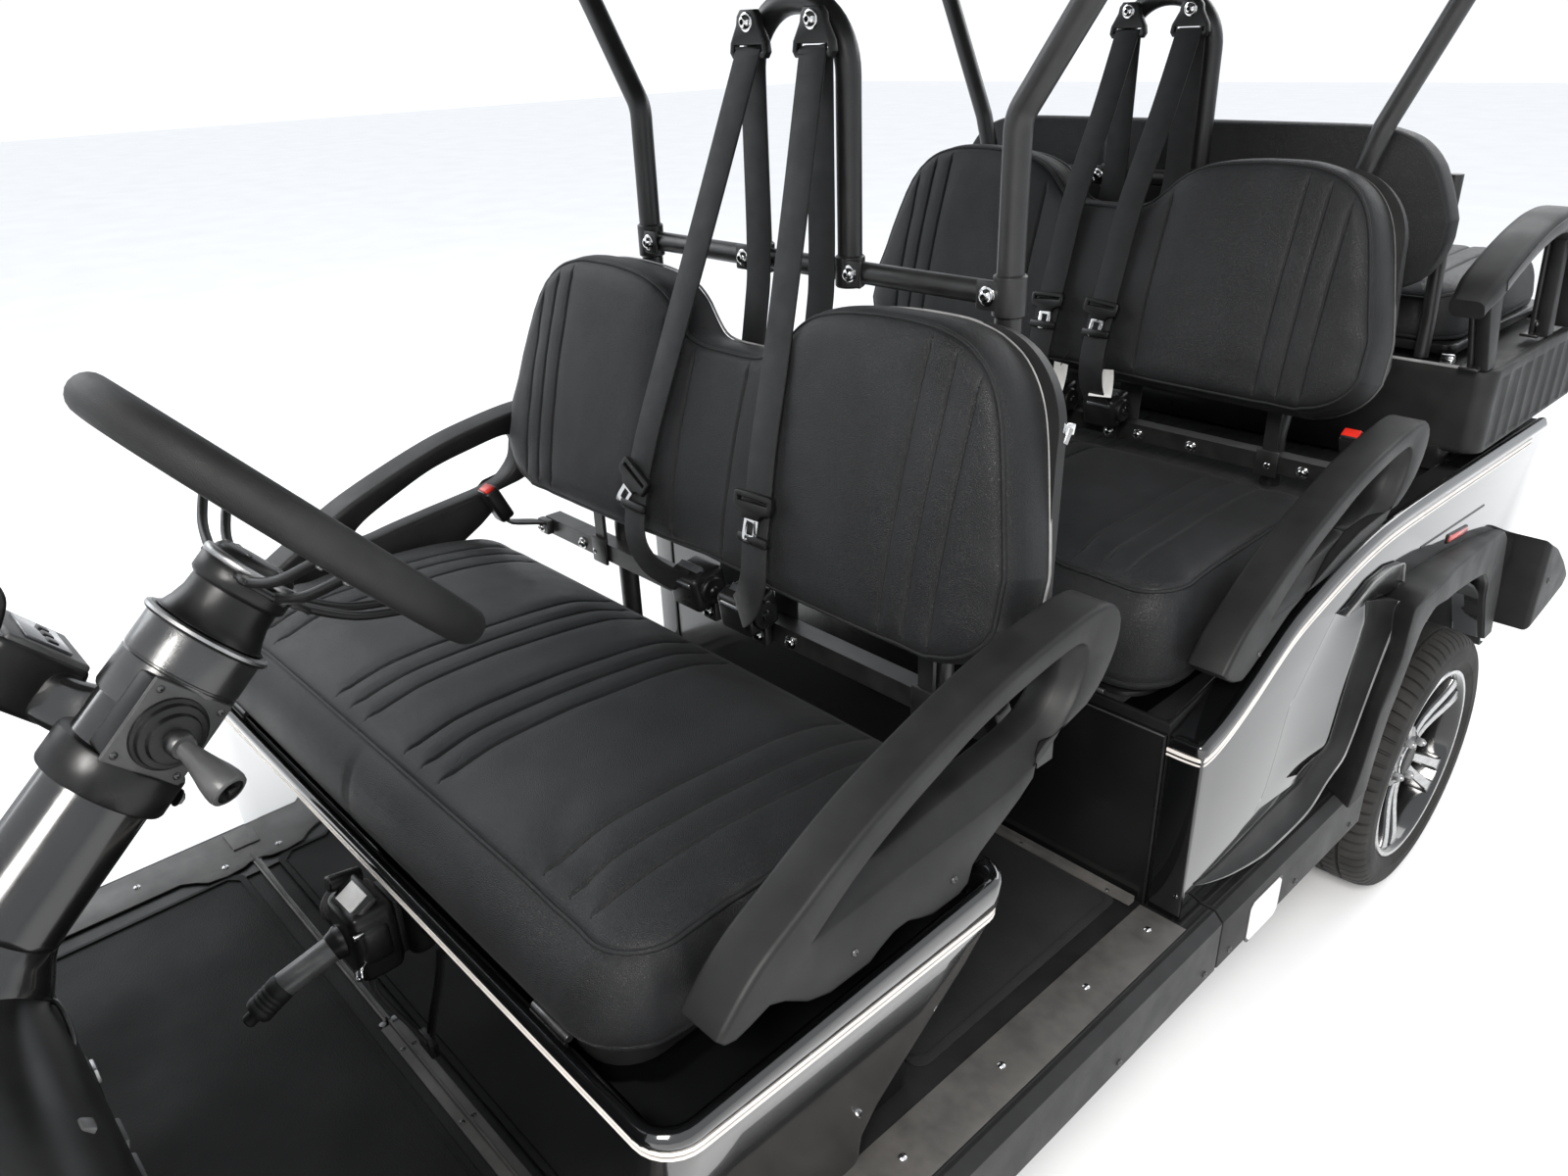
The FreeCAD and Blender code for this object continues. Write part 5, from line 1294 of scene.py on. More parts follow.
            # buckle at the outer end
            bx, by, bz = s * 0.501, 0.541 + dy, bar + 0.072
            if row == "front" and s < 0:
                bx, by, bz = -0.508, 0.503, bar + 0.069
            lean = basis((0.0, -0.42, 0.91), (1, 0, 0))
            box(hard, (bx, by, bz), (0.031, 0.027, 0.064), 0.006, "satin_black", lean, 3)
            up = lean @ Vector((0, 0, 1))
            fr = lean @ Vector((0, 1, 0))
            top_at = Vector((bx, by, bz)) + up * 0.0325
            box(hard, top_at + fr * 0.0, (0.026, 0.017, 0.006), 0.002, "red_button", lean)
            box(hard, top_at - up * 0.002 - fr * 0.0105, (0.022, 0.003, 0.010), 0.001, "dark_metal", lean)
            # webbing stalk of the buckle down to the bar
            low_at = Vector((bx, by, bz)) - up * 0.030
            strap(web, [low_at + up * 0.004, low_at - up * 0.012, (bx, 0.574 + dy, bar + 0.014), (bx, 0.594 + dy, bar + 0.004)], 0.028, 0.0035,
                  (0, -0.6, 0.8), n=4)
            box(hard, (bx, 0.590 + dy, bar + 0.002), (0.030, 0.014, 0.026), 0.003, "dark_metal")
            dome_bolt(hard, (bx, 0.583 + dy, bar + 0.002), (0, -1, 0), 0.007)
        # bolts along the bar
        bar = 0.780 + dz
        for x in ((-0.405, -0.362, 0.105, 0.352) if row == "front" else (-0.352, -0.10, 0.105, 0.21, 0.352, 0.41)):
            dome_bolt(hard, (x, 0.598 + dy, bar - 0.003), (0, -1, 0), 0.0075)
        web.done(slot="seat_vinyl", sharp=50)
        hard.done(slot="moulded_black", replaces=("belt_fittings",), sharp=40)
        # bolts and clamps on the hoop and the roof posts
        cz = 1.260 if row == "front" else 1.285
        fr = Build(row + "_frame_bolts")
        for s in (1, -1):
            for x, r in ((0.103, 0.0085), (0.322, 0.0085)):
                box(fr, (s * x, 0.7275 + dy, cz), (0.034, 0.006, 0.034), 0.0025, "powder")
                dome_bolt(fr, (s * x, 0.7245 + dy, cz), (0, -1, 0), r)
            lathe(fr, [(0.0175, -0.020), (0.0195, -0.018), (0.0195, 0.018), (0.0175, 0.020)], frame_at((s * 0.086, 0.743 + dy, cz), (0, 0, 1)),
                  "powder", seg=24)
            lathe(fr, [(0.0175, -0.024), (0.0198, -0.022), (0.0198, 0.022), (0.0175, 0.024)], frame_at((s * 0.340, 0.743 + dy, cz), (0, 0, 1)),
                  "powder", seg=24)
            # foot plates of the back's straps
            box(fr, (s * 0.350, 0.5945 + dy, bar + 0.001), (0.040, 0.006, 0.046), 0.003, "powder")
        fr.done(slot="frame_steel", sharp=40)


belts()


def shell_rims():
    """Edge bead where each back's cushion meets its shell, coloured pale as a painted highlight, brighter on the first
    back than on the middle one.
    """
    b = Build("back_shell_edging")
    top, low = curve(BACK_TOP), curve(BACK_LOW)
    xs = np.concatenate([np.linspace(-0.492, -0.40, 26), np.linspace(-0.38, 0.38, 60), np.linspace(0.40, 0.492, 26)])
    loop = [(x, float(low(abs(x)))) for x in xs] + [(x, float(top(abs(x)))) for x in xs[::-1]]
    out = [(q[0], q[1]) for q in inset(loop, -0.0128)]
    for dy, dz in ((0.0, 0.0), (ROW_Y, ROW_Z)):
        pts = [(x, 0.560 + dy + t * s15 + 0.0735 * c15, 1.070 + dz + t * c15 - 0.0735 * s15) for x, t in out]
        # painted highlight: pale grey on the first back, a dimmer grey on the middle back
        sweep(b, resample(pts, 240), rrect(0.0034, 0.0026, 0.0010, 2), "painted_edge_highlight" if dy == 0.0 else "grey_dark", closed=True)
    # small bright clip on the first shell's near edge
    box(b, (0.5035, 0.634, 1.162), (0.006, 0.016, 0.013), 0.0018, "chrome", basis((0, 0.26, 0.97), (1, 0, 0)), 3)
    box(b, (0.5060, 0.629, 1.156), (0.003, 0.008, 0.018), 0.0012, "satin_metal", basis((0, 0.5, 0.86), (1, 0, 0)), 2)
    b.done(slot="moulded_black", sharp=60)
    t = Build("middle_belt_tags")
    for x, z, w, h, y, lean in ((-0.020, 0.962, 0.029, 0.052, 1.392, 0.06), (0.070, 0.968, 0.046, 0.048, 1.390, -0.10)):
        m = basis((lean, 0.16, 0.98), (0, -1, 0))
        rows = []
        for j in range(9):
            v = (j / 8 - 0.5) * h
            bow = 0.0030 * (1 - (2 * j / 8 - 1) ** 2)
            rows.append([tuple(Vector((x, y, z)) + m @ Vector((d - bow, u * w, v))) for u, d in
                         ((-0.5, 0.0004), (-0.5, -0.0004), (-0.2, -0.0004 - 0.0008), (0.2, -0.0004 - 0.0008), (0.5, -0.0004), (0.5, 0.0004), (0.2, -0.0004), (-0.2, -0.0004))])
        base = ring_stack(t, rows, "blank_label")
        t.f.append([base + k for k in range(8)][::-1])
        t.m.append(t.mi("blank_label"))
        t.f.append([base + 64 + k for k in range(8)])
        t.m.append(t.mi("blank_label"))
        top = Vector((x, y, z)) + m @ Vector((0, 0, h * 0.5))
        tube(t, smooth_path([tuple(top + Vector((0, 0, -0.004))), tuple(top + Vector((0.006, -0.003, 0.010))), tuple(top + Vector((0.012 if x < 0 else -0.006, 0.002, 0.024)))], 5),
             0.0009, "webbing", seg=6)
    t.done(slot="seat_vinyl", sharp=60)


shell_rims()


# ---------------------------------------------------------------- steering
WC = Vector((0.250, -0.067, 1.208))
AX = Vector((0, 0.743145, 0.669131))
E1 = Vector((1, 0, 0))
E2 = Vector((0, 0.669131, -0.743145))


def on_wheel(a, c, d):
    return WC + E1 * a + E2 * c + AX * d


def steering():
    b = Build("steering_wheel_rim")
    n = 96
    ring = [on_wheel(0.160 * math.cos(2 * pi * k / n), 0.160 * math.sin(2 * pi * k / n), 0) for k in range(n)]
    sec = []
    for k in range(20):     # slightly flattened grip
        a = 2 * pi * k / 20
        sec.append((0.0165 * math.cos(a), 0.0158 * math.sin(a)))
    scales = [1.0 + 0.018 * math.sin(2 * pi * k / n * 24) ** 8 * 0 for k in range(n)]
    sweep(b, ring, sec, "grip", closed=True, up=AX, scales=scales)
    for th in (181, 352, 94):
        t = math.radians(th)
        u = E1 * math.cos(t) + E2 * math.sin(t)
        v = E1 * -math.sin(t) + E2 * math.cos(t)
        for e in (1, -1):
            pts = [WC + u * 0.022 + v * (e * 0.014) - AX * 0.058, WC + u * 0.050 + v * (e * 0.0125) - AX * 0.056,
                   WC + u * 0.095 + v * (e * 0.0115) - AX * 0.042, WC + u * 0.132 + v * (e * 0.0115) - AX * 0.018,
                   WC + u * 0.150 + v * (e * 0.0115) - AX * 0.006]
            tube(b, smooth_path(pts, 6), 0.0042, "satin_black", seg=10)
        # small plate under the rim, and one at the hub
        m = Matrix((E1 * 0 + u, v, AX)).transposed()
        box(b, WC + u * 0.1440 - AX * 0.0135, (0.026, 0.038, 0.005), 0.002, "satin_black", m)
        box(b, WC + u * 0.036 - AX * 0.0575, (0.034, 0.040, 0.005), 0.002, "satin_black", m)
        for e in (1, -1):
            dome_bolt(b, WC + u * 0.146 + v * (e * 0.011) - AX * 0.016, -AX, 0.003, "dark_metal", False)
    xf = frame_at(WC, AX, (1, 0, 0))
    # horn cap, bright ring, tapered boss
    lathe(b, [(0.010, -0.0395), (0.024, -0.0400), (0.030, -0.0420), (0.0325, -0.0450), (0.0335, -0.0475)], xf, "satin_black", seg=48)
    lathe(b, [(0.0335, -0.0475), (0.0380, -0.0480), (0.0392, -0.0500), (0.0392, -0.0530), (0.0380, -0.0545), (0.0360, -0.0550)], xf,
          "satin_metal", seg=64)
    lathe(b, [(0.0375, -0.0545), (0.0385, -0.0560), (0.0385, -0.0690), (0.0370, -0.0710), (0.0345, -0.0730), (0.0350, -0.0850),
              (0.0380, -0.0960), (0.0410, -0.1030), (0.0440, -0.1050)], xf, "satin_black", seg=64)
    for k in range(6):
        t = 2 * pi * k / 6 + 0.3
        screw(b, WC + E1 * (0.027 * math.cos(t)) + E2 * (0.027 * math.sin(t)) - AX * 0.0412, AX, 0.0028, "dark_metal")
    b.done("steering_wheel", "grip", ("steering_wheel",), sharp=45)

    c = Build("steering_column_body")
    # flange with a bright edge, satin collar with its seam, then the tube and boot
    lathe(c, [(0.034, -0.1060), (0.0470, -0.1062), (0.0500, -0.1075), (0.0505, -0.1100), (0.0490, -0.1120)], xf, "satin_black", seg=64,
          mats=[None, "satin_metal", "satin_metal", None])
    lathe(c, [(0.0455, -0.1110), (0.0462, -0.1130), (0.0462, -0.1415), (0.0452, -0.1425), (0.0452, -0.1435), (0.0462, -0.1445),
              (0.0462, -0.1760), (0.0450, -0.1785), (0.0430, -0.1790)], xf, "satin_collar", seg=64)
    lathe(c, [(0.0415, -0.1780), (0.0420, -0.1800), (0.0420, -0.3560), (0.0427, -0.3575), (0.0427, -0.3620), (0.0420, -0.3635),
              (0.0425, -0.3640), (0.0465, -0.3740), (0.0530, -0.3850), (0.0600, -0.3980), (0.0630, -0.4100), (0.0620, -0.4300)], xf,
          "column_gloss", seg=64)
    # switch body on the near side: square plate, stepped round base, barrel, stalk
    p0 = Vector((0.2905, -0.2035, 1.0900))
    nrm = Vector((0.93, 0.10, -0.10)).normalized()
    m = basis(nrm, AX)
    box(c, p0 - nrm * 0.010, (0.066, 0.064, 0.026), 0.004, "satin_black", m, 3)
    box(c, p0 + nrm * 0.0045, (0.070, 0.068, 0.005), 0.002, "grey_dark", m, 2)
    f2 = Matrix.Translation(p0 + nrm * 0.006) @ m.to_4x4()
    lathe(c, [(0.0295, 0.0), (0.0290, 0.0035), (0.0262, 0.0045), (0.0255, 0.0085), (0.0205, 0.0095), (0.0195, 0.0135), (0.0140, 0.0150)],
          f2, "satin_black", seg=40)
    lathe(c, [(0.0100, 0.0140), (0.0105, 0.0160), (0.0105, 0.0240), (0.0090, 0.0260)], f2, "dark_metal", seg=28)
    root = p0 + nrm * 0.026
    tip = root + Vector((0.046, 0.0135, -0.0260))
    d = (tip - root).normalized()
    f3 = Matrix.Translation(root) @ basis(d, (0, 0, 1)).to_4x4()
    length = (tip - root).length
    prof = [(0.0068, -0.004), (0.0072, 0.006), (0.0078, 0.012), (0.0092, 0.020), (0.0112, 0.030), (0.0134, 0.040), (0.0146, 0.048),
            (0.0148, 0.053), (0.0140, 0.0565), (0.0118, 0.0580), (0.0104, 0.0578), (0.0098, 0.0555), (0.0040, 0.0550)]
    k = length / 0.058
    lathe(c, [(r, h * k) for r, h in prof], f3, "grey_knob", seg=36, mats=[None] * 10 + ["satin_black"] * 2)
    box(c, tip + d * 0.0005, (0.010, 0.007, 0.004), 0.0012, "satin_black", basis(d, (0, 0, 1)))
    for e1, e2 in ((1, 1), (1, -1), (-1, 1), (-1, -1)):
        q = p0 + m @ Vector((e1 * 0.028, e2 * 0.027, 0.007))
        screw(c, q, nrm, 0.0030, "dark_metal")
    # neck and pod on the far side
    pod_c = Vector((0.112, -0.262, 1.098))
    pm = basis(AX, (1, 0, 0))
    neck = [WC + AX * -0.215 + E1 * -0.030, WC + AX * -0.212 + E1 * -0.062, Vector((0.166, -0.240, 1.072)), pod_c + Vector((0.018, 0.006, -0.014))]
    sweep(c, smooth_path(neck, 6), rrect(0.046, 0.034, 0.012, 3), "column_gloss", up=AX)
    box(c, pod_c, (0.088, 0.074, 0.056), 0.007, "satin_black", pm, 3)
    box(c, pod_c + AX * 0.027, (0.082, 0.068, 0.008), 0.003, "grey_dark", pm, 3)
    box(c, pod_c + AX * 0.032 + E1 * 0.004, (0.056, 0.038, 0.003), 0.001, "box_face", pm, 2)
    for i in range(3):
        box(c, pod_c + AX * 0.0335 + E1 * (-0.012 + i * 0.016) + E2 * 0.004, (0.011, 0.009, 0.003), 0.001, "satin_black", pm, 2)
    wire = [pod_c + AX * 0.020 + E1 * 0.030 - E2 * 0.036, pod_c + AX * 0.052 + E1 * 0.040 - E2 * 0.052, pod_c + AX * 0.060 + E1 * 0.016 - E2 * 0.070,
            pod_c + AX * 0.050 - E1 * 0.022 - E2 * 0.066, pod_c + AX * 0.018 - E1 * 0.036 - E2 * 0.036]
    tube(c, smooth_path(wire, 8), 0.0028, "satin_black", seg=10)
    # upper bracket clamp and its bolts
    lathe(c, [(0.0425, -0.214), (0.0490, -0.2150), (0.0500, -0.2170), (0.0500, -0.2440), (0.0490, -0.2460), (0.0425, -0.2470)], xf, "satin_black", seg=48)
    for e in (1, -1):
        hex_bolt(c, WC + AX * -0.2305 + E2 * (0.0495) + E1 * (0.016 * e), E2, 0.0048, "dark_metal")
    c.done("root", "frame_steel", ("steering_column",), sharp=42)


steering()


# ---------------------------------------------------------------- drive selector
def selector():
    b = Build("drive_selector_unit")
    box(b, (0.071, -0.0345, 0.646), (0.072, 0.054, 0.094), 0.013, "satin_black", seg=4)
    box(b, (0.071, -0.036, 0.650), (0.078, 0.036, 0.052), 0.010, "satin_black", seg=3)
    box(b, (0.071, -0.0055, 0.646), (0.052, 0.010, 0.072), 0.002, "matte_black")
    # cap with the bare plate, small roller beside it
    tilt = basis((0.12, -0.50, 0.86), (1, 0, 0))
    box(b, (0.074, -0.040, 0.6945), (0.052, 0.038, 0.010), 0.004, "satin_black", tilt, 3)
    box(b, (0.074, -0.0425, 0.6995), (0.032, 0.025, 0.003), 0.001, "blank_label", tilt)
    lathe(b, [(0.008, 0.0), (0.0098, 0.002), (0.0098, 0.036), (0.0085, 0.038)], frame_at((0.044, -0.056, 0.706), (0, 0.985, -0.17)),
          "satin_black", seg=24)
    box(b, (0.046, -0.034, 0.698), (0.014, 0.030, 0.014), 0.003, "satin_black")
    # ribbed dial at its inner end
    prof = [(0.012, 0.0)]
    for i in range(7):
        prof += [(0.0185, 0.0012 + i * 0.0022), (0.0185, 0.0024 + i * 0.0022), (0.0172, 0.0027 + i * 0.0022)]
    prof += [(0.016, 0.0175), (0.010, 0.0185)]
    lathe(b, prof, frame_at((0.036, -0.044, 0.664), (-0.80, -0.52, 0.1)), "grey_dark", seg=36)
    # bright hook, strip and bolts
    box(b, (0.1085, -0.055, 0.673), (0.003, 0.012, 0.006), 0.001, "chrome")
    tube(b, smooth_path([(0.104, -0.052, 0.632), (0.112, -0.062, 0.630), (0.114, -0.064, 0.622), (0.106, -0.066, 0.617), (0.098, -0.062, 0.619)], 6),
         0.0022, "chrome", seg=10)
    for x, z in ((0.050, 0.612), (0.094, 0.612)):
        hex_bolt(b, (x, -0.0612, z), (0, -1, 0), 0.004, "satin_metal")
    # lever: collar, satin tube, rubber tip with its button
    a, c = Vector((0.0635, -0.050, 0.6440)), Vector((0.0500, -0.1760, 0.5880))
    m1 = Vector((0.0570, -0.1310, 0.6180))
    d = (m1 - a).normalized()
    f = frame_at(a, d)
    L = (m1 - a).length
    lathe(b, [(0.0190, 0.000), (0.0200, 0.004), (0.0200, 0.012), (0.0180, 0.016), (0.0165, 0.022), (0.0155, 0.024)], f, "satin_black", seg=32)
    lathe(b, [(0.0140, 0.015), (0.0150, 0.018), (0.0150, L - 0.002), (0.0144, L)], f, "grey_knob", seg=32)
    d2 = (c - m1).normalized()
    f2 = frame_at(m1 - d2 * 0.004, d2)
    prof = [(0.0145, 0.0), (0.0158, 0.003), (0.0160, 0.008)]
    for i in range(4):
        prof += [(0.0160, 0.012 + i * 0.0056), (0.0155, 0.0130 + i * 0.0056), (0.0155, 0.0146 + i * 0.0056), (0.0160, 0.0156 + i * 0.0056)]
    prof += [(0.0160, 0.0370), (0.0146, 0.0405), (0.0090, 0.0420), (0.0080, 0.0440), (0.0080, 0.0530), (0.0062, 0.0550)]
    lathe(b, prof, f2, "grip", seg=28)
    # two leads to the panel behind it
    for dx in (0.0, 0.010):
        tube(b, smooth_path([(0.078 + dx, -0.040, 0.602), (0.080 + dx, -0.046, 0.580), (0.086 + dx, -0.036, 0.545), (0.090 + dx, -0.018, 0.500),
                             (0.092 + dx, -0.0075, 0.470), (0.092 + dx, -0.0035, 0.462)], 6), 0.0028, "rubber", seg=8)
    box(b, (0.097, -0.0065, 0.466), (0.034, 0.007, 0.022), 0.002, "matte_black")
    b.done("root", "moulded_black", ("drive_selector",), sharp=40)


selector()


# ---------------------------------------------------------------- floor trims
def floor_trims():
    b = Build("floor_trims")
    z = 0.3997
    # ribbed mats
    for y0, y1, hx in ((-0.560, -0.030, 0.488), (0.425, 0.862, 0.500)):
        plan = [(q[0], q[1]) for q in round_plan(hx, y0, y1, 0.02, 0.02)]
        slab(b, plan, 0.3962, 0.4002, 0.0012, lambda u, v, w: (u, v, w), "mat_rubber")
        edge = inset(plan, 0.010)
        sweep(b, resample([(q[0], q[1], 0.4003) for q in edge], 120), rrect(0.0055, 0.0016, 0.0006, 2), "mat_rubber", closed=True, up=(0, 0, 1))
    # bright angle along the foot of the seat box, with its screws
    for y, hx in ((-0.0045, 0.515), (0.8690, 0.520)):
        slab(b, [(0.0, 0.0), (-0.0045, 0.0), (-0.0045, 0.0014), (-0.0014, 0.0016), (-0.0014, 0.006), (0.0, 0.006)], -hx, -0.040, 0.0003,
             lambda u, v, w: (w, y + u, 0.4004 + v), "grey_strip", seg=1)
        L = [(0.0, 0.0), (-0.0135, 0.0), (-0.0135, 0.0016), (-0.0018, 0.0018), (-0.0018, 0.010), (0.0, 0.010)]
        slab(b, L, -0.030, hx, 0.0004, lambda u, v, w: (w, y + u, 0.4004 + v), "grey_strip", seg=1)
        for i in range(4):
            screw(b, (0.02 + (hx - 0.06) * i / 3, y - 0.0075, 0.4018), (0, 0, 1), 0.0032, "dark_metal")
        lathe(b, [(0.0055, 0.0), (0.0058, 0.0012), (0.0045, 0.0030), (0.0015, 0.0034)], frame_at((-0.0350, y - 0.0080, 0.4004), (0, 0, 1)), "dark_metal", seg=20)
    # sill strips on both sides: two lengths that overlap in rounded tabs
    for s in (1, -1):
        front = [(0.600, -0.640), (0.600, 0.045), (0.560, 0.060), (0.500, 0.078), (0.488, 0.070), (0.484, 0.045), (0.488, 0.015), (0.497, 0.004),
                 (0.497, -0.012), (0.490, -0.024), (0.487, -0.050), (0.492, -0.078), (0.506, -0.092), (0.518, -0.110), (0.520, -0.640)]
        slab(b, front, z + 0.0005, z + 0.0035, 0.0012, lambda u, v, w: (s * u, v, w), "grey_strip")
        rear = [(0.602, 0.048), (0.602, 0.868), (0.530, 0.868), (0.528, 0.110), (0.560, 0.072), (0.585, 0.060)]
        slab(b, rear, z + 0.0002, z + 0.0028, 0.0011, lambda u, v, w: (s * u, v, w), "grey_strip")
        slab(b, [(0.540, -0.022), (0.592, -0.022), (0.592, 0.012), (0.540, 0.012)], z + 0.003, z + 0.0062, 0.001,
             lambda u, v, w: (s * u, v, w), "grey_strip")
        for x, y in ((0.510, -0.046), (0.500, 0.034), (0.560, -0.160), (0.560, -0.300), (0.560, -0.440), (0.560, -0.590)):
            screw(b, (s * x, y, z + 0.0035), (0, 0, 1), 0.0052, "chrome")
        for y in (0.14, 0.32, 0.50, 0.68, 0.83):
            screw(b, (s * 0.565, y, z + 0.0028), (0, 0, 1), 0.0052, "chrome")
    b.done("root", "floor_rubber", (), sharp=40)


floor_trims()


# ---------------------------------------------------------------- rear body
def corner_path(pts, r, k=4):
    """Open polyline with its inner corners rounded."""
    p = [np.array(q, float) for q in pts]
    out = [p[0]]
    for i in range(1, len(p) - 1):
        a, c = p[i - 1] - p[i], p[i + 1] - p[i]
        la, lc = np.linalg.norm(a), np.linalg.norm(c)
        rr = min(r, 0.45 * la, 0.45 * lc)
        a, c = p[i] + a / la * rr, p[i] + c / lc * rr
        for j in range(k + 1):
            t = j / k
            out.append((1 - t) ** 2 * a + 2 * t * (1 - t) * p[i] + t * t * c)
    out.append(p[-1])
    return out


def loft(b, rings, mat, mats=None, ends=True, closed=True, end_mat=None):
    """Rings of points joined in order; mats go with the points round a ring."""
    m = len(rings[0])
    base = b.add([p for r in rings for p in r], [], mat)[0]
    for i in range(len(rings) - 1):
        for k in range(m if closed else m - 1):
            k2 = (k + 1) % m
            b.f.append([base + i * m + k, base + i * m + k2, base + (i + 1) * m + k2, base + (i + 1) * m + k])
            b.m.append(b.mi(mats[k] if mats and mats[k] else mat))
    if ends:
        b.f.append([base + k for k in range(m)][::-1])
        b.m.append(b.mi(end_mat or mat))
        b.f.append([base + (len(rings) - 1) * m + k for k in range(m)])
        b.m.append(b.mi(end_mat or mat))


SIDE_TOP = smooth_path([(0.873, 0.690, 0), (0.935, 0.706, 0), (1.0, 0.735, 0), (1.055, 0.766, 0), (1.11, 0.793, 0), (1.18, 0.813, 0), (1.25, 0.829, 0),
                        (1.33, 0.842, 0), (1.42, 0.849, 0), (1.60, 0.848, 0), (1.85, 0.843, 0), (2.108, 0.838, 0)], 4)
ARCH = [(2.110, 0.430), (2.088, 0.3998), (2.030, 0.3998), (1.990, 0.470), (1.930, 0.560), (1.856, 0.608), (1.800, 0.628), (1.620, 0.669), (1.497, 0.689),
        (1.452, 0.662), (1.423, 0.600), (1.393, 0.533), (1.375, 0.459), (1.371, 0.3998)]


def body_sides():
    b = Build("body_side_panels")
    top = [(p[0], p[1]) for p in SIDE_TOP]
    # panel just under the rolled lip, its lower edge round the wheel arch
    outline = [(0.875, 0.3998)] + [(p[0] + (0.002 if i == 0 else 0), p[1] - 0.010) for i, p in enumerate(top)] + ARCH
    for s in (1, -1):
        slab(b, outline, 0.536, 0.5872, 0.0035, lambda u, v, w: (s * w, u, v), "gloss_black", seg=3)
        # rolled lip
        lip = [(s * 0.5805, p[0], p[1] - 0.0095) for p in top]
        lip[0] = (s * 0.5805, 0.8745, lip[0][2])
        path = [(s * 0.545, 0.8805, lip[0][2]), (s * 0.570, 0.8805, lip[0][2])] + lip[1:]
        path = corner_path(path[:2] + [(s * 0.5805, 0.8805, lip[0][2])] + lip[1:], 0.010, 5)
        sweep(b, path, rrect(0.021, 0.0175, 0.006, 3), "gloss_black", up=(0, 0, 1))
        # top ledge inside the lip, over the wheel and beside the bench
        rings = []
        for p in top[::2]:
            y = max(p[0], 0.880)
            rings.append([(s * 0.578, y, p[1] - 0.0030), (s * 0.578, y, p[1] - 0.012), (s * 0.5365, y, p[1] - 0.012), (s * 0.5365, y, p[1] - 0.0045)])
        loft(b, rings, "gloss_black")
    b.done("root", "gloss_body", ("body_sides",), sharp=42)
    st = Build("body_side_pinstripes")
    for s in (1, -1):
        for dz, w in ((-0.0262, 0.0055), (-0.0338, 0.0030)):
            side = [(s * 0.5878, p[0], p[1] + dz) for p in top if p[0] > 0.89 and p[0] < 2.09]
            path = [(s * 0.5360, 0.8745, side[0][2] - 0.004), (s * 0.560, 0.8745, side[0][2] - 0.004), (s * 0.5878, 0.8745, side[0][2] - 0.002)] + side
            path = corner_path(path, 0.010, 5)
            sweep(st, path, rrect(w, 0.0018, 0.0007, 2), "pinstripe", up=(0, 0, 1))
        # long slit and red side marker over the arch
        path = [(s * 0.5874, 1.545 + 0.295 * i / 12, 0.7560 - 0.014 * (i / 12)) for i in range(13)]
        sweep(st, path, rrect(0.0042, 0.0014, 0.0006, 2), "satin_black", up=(0, 0, 1))
        tilt = Matrix.Rotation(-0.11, 3, "X")
        box(st, (s * 0.5890, 1.718, 0.7250), (0.006, 0.090, 0.012), 0.0028, "lens_red", tilt, 3)
        box(st, (s * 0.5878, 1.718, 0.7250), (0.005, 0.096, 0.017), 0.0022, "satin_black", tilt, 2)
    st.done("root", "gloss_body", (), sharp=50)
    # seat box behind the panels: front with dark joint lines at its sides and a grey line along its top edge as painted
    # highlight, deep tub behind
    m = Build("middle_box_body")
    front = [(-0.5335, 0.3998), (0.5335, 0.3998), (0.5335, 0.686), (-0.5335, 0.686)]
    slab(m, front, 0.8735, 0.8815, 0.002, lambda u, v, w: (u, w, v), "gloss_panel")
    for s in (1, -1):
        sweep(m, [(s * 0.5312, 0.8728, 0.402), (s * 0.5312, 0.8728, 0.684)], rrect(0.0032, 0.0026, 0.001, 2), "satin_black", up=(1, 0, 0))
    # painted highlight: grey line along the front panel's top edge
    sweep(m, [(-0.531, 0.8728, 0.6845), (0.531, 0.8728, 0.6845)], rrect(0.002, 0.0020, 0.0008, 2), "grey_dark", up=(0, 0, 1))
    zt = lambda y: 0.6985 + (y - 0.873) * (0.783 - 0.698) / 0.52 if y < 1.39 else 0.783 + (y - 1.39) * 0.0085
    outer, inner = [], []
    plan = [(-0.534, 0.8805), (0.534, 0.8805), (0.534, 1.380), (0.400, 1.380), (0.400, 2.094), (-0.400, 2.094), (-0.400, 1.380), (-0.534, 1.380)]
    rings = []
    for d, z in ((0.0, None), (0.0, 1), (0.002, 2), (0.006, 2), (0.008, 1), (0.008, None)):
        q = inset(plan, d)
        rings.append([(p[0], p[1], 0.3999 if z is None else (zt(p[1]) - (0.0025 if z == 1 else 0.0))) for p in q])
    ring_stack(m, rings, "satin_black", True)
    # cross wall under the bench back
    box(m, (0, 1.368, 0.745), (1.060, 0.012, 0.085), 0.003, "satin_black")
    m.done("root", "gloss_body", ("middle_seat_box",), sharp=42)


body_sides()


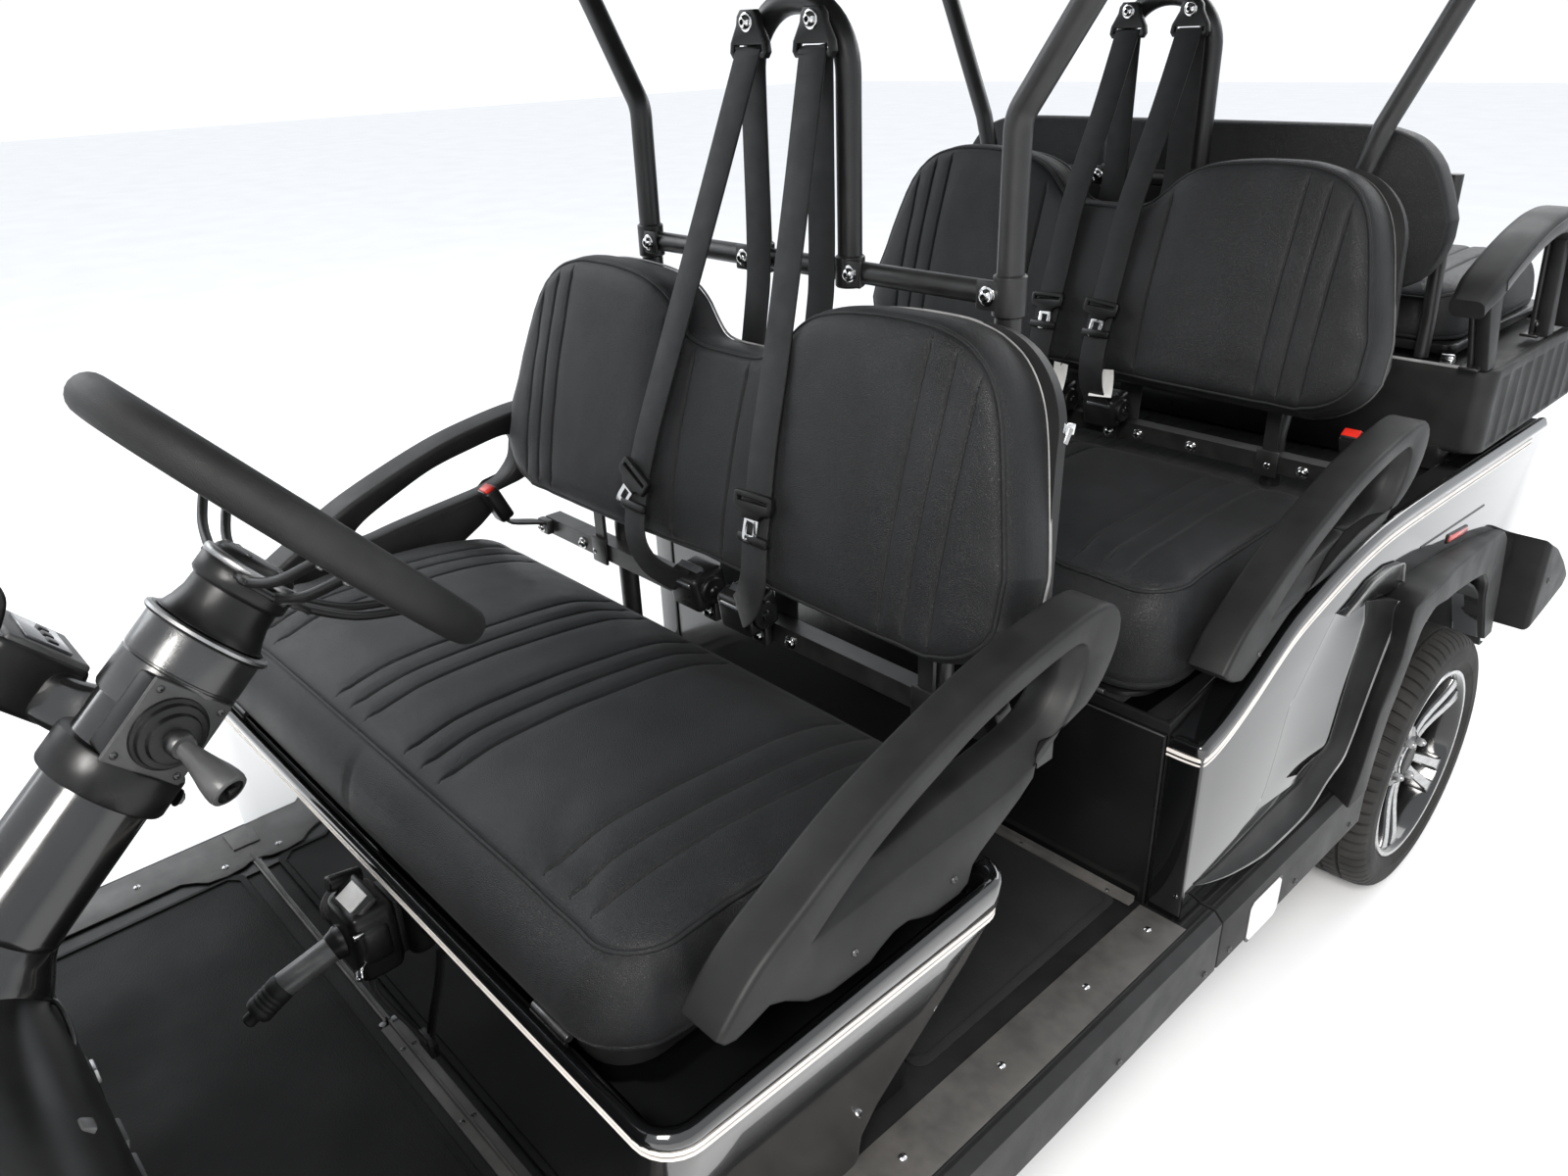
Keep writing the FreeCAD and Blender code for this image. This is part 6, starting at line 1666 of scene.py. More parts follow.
def flares():
    b = Build("rear_arch_flares")
    # outer and opening edges run side by side; the last number is the flare's reach at that place
    pairs = [((1.290, 0.4003), (1.3710, 0.4003), 0.642), ((1.301, 0.4250), (1.3730, 0.4300), 0.6425), ((1.312, 0.4500), (1.3760, 0.4630), 0.643),
             ((1.324, 0.5050), (1.3840, 0.4990), 0.6435), ((1.336, 0.5600), (1.3930, 0.5330), 0.644), ((1.359, 0.6000), (1.4080, 0.5665), 0.645),
             ((1.381, 0.6380), (1.4230, 0.6000), 0.645), ((1.383, 0.6850), (1.4380, 0.6320), 0.645), ((1.388, 0.7260), (1.4540, 0.6640), 0.645),
             ((1.449, 0.7260), (1.4970, 0.6860), 0.645), ((1.520, 0.7240), (1.5580, 0.6730), 0.642), ((1.590, 0.7200), (1.6200, 0.6600), 0.634),
             ((1.700, 0.7070), (1.7100, 0.6420), 0.626), ((1.775, 0.6955), (1.7900, 0.6260), 0.6205), ((1.850, 0.6820), (1.8560, 0.6080), 0.614),
             ((1.950, 0.6640), (1.9300, 0.5600), 0.604), ((2.005, 0.6300), (1.9600, 0.5150), 0.5985), ((2.028, 0.5650), (1.9900, 0.4700), 0.5975),
             ((2.050, 0.5000), (2.0100, 0.4350), 0.5975), ((2.072, 0.4003), (2.0300, 0.4003), 0.5975)]
    O = [np.array(p[0]) for p in pairs]
    I = [np.array(p[1]) for p in pairs]
    R = [p[2] for p in pairs]
    for s in (1, -1):
        rings = []
        for o, i, xm in zip(O, I, R):
            w = np.linalg.norm(o - i)
            u = (o - i) / w
            ring = []
            lean = min(max((1.449 - o[0]) / 0.060, 0.0), 1.0) * min(0.55 * w, 0.040)
            k = (xm - 0.590) / 0.055
            for x, base, d in ((0.5860, o, -0.002), (0.5900, o, 0.0), (0.590 + (xm - 0.590) * 0.55, o, 0.0), (xm - 0.0045 * k, o, -0.0030 * k),
                               (xm - 0.0012, o, -0.0055 * k), (xm - 0.0003, o, -0.0085 * k), (xm - 0.0003, i, 0.0080 * k), (xm - 0.0015, i, 0.0030), (xm - 0.0045, i, 0.0006),
                               (0.590 + (xm - 0.590) * 0.70, i, 0.0), (0.5600, i, 0.0), (0.5600, i, 0.006), (0.5860, i, 0.012)):
                q = base + u * d
                if base is o:
                    q = q - u * lean * min(max((xm - x) / 0.045, 0.0), 1.0)
                ring.append((s * x, q[0], q[1]))
            rings.append(ring)
        # soften the corners along the run
        dense = []
        for k in range(len(rings)):
            dense.append(rings[k])
            if k + 1 < len(rings):
                a0, b0 = np.array(rings[k]), np.array(rings[k + 1])
                for t in (0.12, 0.5, 0.88):
                    dense.append([tuple(q) for q in a0 + (b0 - a0) * t])
        D = np.array(dense)
        for _ in range(2):
            D[1:-1] = D[1:-1] * 0.5 + (D[:-2] + D[2:]) * 0.25
        rings = [[tuple(q) for q in ring] for ring in D]
        loft(b, rings, "matte_black")
        # C-shaped trim in front of the arch: valley along the panel, lip along its lower edge, two faces of the lip
        # pale grey as painted highlight
        U = smooth_path([(0.905, 0.4525, 0), (0.949, 0.4462, 0), (1.020, 0.4490, 0), (1.099, 0.4560, 0), (1.180, 0.4590, 0), (1.228, 0.4620, 0), (1.258, 0.4900, 0),
                         (1.276, 0.545, 0), (1.292, 0.610, 0), (1.308, 0.673, 0), (1.316, 0.712, 0), (1.324, 0.742, 0)], 5)
        Lw = smooth_path([(0.903, 0.4508, 0), (0.940, 0.4360, 0), (1.002, 0.4200, 0), (1.092, 0.4060, 0), (1.203, 0.4045, 0), (1.256, 0.4180, 0), (1.292, 0.4520, 0),
                          (1.326, 0.500, 0), (1.354, 0.560, 0), (1.382, 0.618, 0), (1.408, 0.668, 0), (1.424, 0.712, 0)], 5)
        # the panel swells out towards the upper arm of the trim
        swell = []
        for u in U:
            u = np.array(u[:2])
            t = min(max((u[1] - 0.462) / 0.060, 0.0), 1.0)
            rise = 0.0140 * t * t * (3 - 2 * t) * min((0.775 - u[1]) / 0.060, 1.0)
            if rise < 1e-5:
                continue
            d = np.array((-0.993, 0.120))
            rise *= 1.1
            reach = 0.170 - 0.080 * min(max((u[1] - 0.62) / 0.12, 0.0), 1.0)
            ring = [(s * 0.5840, *(u + d * reach)), (s * 0.5873, *(u + d * reach))]
            for i in range(1, 15):
                ring.append((s * (0.5873 + rise * (i / 14) ** 2), *(u + d * reach * (1 - i / 14))))
            ring += [(s * (0.5863 + rise), *(u - d * 0.004)), (s * 0.5840, *(u - d * 0.004))]
            swell.append(ring)
        loft(b, swell, "gloss_black")
        rings = []
        for k, (u, l) in enumerate(zip(U, Lw)):
            t = min(max((u[1] - 0.462) / 0.060, 0.0), 1.0)
            rise = 0.0140 * t * t * (3 - 2 * t) * min((0.775 - u[1]) / 0.060, 1.0)
            u, l = np.array(u[:2]), np.array(l[:2])
            w = max(np.linalg.norm(l - u), 1e-4)
            d = (l - u) / w
            g = min(1.0, w / 0.05)
            ring = []
            for x, t, o in ((0.5860, 0.0, -0.002), (0.5884, 0.0, -0.0015), (0.5892, 0.0, 0.0), (0.5886, 0.10, 0.0), (0.5884, 0.35, 0.0), (0.5920, 0.62, 0.0),
                            (0.6000, 0.84, 0.0), (0.6052, 0.93, 0.0), (0.6070, 1.0, -0.0035), (0.6072, 1.0, -0.0016), (0.6060, 1.0, 0.0), (0.6000, 1.0, 0.001),
                            (0.5860, 1.0, 0.001)):
                x = 0.5890 + (x - 0.5890) * (g if x > 0.5890 else 1) + (rise * (1 - 0.3 * t) if x > 0.5865 else 0)
                q = u + d * (w * t + o * g)
                ring.append((s * x, q[0], q[1]))
            rings.append(ring)
        # painted highlight: the lip's two pale faces
        loft(b, rings, "matte_black", [None] * 7 + ["painted_edge_highlight", "painted_edge_highlight", None, None, None, None])
        # scoop at the trim's head: glossy triangular inset with its rim, the rim pale grey as painted highlight
        tri = [(1.253, 0.743), (1.291, 0.752), (1.339, 0.768), (1.402, 0.771), (1.457, 0.760), (1.470, 0.722), (1.423, 0.721), (1.353, 0.735)]
        slab(b, tri, 0.586, 0.5955, 0.0012, lambda u, v, w: (s * w, u, v), "gloss_panel")
        sweep(b, corner_path([(s * 0.5962, 1.253, 0.7435), (s * 0.5962, 1.291, 0.7530), (s * 0.5962, 1.339, 0.7690), (s * 0.5962, 1.402, 0.7720), (s * 0.5962, 1.458, 0.7605),
                                    (s * 0.5962, 1.470, 0.7240)], 0.008, 3),
              rrect(0.003, 0.003, 0.001, 2), "painted_edge_highlight", up=(1, 0, 0))
        # inner wheel well over the tyre
        well = []
        c = np.array((1.727, 0.260))
        for k in range(25):
            a = math.radians(-6 + 192 * k / 24)
            d = np.array((math.cos(a), math.sin(a)))
            ring = []
            for x, r in ((0.5860, 0.345), (0.5860, 0.350), (0.4080, 0.350), (0.4080, 0.345)):
                q = c + d * r
                q[1] = min(q[1], 0.7800)
                ring.append((s * x, q[0], max(q[1], 0.372)))
            well.append(ring)
        loft(b, well, "chassis_paint")
    b.done("root", "moulded_black", ("rear_flares",), sharp=34)


flares()


def rocker_panels():
    b = Build("rocker_panels")
    # section (x, z) of the CAD rocker with rounded edges, in two lengths
    sec = [(0.5603, 0.276), (0.598, 0.276), (0.624, 0.298), (0.624, 0.384), (0.610, 0.3985), (0.4705, 0.3985), (0.4705, 0.3955), (0.5603, 0.3955)]
    for s in (1, -1):
        for y0, y1 in ((-0.480, 0.9335), (0.9365, 1.4230)):
            slab(b, sec, y0, y1, 0.0022, lambda u, v, w: (s * u, w, v), "matte_black", seg=2)
        # bare label plate on the rear length
        lab = [(1.025, 0.298), (1.034, 0.288), (1.112, 0.288), (1.121, 0.297), (1.121, 0.352), (1.112, 0.361), (1.034, 0.361), (1.025, 0.352)]
        slab(b, lab, 0.6235, 0.6256, 0.0006, lambda u, v, w: (s * w, u, v), "blank_label", seg=1)
        slab(b, [(1.021, 0.294), (1.030, 0.285), (1.116, 0.285), (1.125, 0.294), (1.125, 0.355), (1.116, 0.364), (1.030, 0.364), (1.021, 0.355)], 0.6230, 0.6246,
             0.0005, lambda u, v, w: (s * w, u, v), "satin_black", seg=1)
        for y in (-0.40, -0.16, 0.12, 0.40, 0.68, 0.90, 0.97, 1.18, 1.38):
            screw(b, (s * 0.6242, y, 0.312), (s, 0, 0), 0.0048, "dark_metal")
        # grip lines along the tread
        for x in (0.578, 0.590, 0.602):
            sweep(b, [(s * x, -0.470, 0.3988), (s * x, 0.930, 0.3988)], rrect(0.0045, 0.0014, 0.0006, 1), "matte_black", up=(1, 0, 0))
            sweep(b, [(s * x, 0.940, 0.3988), (s * x, 1.330, 0.3988)], rrect(0.0045, 0.0014, 0.0006, 1), "matte_black", up=(1, 0, 0))
    b.done("root", "moulded_black", ("rockers",), sharp=40)


rocker_panels()


# ---------------------------------------------------------------- wheels
def tyre(name, node, body, s):
    lo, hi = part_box(node)
    c = (Vector(lo) + Vector(hi)) / 2
    c.y -= DY
    b = Build(name)
    # across the tread, outer side positive: offset, radius, lateral groove depth, rib groove depth
    prof = [(-0.080, 0.1800), (-0.088, 0.1840), (-0.0935, 0.1915), (-0.0985, 0.2010), (-0.1003, 0.2070), (-0.1013, 0.2080), (-0.1015, 0.2110),
            (-0.1020, 0.2240), (-0.1014, 0.2290), (-0.0992, 0.2340), (-0.0990, 0.2365), (-0.0968, 0.2430), (-0.0925, 0.2490), (-0.0865, 0.2532),
            (-0.0790, 0.2562), (-0.0700, 0.2580), (-0.0625, 0.2588)]
    mid = [(-0.0605, 0.2590), (-0.0585, 0.2590), (-0.0570, 0.2591), (-0.0535, 0.2591), (-0.0520, 0.2592), (-0.0400, 0.2596), (-0.0255, 0.2598), (-0.0240, 0.2598),
           (-0.0205, 0.2598), (-0.0190, 0.2598), (-0.0060, 0.2600)]
    full = prof + mid + [(-h, r) for h, r in mid[::-1]] + [(-h, r) for h, r in prof[::-1]]
    blocks = 68
    ang, deep = [], []
    for k in range(blocks):
        for t, g in ((0.0, 1), (0.15, 1), (0.21, 0), (0.60, 0), (0.94, 0)):
            ang.append(2 * pi * (k + t) / blocks)
            deep.append(g)
    rings = []
    for a, g in zip(ang, deep):
        ring = []
        for h, r in full:
            ah = abs(h)
            d = 0.0
            if 0.0225 - 0.0022 < ah < 0.0225 + 0.0022 or 0.0553 - 0.0022 < ah < 0.0553 + 0.0022:
                d = 0.0065
            elif 0.060 < ah and r > 0.2365:
                d = 0.0052 * g * (1.0 if r > 0.245 else 0.55)
            elif ah < 0.019:
                d = 0.0022 * g * (1 if ah > 0.004 else 0)
            elif ah < 0.0500:
                d = 0.0034 * (1 - g) * 0 + 0.003 * g
            # the outer blocks' grooves lean with the turning sense
            aa = a + 0.55 * (0.0 if ah < 0.06 else (ah - 0.06)) * (1 if h * s > 0 else -1)
            ring.append((c.x + s * h, c.y + (r - d) * math.cos(aa), c.z + (r - d) * math.sin(aa)))
        rings.append(ring)
    n, m = len(rings), len(full)
    base = b.add([p for r in rings for p in r], [], "tyre_rubber")[0]
    for i in range(n):
        j = (i + 1) % n
        for k in range(m):
            k2 = (k + 1) % m
            b.f.append([base + i * m + k, base + i * m + k2, base + j * m + k2, base + j * m + k])
            b.m.append(0)
    b.done(body, "tyre", (node,), sharp=36)


def rim(name, node, body, s):
    lo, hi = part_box(node)
    c = (Vector(lo) + Vector(hi)) / 2
    c.y -= DY
    b = Build(name)
    xf = Matrix.Translation(c) @ basis((s, 0, 0), (0, 0, 1)).to_4x4()
    H = 0.0955
    # barrel and its flanges, outer face to inner face and back along the inside
    prof = [(0.1700, -H + 0.002), (0.1880, -H), (0.1895, -H + 0.003), (0.1885, -H + 0.007), (0.1800, -H + 0.011), (0.1775, -H + 0.020), (0.1775, 0.066),
            (0.1800, H - 0.012), (0.1885, H - 0.007), (0.1895, H - 0.003), (0.1880, H - 0.0004), (0.1845, H + 0.0004), (0.1810, H - 0.0006),
            (0.1770, H - 0.0040), (0.1745, H - 0.0100), (0.1725, H - 0.0200), (0.1690, H - 0.032), (0.1660, 0.020), (0.1660, -H + 0.012), (0.1700, -H + 0.002)]
    mats = [None] * 7 + ["rim_machined"] * 5 + [None] * 7
    lathe(b, prof, xf, "rim_black", seg=96, mats=mats, cap=False)
    # hub, cap and nuts
    lathe(b, [(0.062, 0.010), (0.066, 0.014), (0.066, 0.056), (0.0625, 0.0615), (0.056, 0.064), (0.038, 0.066), (0.034, 0.0655), (0.0325, 0.062)], xf,
          "rim_black", seg=60)
    lathe(b, [(0.030, 0.058), (0.0305, 0.0675), (0.0290, 0.0705), (0.0235, 0.0725), (0.0220, 0.0718), (0.004, 0.0722)], xf, "satin_black", seg=48)
    lathe(b, [(0.0318, 0.058), (0.0325, 0.0665), (0.0312, 0.0685), (0.0303, 0.0665)], xf, "chrome", seg=48, cap=False)
    for k in range(4):
        a = 2 * pi * k / 4 + 0.4
        q = Vector((0.0475 * math.cos(a), 0.0475 * math.sin(a), 0.0635))
        f = xf @ Matrix.Translation(q)
        lathe(b, [(0.0105, -0.002), (0.0105, 0.0016), (0.0092, 0.0022)], f, "satin_black", seg=20)
        lathe(b, [(0.0088, 0.001), (0.0088, 0.012), (0.0070, 0.0145)], f, "satin_metal", seg=6)
        lathe(b, [(0.0058, 0.013), (0.0050, 0.017), (0.0025, 0.0185)], f, "satin_metal", seg=14)
    # five pairs of spokes: black flanks, machined face
    rad = [0.050, 0.062, 0.080, 0.105, 0.130, 0.150, 0.164, 0.1735]
    for i in range(5):
        a0 = pi / 2 + 2 * pi * i / 5
        u, v = Vector((math.cos(a0), math.sin(a0), 0)), Vector((-math.sin(a0), math.cos(a0), 0))
        for e in (1, -1):
            rings = []
            for r in rad:
                t = (r - 0.050) / 0.1235
                mid = e * (0.0115 + 0.0135 * t)
                hw = 0.0082 + 0.0018 * t + 0.004 * max(0, t - 0.85) / 0.15
                face = 0.0655 + 0.0215 * smoothstep(t * 1.05) - 0.003 * math.sin(pi * t)
                back = 0.030 + 0.018 * t
                sec = [(-hw - 0.003, back), (-hw - 0.0015, face - 0.006), (-hw, face - 0.0014), (-hw + 0.0014, face), (hw - 0.0014, face),
                       (hw, face - 0.0014), (hw + 0.0015, face - 0.006), (hw + 0.003, back)]
                rings.append([xf @ (u * r + v * (mid + p) + Vector((0, 0, w))) for p, w in sec])
            loft(b, rings, "rim_black", [None, None, "rim_machined", "rim_machined", "rim_machined", None, None, None])
        # web between the two bars, sunk below their faces
        rings = []
        for r in (0.052, 0.070, 0.095, 0.120):
            t = (r - 0.050) / 0.1235
            hw = 0.006 + 0.0135 * t
            w0 = 0.034 + 0.018 * t
            w1 = w0 + 0.010 - 0.012 * max(0, t - 0.3)
            rings.append([xf @ (u * r + v * p + Vector((0, 0, w))) for p, w in ((-hw, w0), (-hw, w1), (hw, w1), (hw, w0))])
        loft(b, rings, "rim_black")
    # brake drum and valve
    lathe(b, [(0.030, -0.060), (0.098, -0.058), (0.101, -0.054), (0.101, -0.012), (0.096, -0.006), (0.060, -0.003), (0.058, 0.014)], xf, "iron", seg=48)
    f = xf @ Matrix.Translation(Vector((0.158 * math.cos(0.35), 0.158 * math.sin(0.35), 0.050))) @ Matrix.Rotation(0.5, 4, "Y")
    lathe(b, [(0.0060, 0.0), (0.0045, 0.006), (0.0032, 0.010), (0.0032, 0.024), (0.0042, 0.025), (0.0042, 0.032), (0.003, 0.033)], f, "rubber", seg=12)
    b.done(body, "rim_alloy", (node,), sharp=34)


for corner in ("front_left", "front_right", "rear_left", "rear_right"):
    sgn = 1 if corner.endswith("left") else -1
    tyre(corner + "_tyre_tread", corner + "_tyre", corner + "_wheel", sgn)
    rim(corner + "_alloy", corner + "_rim", corner + "_wheel", sgn)


# ---------------------------------------------------------------- bench bases
def bench_base(name, body, node, half, y0, y1, top, low, hinge):
    b = Build(name)
    rings = []
    for d, f in ((0.012, 0.0), (0.003, 0.0), (0.0, 0.10), (0.0, 0.82), (0.002, 0.95), (0.008, 1.0)):
        plan = round_plan(half - d, y0 + d, y1 - d, 0.052, 0.030)
        rings.append([(x, y, low(y) + (top(y) - low(y)) * f) for x, y in plan])
    base = ring_stack(b, rings, "satin_black")
    m = len(rings[0])
    b.f.append([base + k for k in range(m)][::-1])
    b.m.append(0)
    b.f.append([base + (len(rings) - 1) * m + k for k in range(m)])
    b.m.append(0)
    hy, hz = hinge
    for s in (1, -1):
        lathe(b, [(0.0040, -0.030), (0.0045, -0.029), (0.0045, 0.029), (0.0040, 0.030)], frame_at((s * 0.400, hy, hz), (1, 0, 0)), "dark_metal", seg=20)
        box(b, (s * 0.400, hy + 0.008, hz), (0.036, 0.018, 0.004), 0.0015, "dark_metal")
    b.done(body, "moulded_black", (node,), sharp=42)


bench_base("front_bench_base", "front_seat", "front_seat_pan", 0.489, 0.0215, 0.486, lambda y: 0.7232 + 0.0707 * (y - 0.016), lambda y: lip_top(y) - 0.0292, (0.010, 0.7185))
bench_base("middle_bench_base", "middle_seat", "middle_seat_pan", 0.486, 0.8905, 1.356, lambda y: 0.7124 + 0.1723 * (y - 0.889),
           lambda y: 0.7034 + 0.1700 * (y - 0.889), (0.885, 0.7065))


# ---------------------------------------------------------------- nose
def cut_with(ob, cutters):
    """Takes closed cutter builds out of a closed piece."""
    for c in cutters:
        me = bpy.data.meshes.new("cutter")
        me.from_pydata([(p[0], p[1] + DY, p[2]) for p in c.v], [], c.f)
        bm = bmesh.new()
        bm.from_mesh(me)
        bmesh.ops.recalc_face_normals(bm, faces=bm.faces)
        bm.to_mesh(me)
        bm.free()
        co = bpy.data.objects.new("cutter", me)
        bpy.context.scene.collection.objects.link(co)
        mod = ob.modifiers.new("cut", "BOOLEAN")
        mod.operation = "DIFFERENCE"
        mod.solver = "EXACT"
        mod.object = co
        bpy.context.view_layer.update()
        dg = bpy.context.evaluated_depsgraph_get()
        new = bpy.data.meshes.new_from_object(ob.evaluated_get(dg))
        ob.modifiers.remove(mod)
        ob.data = new
        bpy.data.objects.remove(co)
    ob.data.polygons.foreach_set("use_smooth", [True] * len(ob.data.polygons))
    ob.data.set_sharp_from_angle(angle=math.radians(34))


def thick_grid(b, G, thick, mat, inner_mat=None):
    """Closed sheet from a grid of points; its second side lies thick towards the grid's normals' back."""
    G = np.array(G, float)
    nu, nv = G.shape[:2]
    du = np.gradient(G, axis=0)
    dv = np.gradient(G, axis=1)
    n = np.cross(du, dv)
    n /= np.linalg.norm(n, axis=2)[..., None] + 1e-12
    for _ in range(2):
        m = n.copy()
        m[1:-1, 1:-1] = (n[1:-1, 1:-1] * 2 + n[:-2, 1:-1] + n[2:, 1:-1] + n[1:-1, :-2] + n[1:-1, 2:]) / 6
        n = m / (np.linalg.norm(m, axis=2)[..., None] + 1e-12)
    B = G - n * thick
    base = b.add(list(G.reshape(-1, 3)) + list(B.reshape(-1, 3)), [], mat)[0]
    off = nu * nv
    k0, k1 = b.mi(mat), b.mi(inner_mat or mat)
    at = lambda i, j, s=0: base + s * off + i * nv + j
    for i in range(nu - 1):
        for j in range(nv - 1):
            b.f.append([at(i, j), at(i + 1, j), at(i + 1, j + 1), at(i, j + 1)])
            b.m.append(k0)
            b.f.append([at(i, j, 1), at(i, j + 1, 1), at(i + 1, j + 1, 1), at(i + 1, j, 1)])
            b.m.append(k1)
    edge = [(i, 0) for i in range(nu)] + [(nu - 1, j) for j in range(1, nv)] + [(i, nv - 1) for i in range(nu - 2, -1, -1)] + [(0, j) for j in range(nv - 2, 0, -1)]
    for k in range(len(edge)):
        a, c = edge[k], edge[(k + 1) % len(edge)]
        b.f.append([at(*a), at(*a, 1), at(*c, 1), at(*c)])
        b.m.append(k0)


def nose():
    prof = smooth_path([(-0.5225, 0.984, 0), (-0.5800, 0.981, 0), (-0.7000, 0.957, 0), (-0.8200, 0.927, 0), (-0.9300, 0.888, 0), (-1.0300, 0.840, 0),
                        (-1.1150, 0.785, 0), (-1.1700, 0.720, 0), (-1.2050, 0.650, 0), (-1.2250, 0.575, 0), (-1.2300, 0.515, 0), (-1.2220, 0.465, 0),
                        (-1.2080, 0.4310, 0)], 6)
    plan = [(0.0, -1.2360), (0.10, -1.2350), (0.20, -1.2310), (0.29, -1.2220), (0.37, -1.2060), (0.43, -1.1780), (0.480, -1.1300), (0.511, -1.0600),
            (0.530, -0.9800), (0.541, -0.8900), (0.548, -0.7900), (0.553, -0.6900), (0.5565, -0.6000), (0.5585, -0.5226)]
    half = smooth_path([(x, y, 0) for x, y in plan], 5)
    pl = [(-p[0], p[1]) for p in half[:0:-1]] + [(p[0], p[1]) for p in half]
    G = []
    for x, yp in pl:
        col = []
        for p in prof:
            y, z = p[0], p[1]
            k = 0.060
            yy = (y + yp + math.sqrt((y - yp) ** 2 + k * k)) / 2
            yy = min(yy, -0.5224)
            # shallow bonnet valley lines either side of the middle, fading to the rear
            ax = abs(x)
            f = float(smoothstep((-0.58 - yy) / 0.15))
            z2 = z - 0.007 * math.exp(-((ax - 0.20 - 0.10 * (-0.52 - yy)) / 0.014) ** 2) * f * float(smoothstep((z - 0.70) / 0.06))
            z2 += 0.004 * (1 - (x / 0.56) ** 2) * f * float(smoothstep((z - 0.60) / 0.2)) * 0.5
            z2 = min(z2, 0.9845)
            x2 = x * (1.0 - 0.020 * float(smoothstep((z - 0.70) / 0.28)))
            col.append((x2, yy, z2))
        G.append(col)
    b = Build("nose_cowl")
    thick_grid(b, G, 0.006, "gloss_black", "satin_black")
    ob = b.done("root", "gloss_body", ("front_cowl",), sharp=40)
    cuts = []
    for s in (1, -1):
        c = Build("c")
        lathe(c, [(0.3610, 0.270), (0.3610, 0.700)], Matrix.Translation((0, -0.840, 0.260)) @ basis((s, 0, 0), (0, 0, 1)).to_4x4(), "satin_black", seg=96)
        cuts.append(c)
    cut_with(ob, cuts)

    d = Build("nose_details")
    # lower intake: sunk frame with bars
    for i in range(5):
        z = 0.462 + i * 0.019
        w = 0.205 + i * 0.006
        sweep(d, smooth_path([(-w, -1.2150, z), (-w * 0.5, -1.2300, z), (0, -1.2345, z), (w * 0.5, -1.2300, z), (w, -1.2150, z)], 6), rrect(0.0085, 0.012, 0.003, 2),
              "matte_black", up=(0, 0, 1))
    rim_path = [(-0.225, -1.2160, 0.452), (-0.110, -1.2330, 0.447), (0, -1.2370, 0.446), (0.110, -1.2330, 0.447), (0.225, -1.2160, 0.452), (0.246, -1.2140, 0.500),
                (0.248, -1.2120, 0.548), (0.125, -1.2300, 0.555), (0, -1.2350, 0.557), (-0.125, -1.2300, 0.555), (-0.248, -1.2120, 0.548), (-0.246, -1.2140, 0.500)]
    sweep(d, smooth_path(rim_path, 6, True), rrect(0.016, 0.014, 0.005, 3), "satin_black", closed=True, up=(0, -1, 0))
    # pinstripe over the bonnet's front edge and sides
    for dz, w in ((0.0, 0.0050), (-0.0085, 0.0028)):
        pts = []
        for i, (x, yp) in enumerate(pl):
            z = 0.690 + dz
            y = np.interp(-z, [-p[1] for p in prof], [p[0] for p in prof])
            yy = (y + yp + math.sqrt((y - yp) ** 2 + 0.0036)) / 2
            if yy < -0.545:
                pts.append((x * 1.000, yy, z, i))
        nrm_out = []
        for k in range(len(pts)):
            a, c = pts[max(0, k - 1)], pts[min(len(pts) - 1, k + 1)]
            t = Vector((c[0] - a[0], c[1] - a[1], 0)).normalized()
            nrm_out.append(Vector((t.y, -t.x, 0)))
        sweep(d, [Vector(p[:3]) + n * 0.0004 for p, n in zip(pts, nrm_out)], rrect(w, 0.0022, 0.0007, 2), "pinstripe", up=(0, 0, 1))
    # head lamps: housing, reflector floor, low projector lenses, light bar and cover, all following the nose
    hx, hy = [p[0] for p in half], [p[1] for p in half]
    pz, py = [-p[1] for p in prof], [p[0] for p in prof]

    def skin(x, z, h=0.0):
        y, yp = float(np.interp(-z, pz, py)), float(np.interp(abs(x), hx, hy))
        return Vector((x, (y + yp + math.sqrt((y - yp) ** 2 + 0.0036)) / 2 - h, z))

    def skin_normal(x, z):
        a, c = skin(x + 0.004, z) - skin(x - 0.004, z), skin(x, z + 0.004) - skin(x, z - 0.004)
        n = a.cross(c).normalized()
        return n if n.y < 0 else -n
    lamp = [(0.290, 0.592), (0.480, 0.641), (0.521, 0.690), (0.507, 0.736), (0.330, 0.699), (0.289, 0.660)]
    edge = [tuple(q) for q in corner_path([(0.385, 0.6165)] + lamp[1:] + lamp[:1] + [(0.385, 0.6165)], 0.022, 5)][:-1]
    edge = [(q[0], q[1]) for q in resample([(e[0], e[1], 0.0) for e in edge], 120)]
    mid = (0.412, 0.668)
    for s in (1, -1):
        def ring(k, h):
            return [tuple(skin(s * (mid[0] + (x - mid[0]) * k), mid[1] + (z - mid[1]) * k, h)) for x, z in edge]
        rings = [ring(k, h) for k, h in ((0.99, -0.012), (1.0, 0.0020), (0.995, 0.0046), (0.980, 0.0056), (0.945, 0.0056), (0.930, 0.0044), (0.925, 0.0026),
                                         (0.60, 0.0026), (0.25, 0.0026), (0.02, 0.0026))]
        base = ring_stack(d, rings, "satin_black", False, ["satin_black"] * 6 + ["reflector"] * 4)
        m = len(edge)
        d.f.append([base + 9 * m + k for k in range(m)])
        d.m.append(d.mi("reflector"))
        for x, z, r in ((0.342, 0.651, 0.023), (0.402, 0.668, 0.022), (0.458, 0.684, 0.020)):
            f = frame_at(skin(s * x, z, 0.0022), skin_normal(s * x, z))
            lathe(d, [(r * 1.12, -0.002), (r * 1.12, 0.0015), (r, 0.0030), (r * 0.86, 0.0016), (r * 0.80, 0.0014)], f, "satin_black", seg=40)
            lathe(d, [(r * 0.82, 0.0002), (r * 0.78, 0.0018), (r * 0.55, 0.0034), (r * 0.25, 0.0042), (0.0006, 0.0044)], f, "lens_clear", seg=32)
